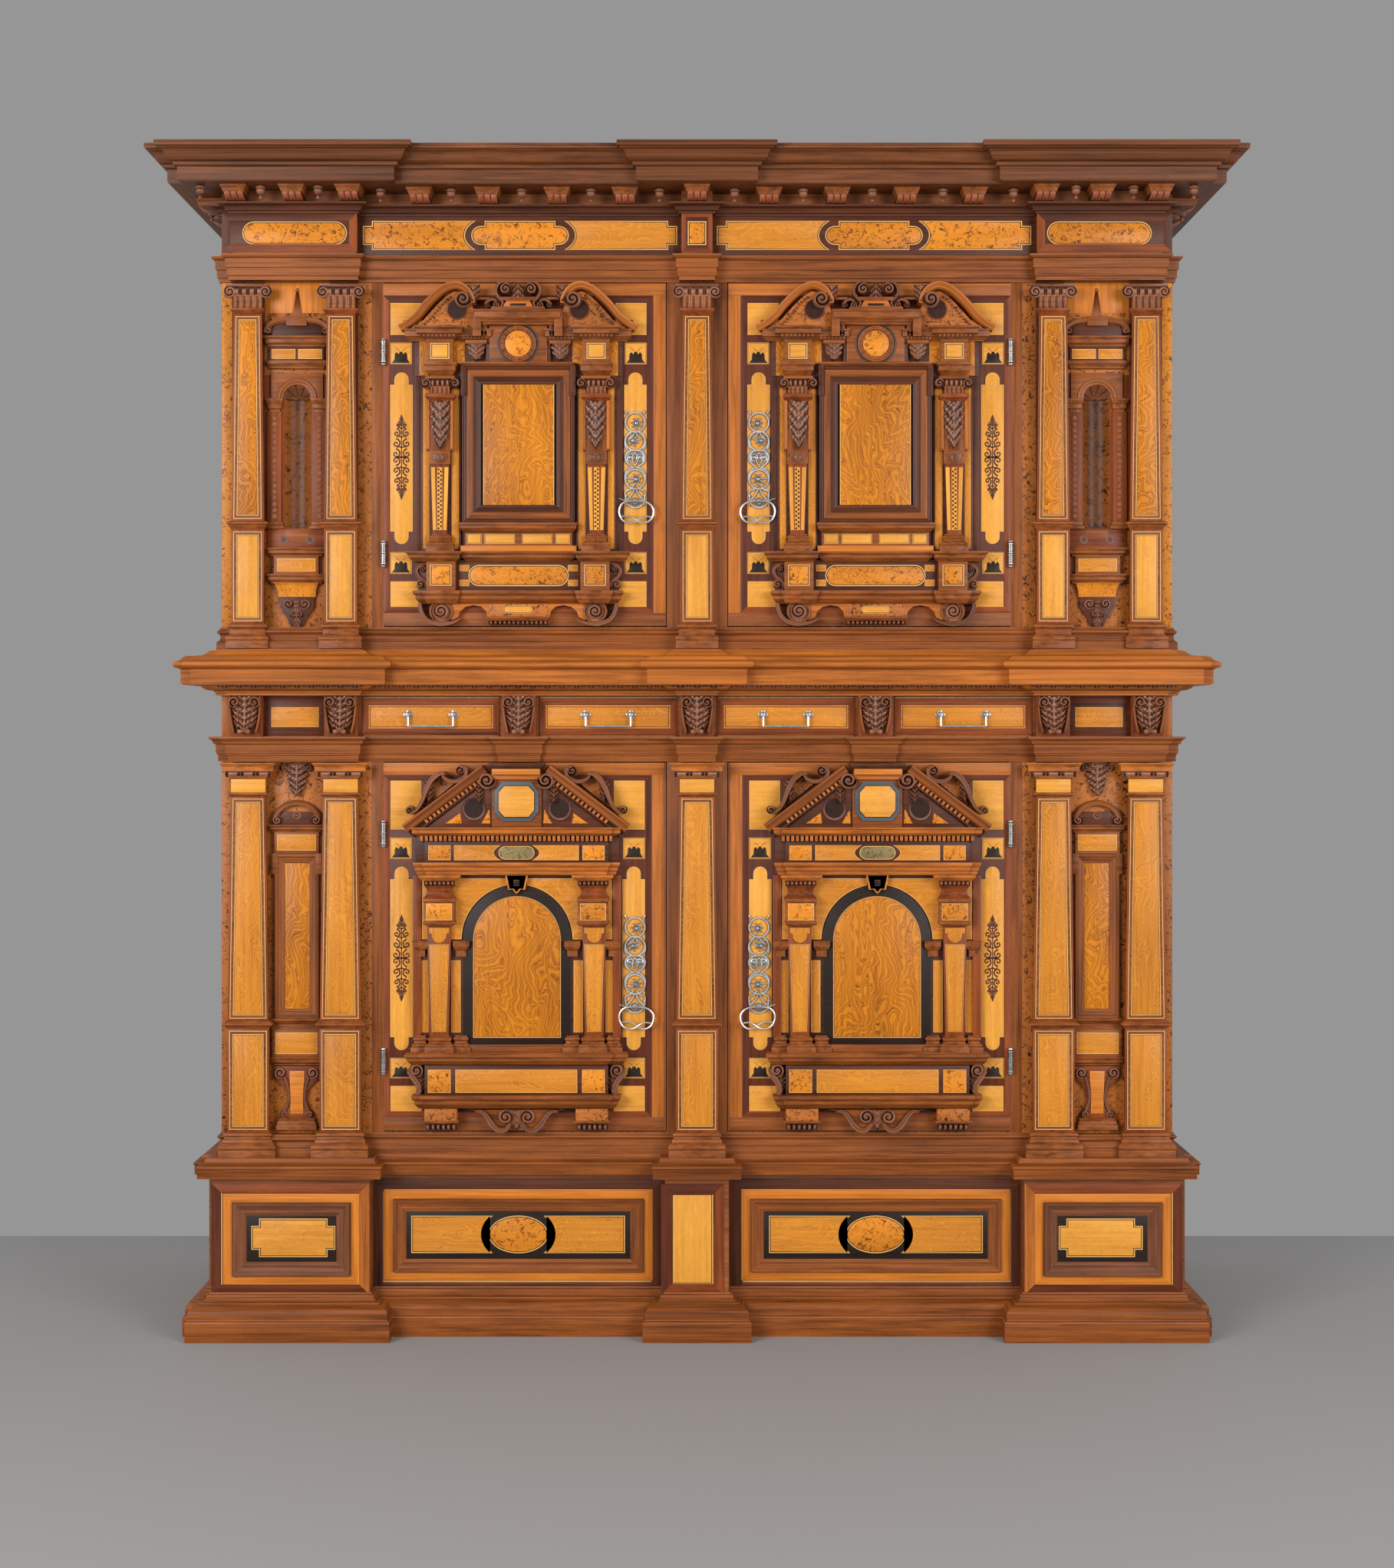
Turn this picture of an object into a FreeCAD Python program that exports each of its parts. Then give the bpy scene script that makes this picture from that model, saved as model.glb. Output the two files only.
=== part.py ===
import FreeCAD, Part
import math
import os
import Sketcher

# A two-tiered architectural cabinet in walnut: plinth, lower cupboard, drawer frieze with
# its cornice, upper cupboard, and a crown with modillions.
# Millimetres. X runs to the right, Y to the back, Z up; the origin is at the middle of the
# foot print, on the floor. Everything on the left has its twin on the right.

SIZES = {
    # Overall case
    "body_half": 953, "case_deep": 600, "board": 30, "thin_board": 24, "back_board": 16,
    "bay_wide": 273, "step_out": 25, "step_in": 25, "post_half": 31,
    # Heights of the courses, from the floor up
    "foot_high": 90, "block_high": 222, "cap_high": 44, "sill_rail": 44,
    "lower_opening": 742, "girt_high": 50, "frieze_high": 82, "waist_high": 91,
    "upper_rail": 47, "upper_opening": 690, "lintel_high": 50,
    "crown_frieze": 83, "bed_high": 19, "modillion_high": 26, "crown_high": 70,
    # Plinth
    "plinth_out": 25, "pier_step": 46, "pier_set": 15, "pier_lap": 31, "pier_post_half": 63,
    "foot_out": 44, "cap_out": 26, "panel_frame": 18, "panel_margin": 26,
    "panel_rise": 10, "panel_field": 4, "panel_lift": 16, "post_margin": 20,
    # Mouldings of the two tiers
    "girt_out": 22, "lintel_out": 18, "waist_out": 80, "bed_out": 24, "crown_out": 125,
    # Doors
    "jamb_wide": 52, "centre_half": 60, "door_gap": 2, "door_thick": 26,
    "stile_narrow": 15, "stile_wide": 24, "rail_wide": 22, "panel_thick": 14,
    "order_shift": 13, "order_margin": 59, "order_gap": 4, "order_out": 52,
    # Hinges
    "hinge_out": 6.5, "knuckle_round": 5.5, "pin_round": 3, "pin_play": 0.05,
    "knuckle_high": 24, "knuckle_gap": 0.3, "finial_round": 5, "leaf_thick": 2,
    "leaf_wide": 13, "hinge_inset": 82,
    # Door irons: pierced plate and swinging ring handle
    "plate_wide": 46, "plate_high": 190, "plate_thick": 2, "eye_out": 13, "eye_round": 4,
    "ring_round": 11, "ring_wire": 2.8, "bow_round": 14.5, "ring_pin": 2, "eye_gap": 0.4,
    "eye_wide": 6, "ear_half": 3, "ear_wide": 3, "plate_inset": 64, "plate_lift": 237,
    "ring_rise": 12.6,
    # Locks
    "bolt_long": 52, "bolt_thick": 8, "bolt_high": 16, "bolt_play": 0.3, "bolt_throw": 12,
    "mortise_deep": 18,
    # Shelves
    "shelf_thick": 22, "shelf_gap": 1, "batten": 20,
    # Drawers
    "drawer_play": 1.5, "drawer_rest": 84, "drawer_lift": 0.25, "front_thick": 20,
    "side_thick": 10, "tray_thick": 7, "pull_span": 91,
    "rosette_round": 11, "rosette_thick": 2.5, "post_round": 3.2, "post_out": 13,
    "bail_wire": 2.4, "bail_drop": 24, "bail_draw": 12, "bail_pin": 1.6, "bail_play": 0.05,
    # Pilasters and niches
    "outer_inset": 52, "inner_inset": 31, "niche_shift": 5, "base_lift": 6,
    "upper_wide": 56, "upper_foot_wide": 66, "lower_wide": 70, "lower_foot_wide": 82,
    "pilaster_out": 18, "pedestal_out": 24, "base_out": 36, "base_over": 17,
    "capital_over": 14, "collar_over": 6, "collar_high": 11, "band_high": 17,
    "upper_pedestal": 186, "lower_pedestal": 202, "upper_capital": 36, "lower_capital": 32,
    "upper_neck": 20, "lower_neck": 28,
    "volute_round": 13.4, "volute_deep": 18, "volute_span": 72, "volute_rise": 7.5,
    "niche_half": 56, "lower_niche_half": 49, "niche_out": 20, "niche_round": 27,
    "ornament_out": 16, "spandrel_out": 7, "eared_out": 10, "eared_floor": 4, "boss_high": 4,
    # Consoles of the drawer frieze
    "console_wide": 66, "console_out": 46, "console_gap": 6, "tablet_gap": 13,
    # Crown ornaments
    "modillion_wide": 42, "modillion_out": 58, "drop_round": 11, "drop_high": 28,
    "drop_out": 45, "crown_shift": 7.5, "bracket_over": 10, "bracket_inset": 119,
    "side_end": 20,
}

doc = FreeCAD.newDocument("cabinet")
sheet = doc.addObject("Spreadsheet::Sheet", "Sizes")
for row, (alias, value) in enumerate(SIZES.items(), start=1):
    sheet.set(f"A{row}", alias)
    sheet.set(f"B{row}", str(value))
    sheet.setAlias(f"B{row}", alias)
doc.recompute()


class Size:
    """A length that carries its value and the sheet expression that it comes from."""

    def __init__(self, value, text):
        self.value = value
        self.text = text

    def __add__(self, other):
        other = as_size(other)
        return Size(self.value + other.value, f"({self.text} + {other.text})")

    def __sub__(self, other):
        other = as_size(other)
        return Size(self.value - other.value, f"({self.text} - {other.text})")

    def __rsub__(self, other):
        return as_size(other) - self

    def __mul__(self, factor):
        factor = as_size(factor)
        return Size(self.value * factor.value, f"({self.text} * {factor.text})")

    def __truediv__(self, factor):
        factor = as_size(factor)
        return Size(self.value / factor.value, f"({self.text} / {factor.text})")

    def __neg__(self):
        return Size(-self.value, f"(0 - {self.text})")

    __radd__ = __add__
    __rmul__ = __mul__


def as_size(number):
    return number if isinstance(number, Size) else Size(float(number), f"{float(number):.6f}")


class Cells:
    """Gives each alias of the sheet as a Size."""

    def __getattr__(self, alias):
        return Size(float(getattr(sheet, alias)), f"Sizes.{alias}")


S = Cells()
ZERO = as_size(0)
nodes = []
names = {}


def fresh(name):
    """Numbers repeated names, because every object of the document has its own."""
    names[name] = names.get(name, 0) + 1
    return f"{name}_{names[name]}" if names[name] > 1 else name


def bind(thing, prop, size):
    thing.setExpression(prop, as_size(size).text)


def place(thing, x, y, z):
    bind(thing, ".Placement.Base.x", x)
    bind(thing, ".Placement.Base.y", y)
    bind(thing, ".Placement.Base.z", z)


def box(name, x, y, z):
    """A board given by its lowest and highest place along each axis."""
    board = doc.addObject("Part::Box", fresh(name))
    for prop, (low, high) in zip(("Length", "Width", "Height"), (x, y, z)):
        bind(board, prop, high - low)
    place(board, x[0], y[0], z[0])
    return board


def cylinder(name, radius, high, at, turn=None):
    """A round bar that starts at a point and rises along Z, or along a turned Z."""
    bar = doc.addObject("Part::Cylinder", fresh(name))
    bind(bar, "Radius", radius)
    bind(bar, "Height", high)
    if turn:
        bar.Placement = FreeCAD.Placement(FreeCAD.Vector(), turn)
    place(bar, *at)
    return bar


ALONG_X = FreeCAD.Rotation(FreeCAD.Vector(0, 1, 0), 90)
TO_FRONT = FreeCAD.Rotation(FreeCAD.Vector(1, 0, 0), 90)


def arc_centre(a, b, radius):
    """Centre of the arc from a to b; a positive radius has it on the left of the way."""
    dx, dy = b[0] - a[0], b[1] - a[1]
    chord = math.hypot(dx, dy)
    rise = math.sqrt(max(radius * radius - chord * chord / 4, 0)) * math.copysign(1, radius)
    return (a[0] + b[0]) / 2 - dy / chord * rise, (a[1] + b[1]) / 2 + dx / chord * rise


def sketch(name, points, closed=True):
    """A sketch through points (u, v), or (u, v, r) where an arc of radius r leads there."""
    drawn = doc.addObject("Sketcher::SketchObject", fresh(name))
    flat = [tuple(as_size(part) for part in point) for point in points]
    count = len(flat)
    ends = []
    for i in range(count if closed else count - 1):
        a, b = flat[i], flat[(i + 1) % count]
        start = (a[0].value, a[1].value)
        stop = (b[0].value, b[1].value)
        if len(b) == 2:
            drawn.addGeometry(Part.LineSegment(FreeCAD.Vector(*start), FreeCAD.Vector(*stop)))
            ends.append((1, 2))
            continue
        radius = b[2].value
        cx, cy = arc_centre(start, stop, radius)
        circle = Part.Circle(FreeCAD.Vector(cx, cy), FreeCAD.Vector(0, 0, 1), abs(radius))
        angles = [math.atan2(p[1] - cy, p[0] - cx) for p in (start, stop)]
        if radius < 0:
            angles.reverse()
        drawn.addGeometry(Part.ArcOfCircle(circle, *angles))
        ends.append((1, 2) if radius > 0 else (2, 1))
    for i in range(len(ends)):
        following = (i + 1) % count
        if following < len(ends):
            join = Sketcher.Constraint("Coincident", i, ends[i][1], following, ends[following][0])
            drawn.addConstraint(join)
    for i, point in enumerate(flat):
        edge, end = (i, ends[i][0]) if i < len(ends) else (i - 1, ends[i - 1][1])
        for kind, size in zip(("DistanceX", "DistanceY"), point):
            held = drawn.addConstraint(Sketcher.Constraint(kind, -1, 1, edge, end, size.value))
            drawn.setExpression(f"Constraints[{held}]", size.text)
    for i in range(len(ends)):
        b = flat[(i + 1) % count]
        if len(b) == 3:
            held = drawn.addConstraint(Sketcher.Constraint("Radius", i, abs(b[2].value)))
            size = b[2] if b[2].value > 0 else -b[2]
            drawn.setExpression(f"Constraints[{held}]", size.text)
    return drawn


def prism(name, points, y):
    """A piece cut to an outline seen from the front, (x, z), between two depths."""
    drawn = sketch(name + "_outline", points)
    drawn.Placement = FreeCAD.Placement(FreeCAD.Vector(), TO_FRONT)
    bind(drawn, ".Placement.Base.y", y[1])
    solid = doc.addObject("Part::Extrusion", fresh(name))
    solid.Base = drawn
    solid.DirMode = "Normal"
    solid.Solid = True
    bind(solid, "LengthFwd", y[1] - y[0])
    return solid


def slab(name, points, z):
    """A piece cut to an outline seen from above, (x, y), between two heights."""
    drawn = sketch(name + "_plan", points)
    bind(drawn, ".Placement.Base.z", z[0])
    solid = doc.addObject("Part::Extrusion", fresh(name))
    solid.Base = drawn
    solid.DirMode = "Normal"
    solid.Solid = True
    bind(solid, "LengthFwd", z[1] - z[0])
    return solid


SIDEWAYS = FreeCAD.Rotation(FreeCAD.Vector(0, 0, 1), -90) * TO_FRONT


def side_prism(name, points, x):
    """A piece cut to a profile seen from the side, (out to the front, z), along x."""
    drawn = sketch(name + "_side", points)
    drawn.Placement = FreeCAD.Placement(FreeCAD.Vector(), SIDEWAYS)
    bind(drawn, ".Placement.Base.x", x[1])
    solid = doc.addObject("Part::Extrusion", fresh(name))
    solid.Base = drawn
    solid.DirMode = "Normal"
    solid.Solid = True
    bind(solid, "LengthFwd", x[1] - x[0])
    return solid


def many_sided(name, sides, radius, high, at, turn=None):
    """A straight bar with flat sides, given by the radius of its corners."""
    bar = doc.addObject("Part::Prism", fresh(name))
    bar.Polygon = sides
    bind(bar, "Circumradius", radius)
    bind(bar, "Height", high)
    if turn:
        bar.Placement = FreeCAD.Placement(FreeCAD.Vector(), turn)
    place(bar, *at)
    return bar


def faceted(name, sides, stations, at, turn=None):
    """A turned piece with flat sides, lofted through its (corner radius, height) rings."""
    x, y, z = at
    rings = []
    for radius, high in stations:
        loop = doc.addObject("Part::RegularPolygon", fresh(name + "_ring"))
        loop.Polygon = sides
        bind(loop, "Circumradius", radius)
        if turn:
            loop.Placement = FreeCAD.Placement(FreeCAD.Vector(), turn)
            place(loop, x, y - high, z)
        else:
            place(loop, x, y, z + high)
        rings.append(loop)
    solid = doc.addObject("Part::Loft", fresh(name))
    solid.Sections = rings
    solid.Solid = True
    solid.Ruled = True
    return solid


def cut(name, base, *tools):
    result = doc.addObject("Part::Cut", fresh(name))
    result.Base = base
    result.Tool = tools[0] if len(tools) == 1 else group(name + "_tools", tools)
    return result


def common(name, base, tool):
    result = doc.addObject("Part::Common", fresh(name))
    result.Base = base
    result.Tool = tool
    return result


def fuse(name, *pieces):
    result = doc.addObject("Part::MultiFuse", fresh(name))
    result.Shapes = list(pieces)
    return result


def group(name, pieces):
    result = doc.addObject("Part::Compound", fresh(name))
    result.Links = list(pieces)
    return result


def twin(piece):
    """The same piece on the other side of the middle plane."""
    other = doc.addObject("Part::Mirroring", fresh(piece.Name + "_twin"))
    other.Source = piece
    other.Normal = FreeCAD.Vector(1, 0, 0)
    return other


def copy(piece, x=ZERO, y=ZERO, z=ZERO, turn=None):
    """The same piece again, moved, and turned about the vertical if asked."""
    link = doc.addObject("App::Link", fresh(piece.Name + "_copy"))
    link.LinkedObject = piece
    if turn:
        link.Placement = FreeCAD.Placement(FreeCAD.Vector(), turn)
    place(link, x, y, z)
    return link


def both(pieces):
    """Pieces of the left side with their twins."""
    return list(pieces) + [twin(piece) for piece in pieces]


def node(label, pieces):
    """One named sub-part of the cabinet, which becomes one file."""
    result = group("node_" + label, pieces)
    result.Label = label
    nodes.append(result)
    return result


# Places that several pieces share
face = (S.crown_out + S.step_out - S.case_deep) / 2
back = face + S.case_deep
inside_back = back - S.back_board
bay_edge = S.body_half - S.bay_wide
opening_half = bay_edge - S.jamb_wide
leaf_half = (opening_half - S.centre_half) / 2 - S.door_gap
door_axis = (opening_half + S.centre_half) / 2 + S.order_shift
order_half = leaf_half - S.order_margin
plate_axis = S.centre_half + S.plate_inset
pilaster_axis = S.body_half - S.outer_inset
inner_axis = bay_edge + S.inner_inset
niche_axis = (pilaster_axis + inner_axis) / 2 - S.niche_shift
console_axis = inner_axis / 2
drawer_deep = S.case_deep - S.back_board - S.drawer_rest
plinth_half = S.body_half + S.plinth_out
block_foot = S.foot_high
block_head = block_foot + S.block_high
lower_foot = block_head + S.cap_high
lower_sill = lower_foot + S.sill_rail
lower_head = lower_sill + S.lower_opening
frieze_foot = lower_head + S.girt_high
frieze_head = frieze_foot + S.frieze_high
upper_foot = frieze_head + S.waist_high
upper_sill = upper_foot + S.upper_rail
upper_head = upper_sill + S.upper_opening
crown_foot = upper_head + S.lintel_high
bed_foot = crown_foot + S.crown_frieze
modillion_foot = bed_foot + S.bed_high
corona_foot = modillion_foot + S.modillion_high
top = corona_foot + S.crown_high


def out(distance):
    """The depth that lies a distance in front of the face of the case."""
    return face - distance


# Mouldings that run round the front and both sides

def run_round(half, step_in, step_out, bay_in, centre):
    """Plan of a course: three breaks stand forward, at both ends and in the middle."""
    fore = out(step_out)
    left = [(-half, back), (-half, face), (step_in - half, face), (step_in - half, fore),
            (-bay_in, fore), (-bay_in, face), (-centre, face), (-centre, fore)]
    right = [(-x, y) for x, y in reversed(left)]
    return left + right


def moulding(name, plan, shares, reach, z, high):
    """Lengths of moulding, mitred at the corners: front, left side and right side."""
    half = -plan[0][0]
    points = []
    for share in shares:
        points.append((-half - reach * share[0], z + high * share[1]))
    profile = sketch(name + "_profile", points)
    profile.Placement = FreeCAD.Placement(FreeCAD.Vector(), TO_FRONT)
    bind(profile, ".Placement.Base.y", back)
    path = sketch(name + "_path", plan, closed=False)
    sweep = doc.addObject("Part::Sweep", fresh(name + "_sweep"))
    sweep.Sections = [profile]
    sweep.Spine = (path, [f"Edge{i + 1}" for i in range(len(plan) - 1)])
    sweep.Solid = True
    sweep.Transition = "Right corner"
    far = S.crown_out * 2
    wedge = slab(name + "_mitre", [(-half - far, face - far), (half + far, face - far),
                                   (half, face), (-half, face)], (z - high, z + high * 2))
    pieces = [common(name + "_front", sweep, wedge), cut(name + "_sides", sweep, wedge)]
    if plan is case_plan:
        pieces += breaks(name, z, z + high)
    return pieces


def breaks(name, low, high):
    """Solid blocks under a course where it stands forward."""
    end = box(name + "_break", (S.step_in - S.body_half, -bay_edge), (out(S.step_out), face),
              (low, high))
    middle = box(name + "_middle_break", (-S.post_half, S.post_half), (out(S.step_out), face),
                 (low, high))
    return both([end]) + [middle]


case_plan = run_round(S.body_half, S.step_in, S.step_out, bay_edge, S.post_half)
plinth_plan = run_round(plinth_half, S.pier_set, S.pier_step, bay_edge - S.pier_lap,
                        S.pier_post_half)

def bend(start, stop, bulge, steps=4):
    """Shares on an arc from start to stop; bulge is its rise over its chord, and a positive
    one swells out to the front on the way up."""
    (u0, v0), (u1, v1) = start, stop
    points = []
    for i in range(steps + 1):
        t = i / steps
        rise = 4 * bulge * t * (1 - t)
        points.append((u0 + (u1 - u0) * t + (v1 - v0) * rise,
                       v0 + (v1 - v0) * t - (u1 - u0) * rise))
    return points


# Each profile: (share of the reach, share of the height), from the foot up
FOOT_SHARES = [(0, 0), (1, 0), (1, 0.46), (0.86, 0.5), *bend((0.84, 0.53), (0.6, 0.8), 0.32, 5),
               (0.5, 0.82), (0.5, 0.86), (0.3, 0.88), (0.16, 1), (0, 1)]
CAP_SHARES = [(0, 0), (0.35, 0), (0.55, 0.16), (1, 0.2), (1, 0.72), (0.85, 0.78), (0.5, 1),
              (0, 1)]
GIRT_SHARES = [(0, 0), (0.3, 0), (0.3, 0.22), (0.42, 0.26), (0.42, 0.62), (0.6, 0.68),
               (1, 0.86), (1, 1), (0, 1)]
LINTEL_SHARES = [(0, 0), (0.35, 0), (0.35, 0.16), (0.5, 0.2), (0.5, 0.48), (0.68, 0.52),
                 (0.68, 0.92), (1, 0.95), (1, 1), (0, 1)]
WAIST_SHARES = [(0, 0), (0.12, 0), *bend((0.16, 0.1), (0.5, 0.24), 0.18, 3), (0.84, 0.26),
                (0.84, 0.58), (0.9, 0.6), (1, 0.66), (1, 0.74), (0.9, 0.77),
                *bend((0.6, 0.79), (0.2, 1), -0.16), (0, 1)]
BED_SHARES = [(0, 0), (0.3, 0), (0.35, 0.3), (0.7, 0.6), (1, 0.7), (1, 1), (0, 1)]
CROWN_SHARES = [(0, 0), (0.7, 0), (0.7, 0.38), (0.77, 0.4), (0.77, 0.53),
                *bend((0.8, 0.54), (0.88, 0.66), 0.2, 3)[:-1],
                *bend((0.88, 0.66), (0.97, 0.79), -0.2, 3), (1, 0.8), (1, 1), (0, 1)]


# Plinth

def plinth():
    floor = ZERO
    inner = plinth_half - S.board
    boards = [
        box("plinth_front", (-plinth_half, plinth_half), (face, face + S.board),
            (floor, lower_foot)),
        box("plinth_rear", (-inner, inner), (back - S.board, back), (floor, lower_foot)),
        box("plinth_web", (-S.board / 2, S.board / 2), (face + S.board, back - S.board),
            (floor, lower_foot)),
    ]
    side = box("plinth_side", (-plinth_half, -inner), (face + S.board, back),
               (floor, lower_foot))
    node("plinth_case", boards + both([side]))

    fore = out(S.pier_step)
    pier = box("plinth_pier", (S.pier_set - plinth_half, S.pier_lap - bay_edge), (fore, face),
               (floor, lower_foot))
    middle = box("plinth_middle_pier", (-S.pier_post_half, S.pier_post_half), (fore, face),
                 (floor, lower_foot))
    node("plinth_piers", both([pier]) + [middle])
    node("plinth_foot", moulding("foot", plinth_plan, FOOT_SHARES, S.foot_out, floor,
                                 S.foot_high))
    node("plinth_cap", moulding("cap", plinth_plan, CAP_SHARES, S.cap_out, block_head,
                                S.cap_high))

    low = block_foot + S.panel_lift
    high = block_head - S.panel_lift
    pieces = []
    spans = [
        (S.pier_set - plinth_half + S.panel_margin, S.pier_lap - bay_edge - S.panel_margin, fore),
        (S.pier_lap - bay_edge + S.panel_margin, -S.pier_post_half - S.panel_margin, face),
    ]
    for left, right, y in spans:
        pieces += both(raised_panel((left, right), y, (low, high)))
    half = S.pier_post_half - S.post_margin
    pieces += raised_panel((-half, half), fore, (low, high))
    node("plinth_panels", pieces)


def raised_panel(x, y, z):
    """A moulded frame planted on a face at depth y, round a thin field."""
    rim = S.panel_frame
    whole = box("panel_frame", x, (y - S.panel_rise, y), z)
    hole = box("panel_hole", (x[0] + rim, x[1] - rim), (y - S.panel_rise * 2, y),
               (z[0] + rim, z[1] - rim))
    field = box("panel_field", (x[0] + rim, x[1] - rim), (y - S.panel_field, y),
                (z[0] + rim, z[1] - rim))
    return [cut("panel_rim", whole, hole), field]


# Cases

def case(tier, foot, sill, head, ceiling):
    """The carcass of one cupboard: sides, floor, ceiling, back and front rails."""
    inner = S.body_half - S.board
    deep = (face + S.board, inside_back)
    pieces = [
        box(tier + "_floor", (-inner, inner), deep, (sill - S.thin_board, sill)),
        box(tier + "_ceiling", (-inner, inner), deep, (ceiling - S.thin_board, ceiling)),
        box(tier + "_back", (-inner, inner), (inside_back, back), (foot, ceiling)),
        box(tier + "_sill_rail", (-S.body_half, S.body_half), (face, face + S.board),
            (foot, sill)),
        box(tier + "_head_rail", (-S.body_half, S.body_half), (face, face + S.board),
            (head, ceiling)),
    ]
    side = box(tier + "_side", (-S.body_half, -inner), (face + S.board, back), (foot, ceiling))
    node(tier + "_case", pieces + both([side]))

    middle = (sill + head) / 2
    rest = (middle - S.shelf_thick - S.batten, middle - S.shelf_thick)
    shelf = box(tier + "_shelf_board", (-inner + S.shelf_gap, inner - S.shelf_gap),
                (face + S.board * 2, inside_back - S.shelf_gap),
                (middle - S.shelf_thick, middle))
    batten = box(tier + "_batten", (-inner, S.batten - inner),
                 (face + S.board * 2, inside_back), rest)
    post = box(tier + "_prop", (-S.board / 2, S.board / 2),
               (inside_back - S.board * 2, inside_back - S.board), (sill, rest[1]))
    node(tier + "_shelf", [shelf, post] + both([batten]))


DOME_SHARES = (0.25, 0.5, 0.75, 0.95)


def fronts(tier, sill, head, niche_foot, niche_head, bolt_z):
    """Front boards beside the doors, with the round-headed niche cut in, and the post."""
    bay = box(tier + "_bay", (-S.body_half, -opening_half), (face, face + S.board),
              (sill, head))
    pieces = [bay]
    if niche_foot:
        rise = niche_head - niche_foot
        stations = [(S.niche_round, ZERO), (S.niche_round, rise)]
        for turn_share in DOME_SHARES:
            angle = math.pi / 2 * turn_share
            stations.append((S.niche_round * math.cos(angle),
                             rise + S.niche_round * math.sin(angle)))
        well = faceted(tier + "_well", 16, stations, (-niche_axis, face, niche_foot))
        pieces = [cut(tier + "_bay_board", bay, well)]
    post = box(tier + "_post", (-S.centre_half, S.centre_half), (face, face + S.board),
               (sill, head))
    depth = (face + (S.door_thick - S.bolt_thick) / 2 - S.bolt_play,
             face + (S.door_thick + S.bolt_thick) / 2 + S.bolt_play)
    mortise = box(tier + "_mortise", (S.centre_half - S.mortise_deep, S.centre_half), depth,
                  (bolt_z - S.bolt_play, bolt_z + S.bolt_high + S.bolt_play))
    node(tier + "_front", both(pieces) + [cut(tier + "_centre_post", post, mortise)])


# Pilasters

# How much of a capital is its abacus, and of a base its lower slab
ABACUS_SHARE, SLAB_SHARE = 0.3, 0.5


def pilaster(tier, axis, foot, sill, head, wide, foot_wide, pedestal, capital, neck):
    """Base, pedestal, band, tapered shaft, collar, neck and capital on one axis."""
    def course(name, half, reach, low, high):
        return box(f"{tier}_{name}", (axis - half, axis + half), (out(reach), face), (low, high))

    base_top = sill + S.base_lift
    band_foot = base_top + pedestal
    shaft_foot = band_foot + S.band_high
    shaft_top = head - capital - neck - S.collar_high
    half, foot_half = wide / 2, foot_wide / 2
    base_half = foot_half + S.base_over
    shaft = prism(tier + "_shaft", [(axis - foot_half, shaft_foot), (axis + foot_half, shaft_foot),
                                    (axis + half, shaft_top), (axis - half, shaft_top)],
                  (out(S.pilaster_out), face))
    capital_points = [(ZERO, head - capital), (S.pilaster_out + S.collar_over, head - capital),
                      (S.pilaster_out + S.capital_over, head - capital * ABACUS_SHARE),
                      (S.pilaster_out + S.capital_over, head), (ZERO, head)]
    capital_half = half + S.capital_over
    block = side_prism(tier + "_capital", [(x - face, z) for x, z in capital_points],
                       (axis - capital_half, axis + capital_half))
    if tier == "upper":
        volutes = [many_sided("volute", 8, S.volute_round, S.volute_deep,
                              (axis + S.volute_span / 2 * end, out(S.pilaster_out),
                               head - capital + S.volute_rise), TO_FRONT) for end in (-1, 1)]
        block = fuse("ionic_capital", block, *volutes)
    low_base = course("base_slab", base_half, S.base_out, foot, foot + (sill - foot) * SLAB_SHARE)
    moulded = course("base_mould", base_half - S.base_over / 2, S.base_out - S.base_over / 3,
                     foot + (sill - foot) * SLAB_SHARE, base_top)
    return [
        low_base, moulded,
        course("pedestal", foot_half, S.pedestal_out, base_top, band_foot),
        course("band", foot_half + S.collar_over, S.pedestal_out + S.collar_over, band_foot,
               shaft_foot),
        shaft,
        course("collar", half + S.collar_over / 2, S.pilaster_out + S.collar_over / 2, shaft_top,
               shaft_top + S.collar_high),
        course("neck", half, S.pilaster_out, shaft_top + S.collar_high, head - capital),
        block,
    ]


def pilasters(tier, foot, sill, head, wide, foot_wide, pedestal, capital, neck):
    sizes = (foot, sill, head, wide, foot_wide, pedestal, capital, neck)
    pieces = []
    for axis in (pilaster_axis, inner_axis):
        pieces += both(pilaster(tier, -axis, *sizes))
    pieces += pilaster(tier, ZERO, *sizes)
    node(tier + "_pilasters", pieces)


# Ornament given in shares of a half width and a height

def blocks(name, rows, axis, foot, half, high, reach):
    """Boxes from rows of shares (inner, outer, low, high, out); inner 0 means one block
    across the axis, any other a pair of blocks beside it."""
    pieces = []
    for i, (inner, outer, low, rise, fore) in enumerate(rows):
        z = (foot + high * low, foot + high * rise)
        y = (out(reach * fore), face)
        label = f"{name}_{i + 1}"
        if inner == 0:
            pieces.append(box(label, (axis - half * outer, axis + half * outer), y, z))
        else:
            pieces.append(box(label, (axis - half * outer, axis - half * inner), y, z))
            pieces.append(box(label, (axis + half * inner, axis + half * outer), y, z))
    return pieces


def outline_pair(name, shares, axis, foot, half, high, y):
    """A piece of the left side, given in shares, and the same piece turned over."""
    left = [tuple([axis - half * p[0], foot + high * p[1]] + [half * r for r in p[2:]])
            for p in shares]
    right = [tuple([axis + half * p[0], foot + high * p[1]] + [half * -r for r in p[2:]])
             for p in shares]
    return [prism(name, left, y), prism(name, right, y)]


def outline_whole(name, shares, axis, foot, half, high, y):
    points = [tuple([axis + half * p[0], foot + high * p[1]] + [half * r for r in p[2:]])
              for p in shares]
    return prism(name, points, y)


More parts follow.
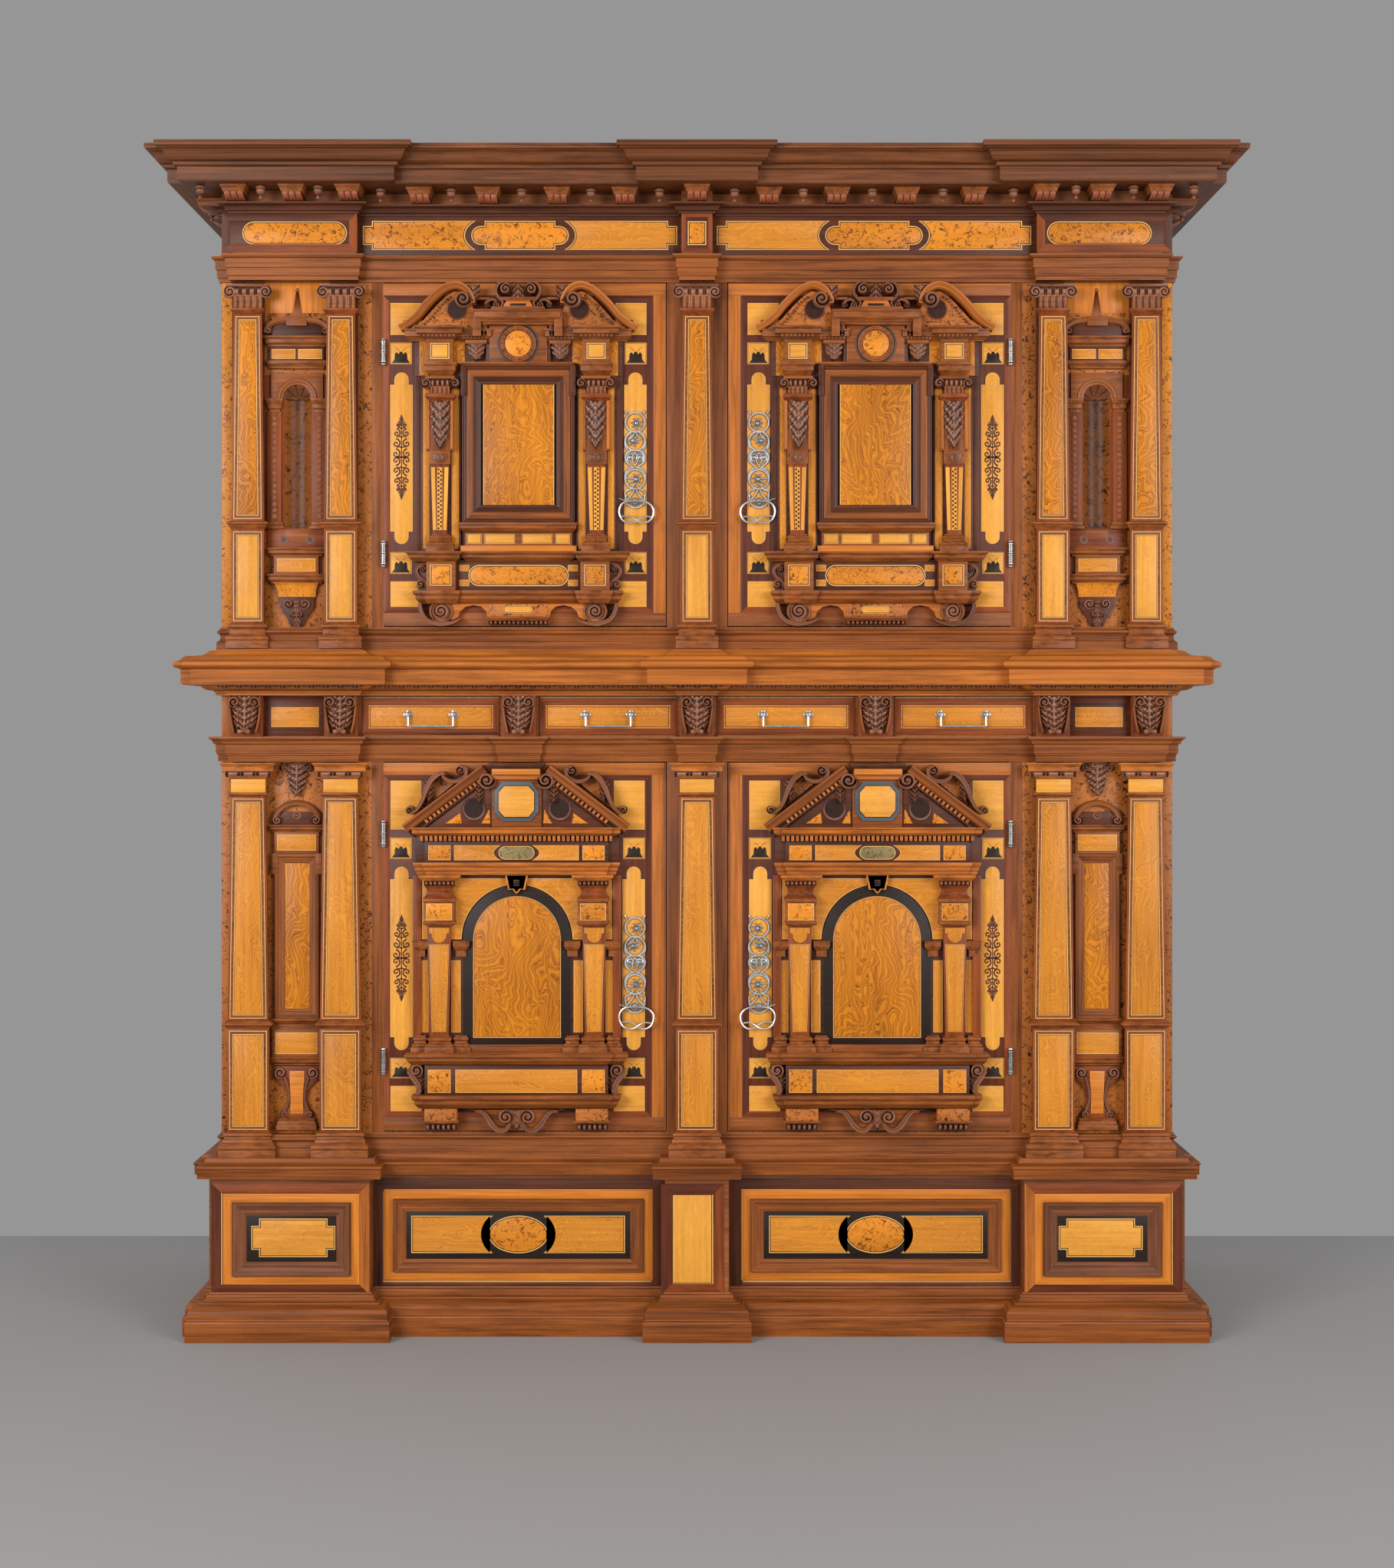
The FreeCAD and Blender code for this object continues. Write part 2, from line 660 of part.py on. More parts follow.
UPPER_NICHE_SHARES = [
    # shelf cornice, block, upper shelf, foot
    (0, 1.0, 0.135, 0.162, 1.0),
    (0, 0.85, 0.166, 0.215, 0.75), (0, 0.95, 0.218, 0.241, 1.0), (0, 0.68, 0.245, 0.28, 0.6),
    # jambs and imposts
    (0.52, 0.7, 0.28, 0.655, 0.35), (0.5, 0.78, 0.655, 0.69, 0.5),
    # string, frieze, cornice
    (0, 0.9, 0.785, 0.81, 0.5), (0, 0.82, 0.81, 0.855, 0.4), (0, 1.0, 0.855, 0.88, 1.0),
]
BRACKET_SHARES = [(-0.2, 0), (0.2, 0), (0.55, 0.06), (0.55, 0.085), (-0.55, 0.085),
                  (-0.55, 0.06)]
COVE_SHARES = [(-0.55, 0.088), (0.55, 0.088), (0.85, 0.133), (-0.85, 0.133)]
OBELISK_SHARES = [(-0.2, 0.881), (0.2, 0.881), (0.2, 0.91), (0.05, 0.99), (-0.05, 0.99),
                  (-0.2, 0.91)]
NICHE_SCROLL_SHARES = [(1.0, 0.881), (1.0, 0.905), (0.8, 0.93), (0.5, 0.945), (0.3, 0.94),
                       (0.3, 0.915), (0.62, 0.91), (0.7, 0.881)]
LOWER_NICHE_SHARES = [
    (0, 0.6, 0.03, 0.055, 0.75), (0, 1.0, 0.177, 0.2, 1.0),
    (0, 0.8, 0.202, 0.27, 0.7), (0, 0.85, 0.274, 0.298, 0.9),
    (0, 0.85, 0.74, 0.79, 0.5), (0, 0.98, 0.792, 0.81, 1.0), (0, 0.4, 0.88, 0.97, 0.7),
]
LOWER_FRAME_SHARES = [(-0.85, 0.3), (0.85, 0.3), (0.85, 0.67), (1, 0.67), (1, 0.735), (-1, 0.735),
                      (-1, 0.67), (-0.85, 0.67)]
LOWER_PANEL_SHARES = [(-0.45, 0.325), (0.45, 0.325), (0.45, 0.705), (-0.45, 0.705)]
CARTOUCHE_SHARES = [(-0.5, 0.057), (0.5, 0.057), (0.38, 0.1), (0.75, 0.125), (0.95, 0.16),
                    (0.9, 0.175), (-0.9, 0.175), (-0.95, 0.16), (-0.75, 0.125), (-0.38, 0.1)]
ROUND_HEAD_SHARES = [(-0.92, 0.812), (0.92, 0.812), (0.9, 0.835), (0.6, 0.862), (0.2, 0.872),
                     (-0.2, 0.872), (-0.6, 0.862), (-0.9, 0.835)]
SPANDREL_SHARES = [(-0.85, 0.69), (-0.47, 0.69), (0, 0.75, -0.47), (0.47, 0.69, -0.47),
                   (0.85, 0.69), (0.85, 0.785), (-0.85, 0.785)]


def niches():
    high = upper_head - upper_sill
    pieces = blocks("upper_niche", UPPER_NICHE_SHARES, -niche_axis, upper_sill, S.niche_half,
                    high, S.niche_out)
    pieces.append(outline_whole("spandrel", SPANDREL_SHARES, -niche_axis, upper_sill,
                                S.niche_half, high, (out(S.spandrel_out), face)))
    for name, shares in (("niche_bracket", BRACKET_SHARES), ("niche_cove", COVE_SHARES),
                         ("obelisk", OBELISK_SHARES)):
        pieces.append(outline_whole(name, shares, -niche_axis, upper_sill, S.niche_half, high,
                                    (out(S.ornament_out), face)))
    pieces += outline_pair("niche_scroll", NICHE_SCROLL_SHARES, -niche_axis, upper_sill,
                           S.niche_half, high, (out(S.ornament_out), face))
    node("upper_niches", both(pieces))
    high = lower_head - lower_sill
    pieces = blocks("lower_niche", LOWER_NICHE_SHARES, -niche_axis, lower_sill, S.lower_niche_half,
                    high, S.niche_out)
    frame = outline_whole("eared_frame", LOWER_FRAME_SHARES, -niche_axis, lower_sill,
                          S.lower_niche_half, high, (out(S.eared_out), face))
    hole = outline_whole("eared_hole", LOWER_PANEL_SHARES, -niche_axis, lower_sill,
                         S.lower_niche_half, high, (out(S.niche_out), out(S.eared_floor)))
    pieces.append(cut("eared_panel", frame, hole))
    for name, shares in (("round_head", ROUND_HEAD_SHARES), ("cartouche", CARTOUCHE_SHARES)):
        pieces.append(outline_whole(name, shares, -niche_axis, lower_sill, S.lower_niche_half,
                                    high, (out(S.ornament_out), face)))
    node("lower_niches", both(pieces))


# Drawer frieze

def drawer_spans():
    """Left and right edge of the outer and the inner drawer opening on the left side."""
    clear = S.console_wide / 2 + S.console_gap
    return (clear - inner_axis, -console_axis - clear), (clear - console_axis, -clear)


def frieze():
    inner = S.body_half - S.board
    outer_span, inner_span = drawer_spans()
    floor = (lower_head + S.girt_high - S.thin_board, frieze_foot)
    ceiling = (frieze_head, frieze_head + S.thin_board)
    deep = (face, inside_back)
    pieces = [
        box("rack_floor", (-inner, inner), deep, floor),
        box("rack_ceiling", (-inner, inner), deep, ceiling),
        box("rack_back", (-inner, inner), (inside_back, back), (floor[0], upper_foot)),
        box("rack_middle", (inner_span[1], -inner_span[1]), deep, (frieze_foot, frieze_head)),
    ]
    side = box("rack_side", (-S.body_half, -inner), (face, back), (floor[0], upper_foot))
    between = box("rack_divider", (outer_span[1], inner_span[0]), deep,
                  (frieze_foot, frieze_head))
    pier = box("rack_pier", (-inner, outer_span[0]), deep, (frieze_foot, frieze_head))
    pieces += both([side, between, pier])
    fill = box("waist_core", (-inner, inner), (face, face + S.board), (ceiling[1], upper_foot))
    rear = box("waist_rear", (-inner, inner), (inside_back - S.board, inside_back),
               (ceiling[1], upper_foot))
    node("drawer_rack", pieces + [fill, rear])
    node("girt_moulding", moulding("girt", case_plan, GIRT_SHARES, S.girt_out, lower_head,
                                   S.girt_high))
    node("waist_cornice", moulding("waist", case_plan, WAIST_SHARES, S.waist_out, frieze_head,
                                   S.waist_high))
    consoles()


CONSOLE_SHARES = [(0, 0), (0.2, 0), *bend((0.25, 0.03), (0.3, 0.42), 0.4, 4),
                  *bend((0.34, 0.46), (0.92, 0.78), -0.22, 4), (1, 0.86), (1, 1), (0, 1)]


def console_at(axis):
    """A scrolled console that fills the height of the frieze."""
    points = [(S.console_out * u - face, frieze_foot + S.frieze_high * v)
              for u, v in CONSOLE_SHARES]
    half = S.console_wide / 2
    return side_prism("console", points, (axis - half, axis + half))


def consoles():
    pieces = []
    for axis in (pilaster_axis, inner_axis, console_axis):
        pieces += both([console_at(-axis)])
    pieces.append(console_at(ZERO))
    half = (pilaster_axis - inner_axis - S.console_wide) / 2 - S.tablet_gap
    middle = -(pilaster_axis + inner_axis) / 2
    tablet = box("frieze_tablet", (middle - half, middle + half),
                 (out(S.panel_field), face),
                 (frieze_foot + S.panel_lift, frieze_head - S.panel_lift))
    node("frieze_consoles", pieces + both([tablet]))


def drawers():
    names_of_drawers = ("outer", "inner")
    for side in (-1, 1):
        for which, span in zip(names_of_drawers, drawer_spans()):
            hand = "left" if side < 0 else "right"
            drawer(f"{which}_{hand}", side, span)


# The flats of a twelve-sided bore lie at this share of the radius of its corners
BORE_SHARE = math.cos(math.pi / 12)


def drawer(name, side, span):
    """A dovetailed drawer, its two posts and the bail that hangs in them."""
    play = S.drawer_play
    axis = (span[0] + span[1]) / 2 * -side
    half = (span[1] - span[0]) / 2 - play
    low, high = frieze_foot + S.drawer_lift, frieze_head - play
    y_back = face + drawer_deep
    front = (face, face + S.front_thick)
    wall_head = high - S.tray_thick
    pieces = [
        box("drawer_front", (axis - half, axis + half), front, (low, high)),
        box("drawer_tray", (axis - half, axis + half), (front[1], y_back),
            (low, low + S.tray_thick)),
        box("drawer_left", (axis - half, axis - half + S.side_thick), (front[1], y_back),
            (low + S.tray_thick, wall_head)),
        box("drawer_right", (axis + half - S.side_thick, axis + half), (front[1], y_back),
            (low + S.tray_thick, wall_head)),
        box("drawer_rear", (axis - half + S.side_thick, axis + half - S.side_thick),
            (y_back - S.side_thick, y_back), (low + S.tray_thick, wall_head)),
    ]
    node("drawer_" + name, pieces)

    z = (low + high) / 2 + S.post_round
    posts = []
    for end in (-1, 1):
        x = axis + S.pull_span / 2 * end
        rosette = many_sided("rosette", 8, S.rosette_round, S.rosette_thick, (x, face, z),
                             TO_FRONT)
        post = box("pull_post", (x - S.post_round, x + S.post_round), (out(S.post_out), face),
                   (z - S.post_round, z + S.post_round))
        bore = many_sided("pull_bore", 12, (S.bail_pin + S.bail_play) / BORE_SHARE,
                          S.post_round * 4,
                          (x - S.post_round * 2, out(S.post_out - S.post_round), z), ALONG_X)
        posts.append(cut("pull", fuse("pull_blank", rosette, post), bore))
    node("pulls_" + name, posts)

    y = out(S.post_out - S.post_round)
    start = S.pull_span / 2 - S.post_round - S.bail_wire - S.eye_gap
    wire = S.bail_wire
    bottom = z - S.bail_drop
    shoulder = start - S.bail_draw
    bow = prism("bail_bow", [
        (axis - start - wire, z + wire), (axis - start - wire, z - wire),
        (axis - shoulder, bottom - wire), (axis + shoulder, bottom - wire),
        (axis + start + wire, z - wire), (axis + start + wire, z + wire),
        (axis + start - wire, z + wire), (axis + shoulder - wire, bottom + wire),
        (axis - shoulder + wire, bottom + wire), (axis - start + wire, z + wire)],
        (y - wire, y + wire))
    length = S.post_round * 2 + wire + S.eye_gap
    pieces = [bow]
    for x in (axis + start, axis - start - length):
        pieces.append(many_sided("bail_pin", 12, S.bail_pin, length, (x, y, z), ALONG_X))
    node("bail_" + name, [fuse("bail_loop", *pieces)])


# Doors

def mirror_if(side, pieces):
    return [twin(piece) for piece in pieces] if side > 0 else pieces


def door(tier, side, sill, head, order, bolt_z):
    """A framed leaf with its panel, planted order, irons and ring; modelled on the left."""
    hand = "left" if side < 0 else "right"
    name = f"{tier}_{hand}"
    gap = S.door_gap
    left, right = gap - opening_half, -S.centre_half - gap
    low, high = sill + gap, head - gap
    x_in = (left + S.stile_narrow, right - S.stile_wide)
    z_in = (low + S.rail_wide, high - S.rail_wide)
    y = (face, face + S.door_thick)
    members = [
        prism("hinge_stile", [(left, low), (x_in[0], z_in[0]), (x_in[0], z_in[1]), (left, high)],
              y),
        prism("top_rail", [(left, high), (x_in[0], z_in[1]), (x_in[1], z_in[1]), (right, high)],
              y),
        prism("bottom_rail", [(left, low), (right, low), (x_in[1], z_in[0]),
                              (x_in[0], z_in[0])], y),
    ]
    lock_stile = prism("lock_stile", [(right, low), (right, high), (x_in[1], z_in[1]),
                                      (x_in[1], z_in[0])], y)
    locked = side > 0
    if locked:
        pocket = bolt_box("bolt_pocket", S.bolt_play, bolt_z)
        lock_stile = cut("lock_stile_cut", lock_stile, pocket)
    members.append(lock_stile)
    node(f"door_{name}_frame", mirror_if(side, members))
    panel = box("door_panel", x_in, (face, face + S.panel_thick), z_in)
    if locked:
        slot = bolt_box("panel_pocket", S.bolt_play, bolt_z)
        panel = cut("door_panel_cut", panel, slot)
    node(f"door_{name}_panel", mirror_if(side, [panel]))
    node(f"door_{name}_order", mirror_if(side, order))
    if locked:
        bolt = bolt_box("bolt", ZERO, bolt_z)
        node(f"bolt_{name}", mirror_if(side, [bolt]))
    plate_z = sill + S.plate_lift
    irons(name, side, low, high, plate_z, plate_z + S.ring_rise)


def bolt_box(name, play, bolt_z):
    """The bolt, or with some play round it the pocket that it slides in."""
    right = -S.centre_half - S.door_gap - S.bolt_play + play
    middle = face + S.door_thick / 2
    return box(name, (right - S.bolt_long - play * 2, right),
               (middle - S.bolt_thick / 2 - play, middle + S.bolt_thick / 2 + play),
               (bolt_z - play, bolt_z + S.bolt_high + play))


def knuckle(name, foot, end, axis):
    """An eight-sided knuckle from a height up, with a finial over (1) or under (-1) it."""
    barrel = many_sided(name, 8, S.knuckle_round, S.knuckle_high, (*axis, foot))
    high = S.finial_round * 2
    finial_foot = foot + S.knuckle_high if end > 0 else foot - high
    finial = many_sided(name + "_finial", 8, S.finial_round, high, (*axis, finial_foot))
    return fuse(name + "_blank", barrel, finial)


def hinge_heights(low, high):
    return low + S.hinge_inset, high - S.hinge_inset - S.knuckle_high * 2


PLATE_SHARES = [(-0.5, 0), (0.5, 0), (1, 0.2), (0.6, 0.5), (1, 0.8), (0.3, 1), (-0.3, 1),
                (-1, 0.8), (-0.6, 0.5), (-1, 0.2)]


def irons(name, side, low, high, plate_z, ring_z):
    """Upper knuckles, pierced plate with its eye, and the ring that hangs from the eye."""
    axis = (-opening_half, out(S.hinge_out))
    pieces = []
    for z in hinge_heights(low, high):
        foot = z + S.knuckle_high + S.knuckle_gap
        barrel = knuckle("door_barrel", foot, 1, axis)
        leaf = box("door_hinge_leaf", (axis[0] + S.door_gap, axis[0] + S.leaf_wide),
                   (out(S.leaf_thick), face), (foot, foot + S.knuckle_high))
        neck = box("door_hinge_neck", (axis[0], axis[0] + S.knuckle_round),
                   (out(S.hinge_out), face), (foot, foot + S.knuckle_high))
        bore = many_sided("door_hinge_bore", 12, (S.pin_round + S.pin_play) / BORE_SHARE,
                          S.knuckle_high - S.finial_round, (*axis, foot))
        pieces.append(cut("door_hinge", fuse("door_hinge_blank", barrel, leaf, neck), bore))
    x = -plate_axis
    half = S.plate_wide / 2
    plate = prism("pull_plate", [(x + half * u, plate_z + S.plate_high * v)
                                 for u, v in PLATE_SHARES], (out(S.plate_thick), face))
    eye_y = out(S.eye_out)
    ears = []
    for end in (-1, 1):
        shift = (S.eye_wide / 2 + S.eye_gap + S.ear_wide / 2) * end
        ear = box("eye_ear", (x + shift - S.ear_wide / 2, x + shift + S.ear_wide / 2),
                  (eye_y - S.ear_half, face), (ring_z - S.ear_half, ring_z + S.ear_half))
        ears.append(ear)
    reach = S.eye_wide / 2 + S.eye_gap + S.ear_wide / 2
    pin = many_sided("eye_pin", 12, S.ring_pin, reach * 2, (x - reach, eye_y, ring_z), ALONG_X)
    pieces.append(fuse("pull_mount", plate, *ears, pin))
    node(f"door_{name}_irons", mirror_if(side, pieces))

    sleeve = many_sided("ring_sleeve", 8, S.eye_round, S.eye_wide,
                        (x - S.eye_wide / 2, eye_y, ring_z), ALONG_X)
    bore = many_sided("ring_bore", 12, (S.ring_pin + S.pin_play) / BORE_SHARE, S.eye_wide * 2,
                      (x - S.eye_wide, eye_y, ring_z), ALONG_X)
    centre = ring_z - S.eye_round - S.eye_gap - S.ring_wire - S.ring_round
    loops = [ring("ring_loop", S.ring_round, x, eye_y, centre)]
    for end in (-1, 1):
        side_x = x + (S.ring_round + S.bow_round) * end
        loops.append(ring("ring_bow", S.bow_round, side_x, eye_y, centre))
    neck = box("ring_neck", (x - S.eye_wide / 2, x + S.eye_wide / 2),
               (eye_y - S.ring_wire, eye_y + S.ring_wire),
               (ring_z - S.eye_round - S.eye_gap - S.ring_wire, ring_z))
    whole = fuse("ring_blank", sleeve, neck, *loops)
    node(f"door_{name}_ring", mirror_if(side, [cut("ring_handle", whole, bore)]))


def ring(name, radius, x, y, z):
    """A flat forged ring that hangs in the plane of the door."""
    start = (x, y + S.ring_wire, z)
    disc = many_sided(name, 8, radius + S.ring_wire, S.ring_wire * 2, start, TO_FRONT)
    hole = many_sided(name + "_hole", 8, radius - S.ring_wire, S.ring_wire * 2, start, TO_FRONT)
    return cut(name + "_band", disc, hole)


def hinge_seats():
    """Lower knuckles with the pins, fixed beside the openings."""
    pieces = []
    x, y = -opening_half, out(S.hinge_out)
    for sill, head in ((lower_sill, lower_head), (upper_sill, upper_head)):
        for z in hinge_heights(sill + S.door_gap, head - S.door_gap):
            barrel = knuckle("post_barrel", z, -1, (x, y))
            pin = many_sided("hinge_pin", 12, S.pin_round,
                             S.knuckle_high * 2 - S.finial_round - S.leaf_thick, (x, y, z))
            leaf = box("post_hinge_leaf", (x - S.leaf_wide, x), (out(S.leaf_thick), face),
                       (z, z + S.knuckle_high))
            neck = box("post_hinge_neck", (x - S.knuckle_round, x), (out(S.hinge_out), face),
                       (z, z + S.knuckle_high))
            pieces.append(fuse("post_hinge", barrel, pin, leaf, neck))
    node("hinge_seats", both(pieces))


UPPER_ORDER_SHARES = [
    # lower cornice, pedestals, the field between, base cornice
    (0, 0.92, 0.063, 0.094, 0.8), (0.53, 0.82, 0.096, 0.177, 0.7), (0, 0.53, 0.096, 0.177, 0.35),
    (0, 1.0, 0.177, 0.206, 0.9),
    # bases, consoles and caps of the two terms
    (0.57, 0.79, 0.206, 0.258, 0.6), (0.575, 0.833, 0.47, 0.65, 0.5),
    (0.514, 0.867, 0.655, 0.72, 0.65),
    # architrave, frieze blocks and cornice of the order
    (0.4, 0.87, 0.724, 0.765, 0.6), (0.58, 0.81, 0.767, 0.83, 0.6),
    (0.49, 0.99, 0.832, 0.87, 0.95),
    # middle of the frieze, the medallion panel, raised cornice and crest
    (0.27, 0.58, 0.767, 0.83, 0.3), (0, 0.39, 0.874, 0.917, 0.95),
    # scrolls beside the pedestals
    (0.83, 0.915, 0.097, 0.168, 0.4),
    # sill and band under the window
    (0, 0.53, 0.269, 0.294, 0.5), (0, 0.48, 0.226, 0.265, 0.3),
]
UPPER_SHAFT_SHARES = [(0.616, 0.262), (0.745, 0.262), (0.772, 0.457), (0.595, 0.457)]
SWAN_SHARES = [(1.04, 0.872), (0.6, 0.872), (0.56, 0.9), (0.53, 0.93), (0.47, 0.923),
               (0.4, 0.933), (0.38, 0.955), (0.41, 0.977), (0.47, 0.984), (0.55, 0.998),
               (0.63, 0.985), (0.72, 0.95), (0.84, 0.915), (1.04, 0.888)]
WINDOW_SHARES = [(-0.46, 0.294), (0.46, 0.294), (0.46, 0.673), (0.5, 0.673), (0.5, 0.72),
                 (-0.5, 0.72), (-0.5, 0.673), (-0.46, 0.673)]
PANE_SHARES = [(-0.37, 0.31), (0.37, 0.31), (0.37, 0.7), (-0.37, 0.7)]
CREST_SHARES = [(-0.26, 0.918), (0.26, 0.918), (0.28, 0.945), (0.2, 0.985), (0.08, 0.97),
                (-0.08, 0.97), (-0.2, 0.985), (-0.28, 0.945)]
APRON_SHARES = [(-0.84, 0.06), (-0.84, 0.025), (-0.76, 0), (-0.62, 0), (-0.5, 0.025), (-0.3, 0),
                (0.3, 0), (0.5, 0.025), (0.62, 0), (0.76, 0), (0.84, 0.025), (0.84, 0.06)]
# Radius of the boss over the half width, its height over that of the order, and the reach
# of the panel that it stands on
BOSS_SHARES = (0.17, 0.817, 0.4)
# How far parts of an order stand out, over the reach of its cornice
FRAME_REACH_SHARE, PANE_REACH_SHARE, TERM_REACH_SHARE, SCROLL_REACH_SHARE = 0.3, 0.08, 0.5, 0.8


def upper_order():
    foot = upper_sill + S.order_gap
    high = upper_head - S.order_gap - foot
    axis, half, reach = -door_axis, order_half, S.order_out
    frame_y = out(reach * FRAME_REACH_SHARE)
    scroll = (out(reach * SCROLL_REACH_SHARE), face)
    term = (out(reach * TERM_REACH_SHARE), face)
    frame = outline_whole("window_frame", WINDOW_SHARES, axis, foot, half, high,
                          (frame_y, face))
    pane = outline_whole("window_pane", PANE_SHARES, axis, foot, half, high,
                         (out(reach), out(reach * PANE_REACH_SHARE)))
    pieces = blocks("upper_order", UPPER_ORDER_SHARES, axis, foot, half, high,
                    reach)
    pieces += outline_pair("upper_term", UPPER_SHAFT_SHARES, axis, foot, half, high, term)
    pieces += outline_pair("swan_neck", SWAN_SHARES, axis, foot, half, high, scroll)
    pieces.append(outline_whole("crest", CREST_SHARES, axis, foot, half, high, term))
    pieces.append(outline_whole("upper_apron", APRON_SHARES, axis, foot, half, high, term))
    boss_round, boss_rise, boss_start = BOSS_SHARES
    pieces.append(many_sided("medallion_boss", 12, half * boss_round, S.boss_high,
                             (axis, out(reach * boss_start), foot + high * boss_rise),
                             TO_FRONT))
    pieces.append(cut("window", frame, pane))
    return pieces


LOWER_ORDER_SHARES = [
    # lower cornice, pedestal frieze and base shelf
    (0, 0.92, 0.056, 0.096, 0.8), (0, 0.81, 0.1, 0.173, 0.55), (0, 1.0, 0.177, 0.213, 0.9),
    # bases, blocks, necks and caps of the two terms
    (0.545, 0.84, 0.213, 0.255, 0.65), (0.544, 0.837, 0.562, 0.63, 0.65),
    (0.58, 0.8, 0.63, 0.666, 0.55), (0.503, 0.857, 0.668, 0.693, 0.7),
    # architrave, frieze, dentil band and cornice
    (0, 0.92, 0.695, 0.729, 0.7), (0, 0.81, 0.731, 0.785, 0.6), (0, 0.86, 0.789, 0.804, 0.75),
    (0, 0.94, 0.806, 0.828, 0.95),
    # pedestal in the broken gable, its cap and the imposts
    (0, 0.2, 0.83, 0.96, 0.3), (0, 0.235, 0.965, 1.0, 0.8), (0.48, 0.56, 0.474, 0.509, 0.45),
    # end blocks of the apron
    (0.524, 0.85, 0.0, 0.054, 0.6),
]
LOWER_APRON_SHARES = [(-0.52, 0.054), (-0.45, 0.03), (-0.25, 0.012), (-0.1, 0), (0.1, 0),
                      (0.25, 0.012), (0.45, 0.03), (0.52, 0.054)]
OCTAGON_SHARES = [(-0.12, 0.84), (0.12, 0.84), (0.19, 0.862), (0.19, 0.928), (0.12, 0.95),
                  (-0.12, 0.95), (-0.19, 0.928), (-0.19, 0.862)]
LOWER_SHAFT_SHARES = [(0.62, 0.259), (0.755, 0.259), (0.816, 0.557), (0.585, 0.557)]
GABLE_SHARES = [(1.0, 0.83), (0.3, 0.83), (0.33, 0.92), (0.25, 0.94), (0.25, 0.975),
                (0.33, 0.99), (0.42, 0.975), (1.0, 0.855)]
# Of the arch: half width of the ring, of the panel and of the keystone, then the heights of
# both feet, of the spring and of the architrave above
ARCH_WIDE_SHARES = (0.48, 0.39, 0.09)
ARCH_HIGH_SHARES = (0.215, 0.235, 0.516, 0.693)


QUARTER_SHARES = [(1, 0), (0.92, 0.39), (0.71, 0.71), (0.39, 0.92), (0, 1)]


def arched(name, axis, half, foot, spring, y):
    """A board with a half-round head in eight short chords."""
    right = [(axis + half * u, spring + half * v) for u, v in QUARTER_SHARES]
    left = [(axis - half * u, spring + half * v) for u, v in QUARTER_SHARES[-2::-1]]
    return prism(name, [(axis - half, foot), (axis + half, foot), *right, *left], y)


def lower_order():
    foot = lower_sill + S.order_gap
    high = lower_head - S.order_gap - foot
    axis, half, reach = -door_axis, order_half, S.order_out
    ring_half, pane_half, key_half = (half * share for share in ARCH_WIDE_SHARES)
    ring_foot, pane_foot, spring, key_head = (foot + high * share for share in ARCH_HIGH_SHARES)
    frame_y = out(reach * FRAME_REACH_SHARE)
    scroll = (out(reach * SCROLL_REACH_SHARE), face)
    term = (out(reach * TERM_REACH_SHARE), face)
    frame = arched("arch_ring", axis, ring_half, ring_foot, spring, (frame_y, face))
    field = arched("arch_field", axis, pane_half, pane_foot, spring,
                   (out(reach), out(reach * PANE_REACH_SHARE)))
    keystone = box("keystone", (axis - key_half, axis + key_half), term,
                   (spring + ring_half, key_head))
    pieces = blocks("lower_order", LOWER_ORDER_SHARES, axis, foot, half, high,
                    reach)
    pieces += outline_pair("lower_term", LOWER_SHAFT_SHARES, axis, foot, half, high, term)
    pieces += outline_pair("gable", GABLE_SHARES, axis, foot, half, high, scroll)
    pieces.append(outline_whole("lower_apron", LOWER_APRON_SHARES, axis, foot, half, high, term))
    pieces.append(outline_whole("octagon", OCTAGON_SHARES, axis, foot, half, high,
                                (term[0], frame_y)))
    return pieces + [cut("arch", frame, field), keystone]


# Crown

MODILLION_SHARES = [(0, 0), (0.4, 0), (0.55, 0.26), (0.82, 0.34), (0.98, 0.6), (1.05, 0.8),
                    (1.05, 1), (0, 1)]
# Each part of a drop: corner radius, then where it starts and ends below the corona
DROP_SHARES = [(1, 0, 0.25), (0.85, 0.25, 0.65), (0.4, 0.65, 1)]


def crown():
    inner = S.body_half - S.board
    boards = [
        box("crown_front", (-S.body_half, S.body_half), (face, face + S.board),
            (crown_foot, top - S.thin_board)),
        box("crown_rear", (-inner, inner), (back - S.board, back),
            (crown_foot, top - S.thin_board)),
        box("crown_top", (-S.body_half, S.body_half), (face, back), (top - S.thin_board, top)),
    ]
    side = box("crown_side", (-S.body_half, -inner), (face + S.board, back),
               (crown_foot, top - S.thin_board))
    node("crown_case", boards + both([side]) + breaks("frieze", crown_foot, bed_foot)
         + breaks("modillion", modillion_foot, corona_foot))
    node("lintel_moulding", moulding("lintel", case_plan, LINTEL_SHARES, S.lintel_out,
                                     upper_head, S.lintel_high))
    node("crown_cornice", moulding("crown", case_plan, CROWN_SHARES, S.crown_out, corona_foot,
                                   S.crown_high))
    node("bed_moulding", moulding("bed", case_plan, BED_SHARES, S.bed_out, bed_foot,
                                  S.bed_high))
    modillions_and_drops()


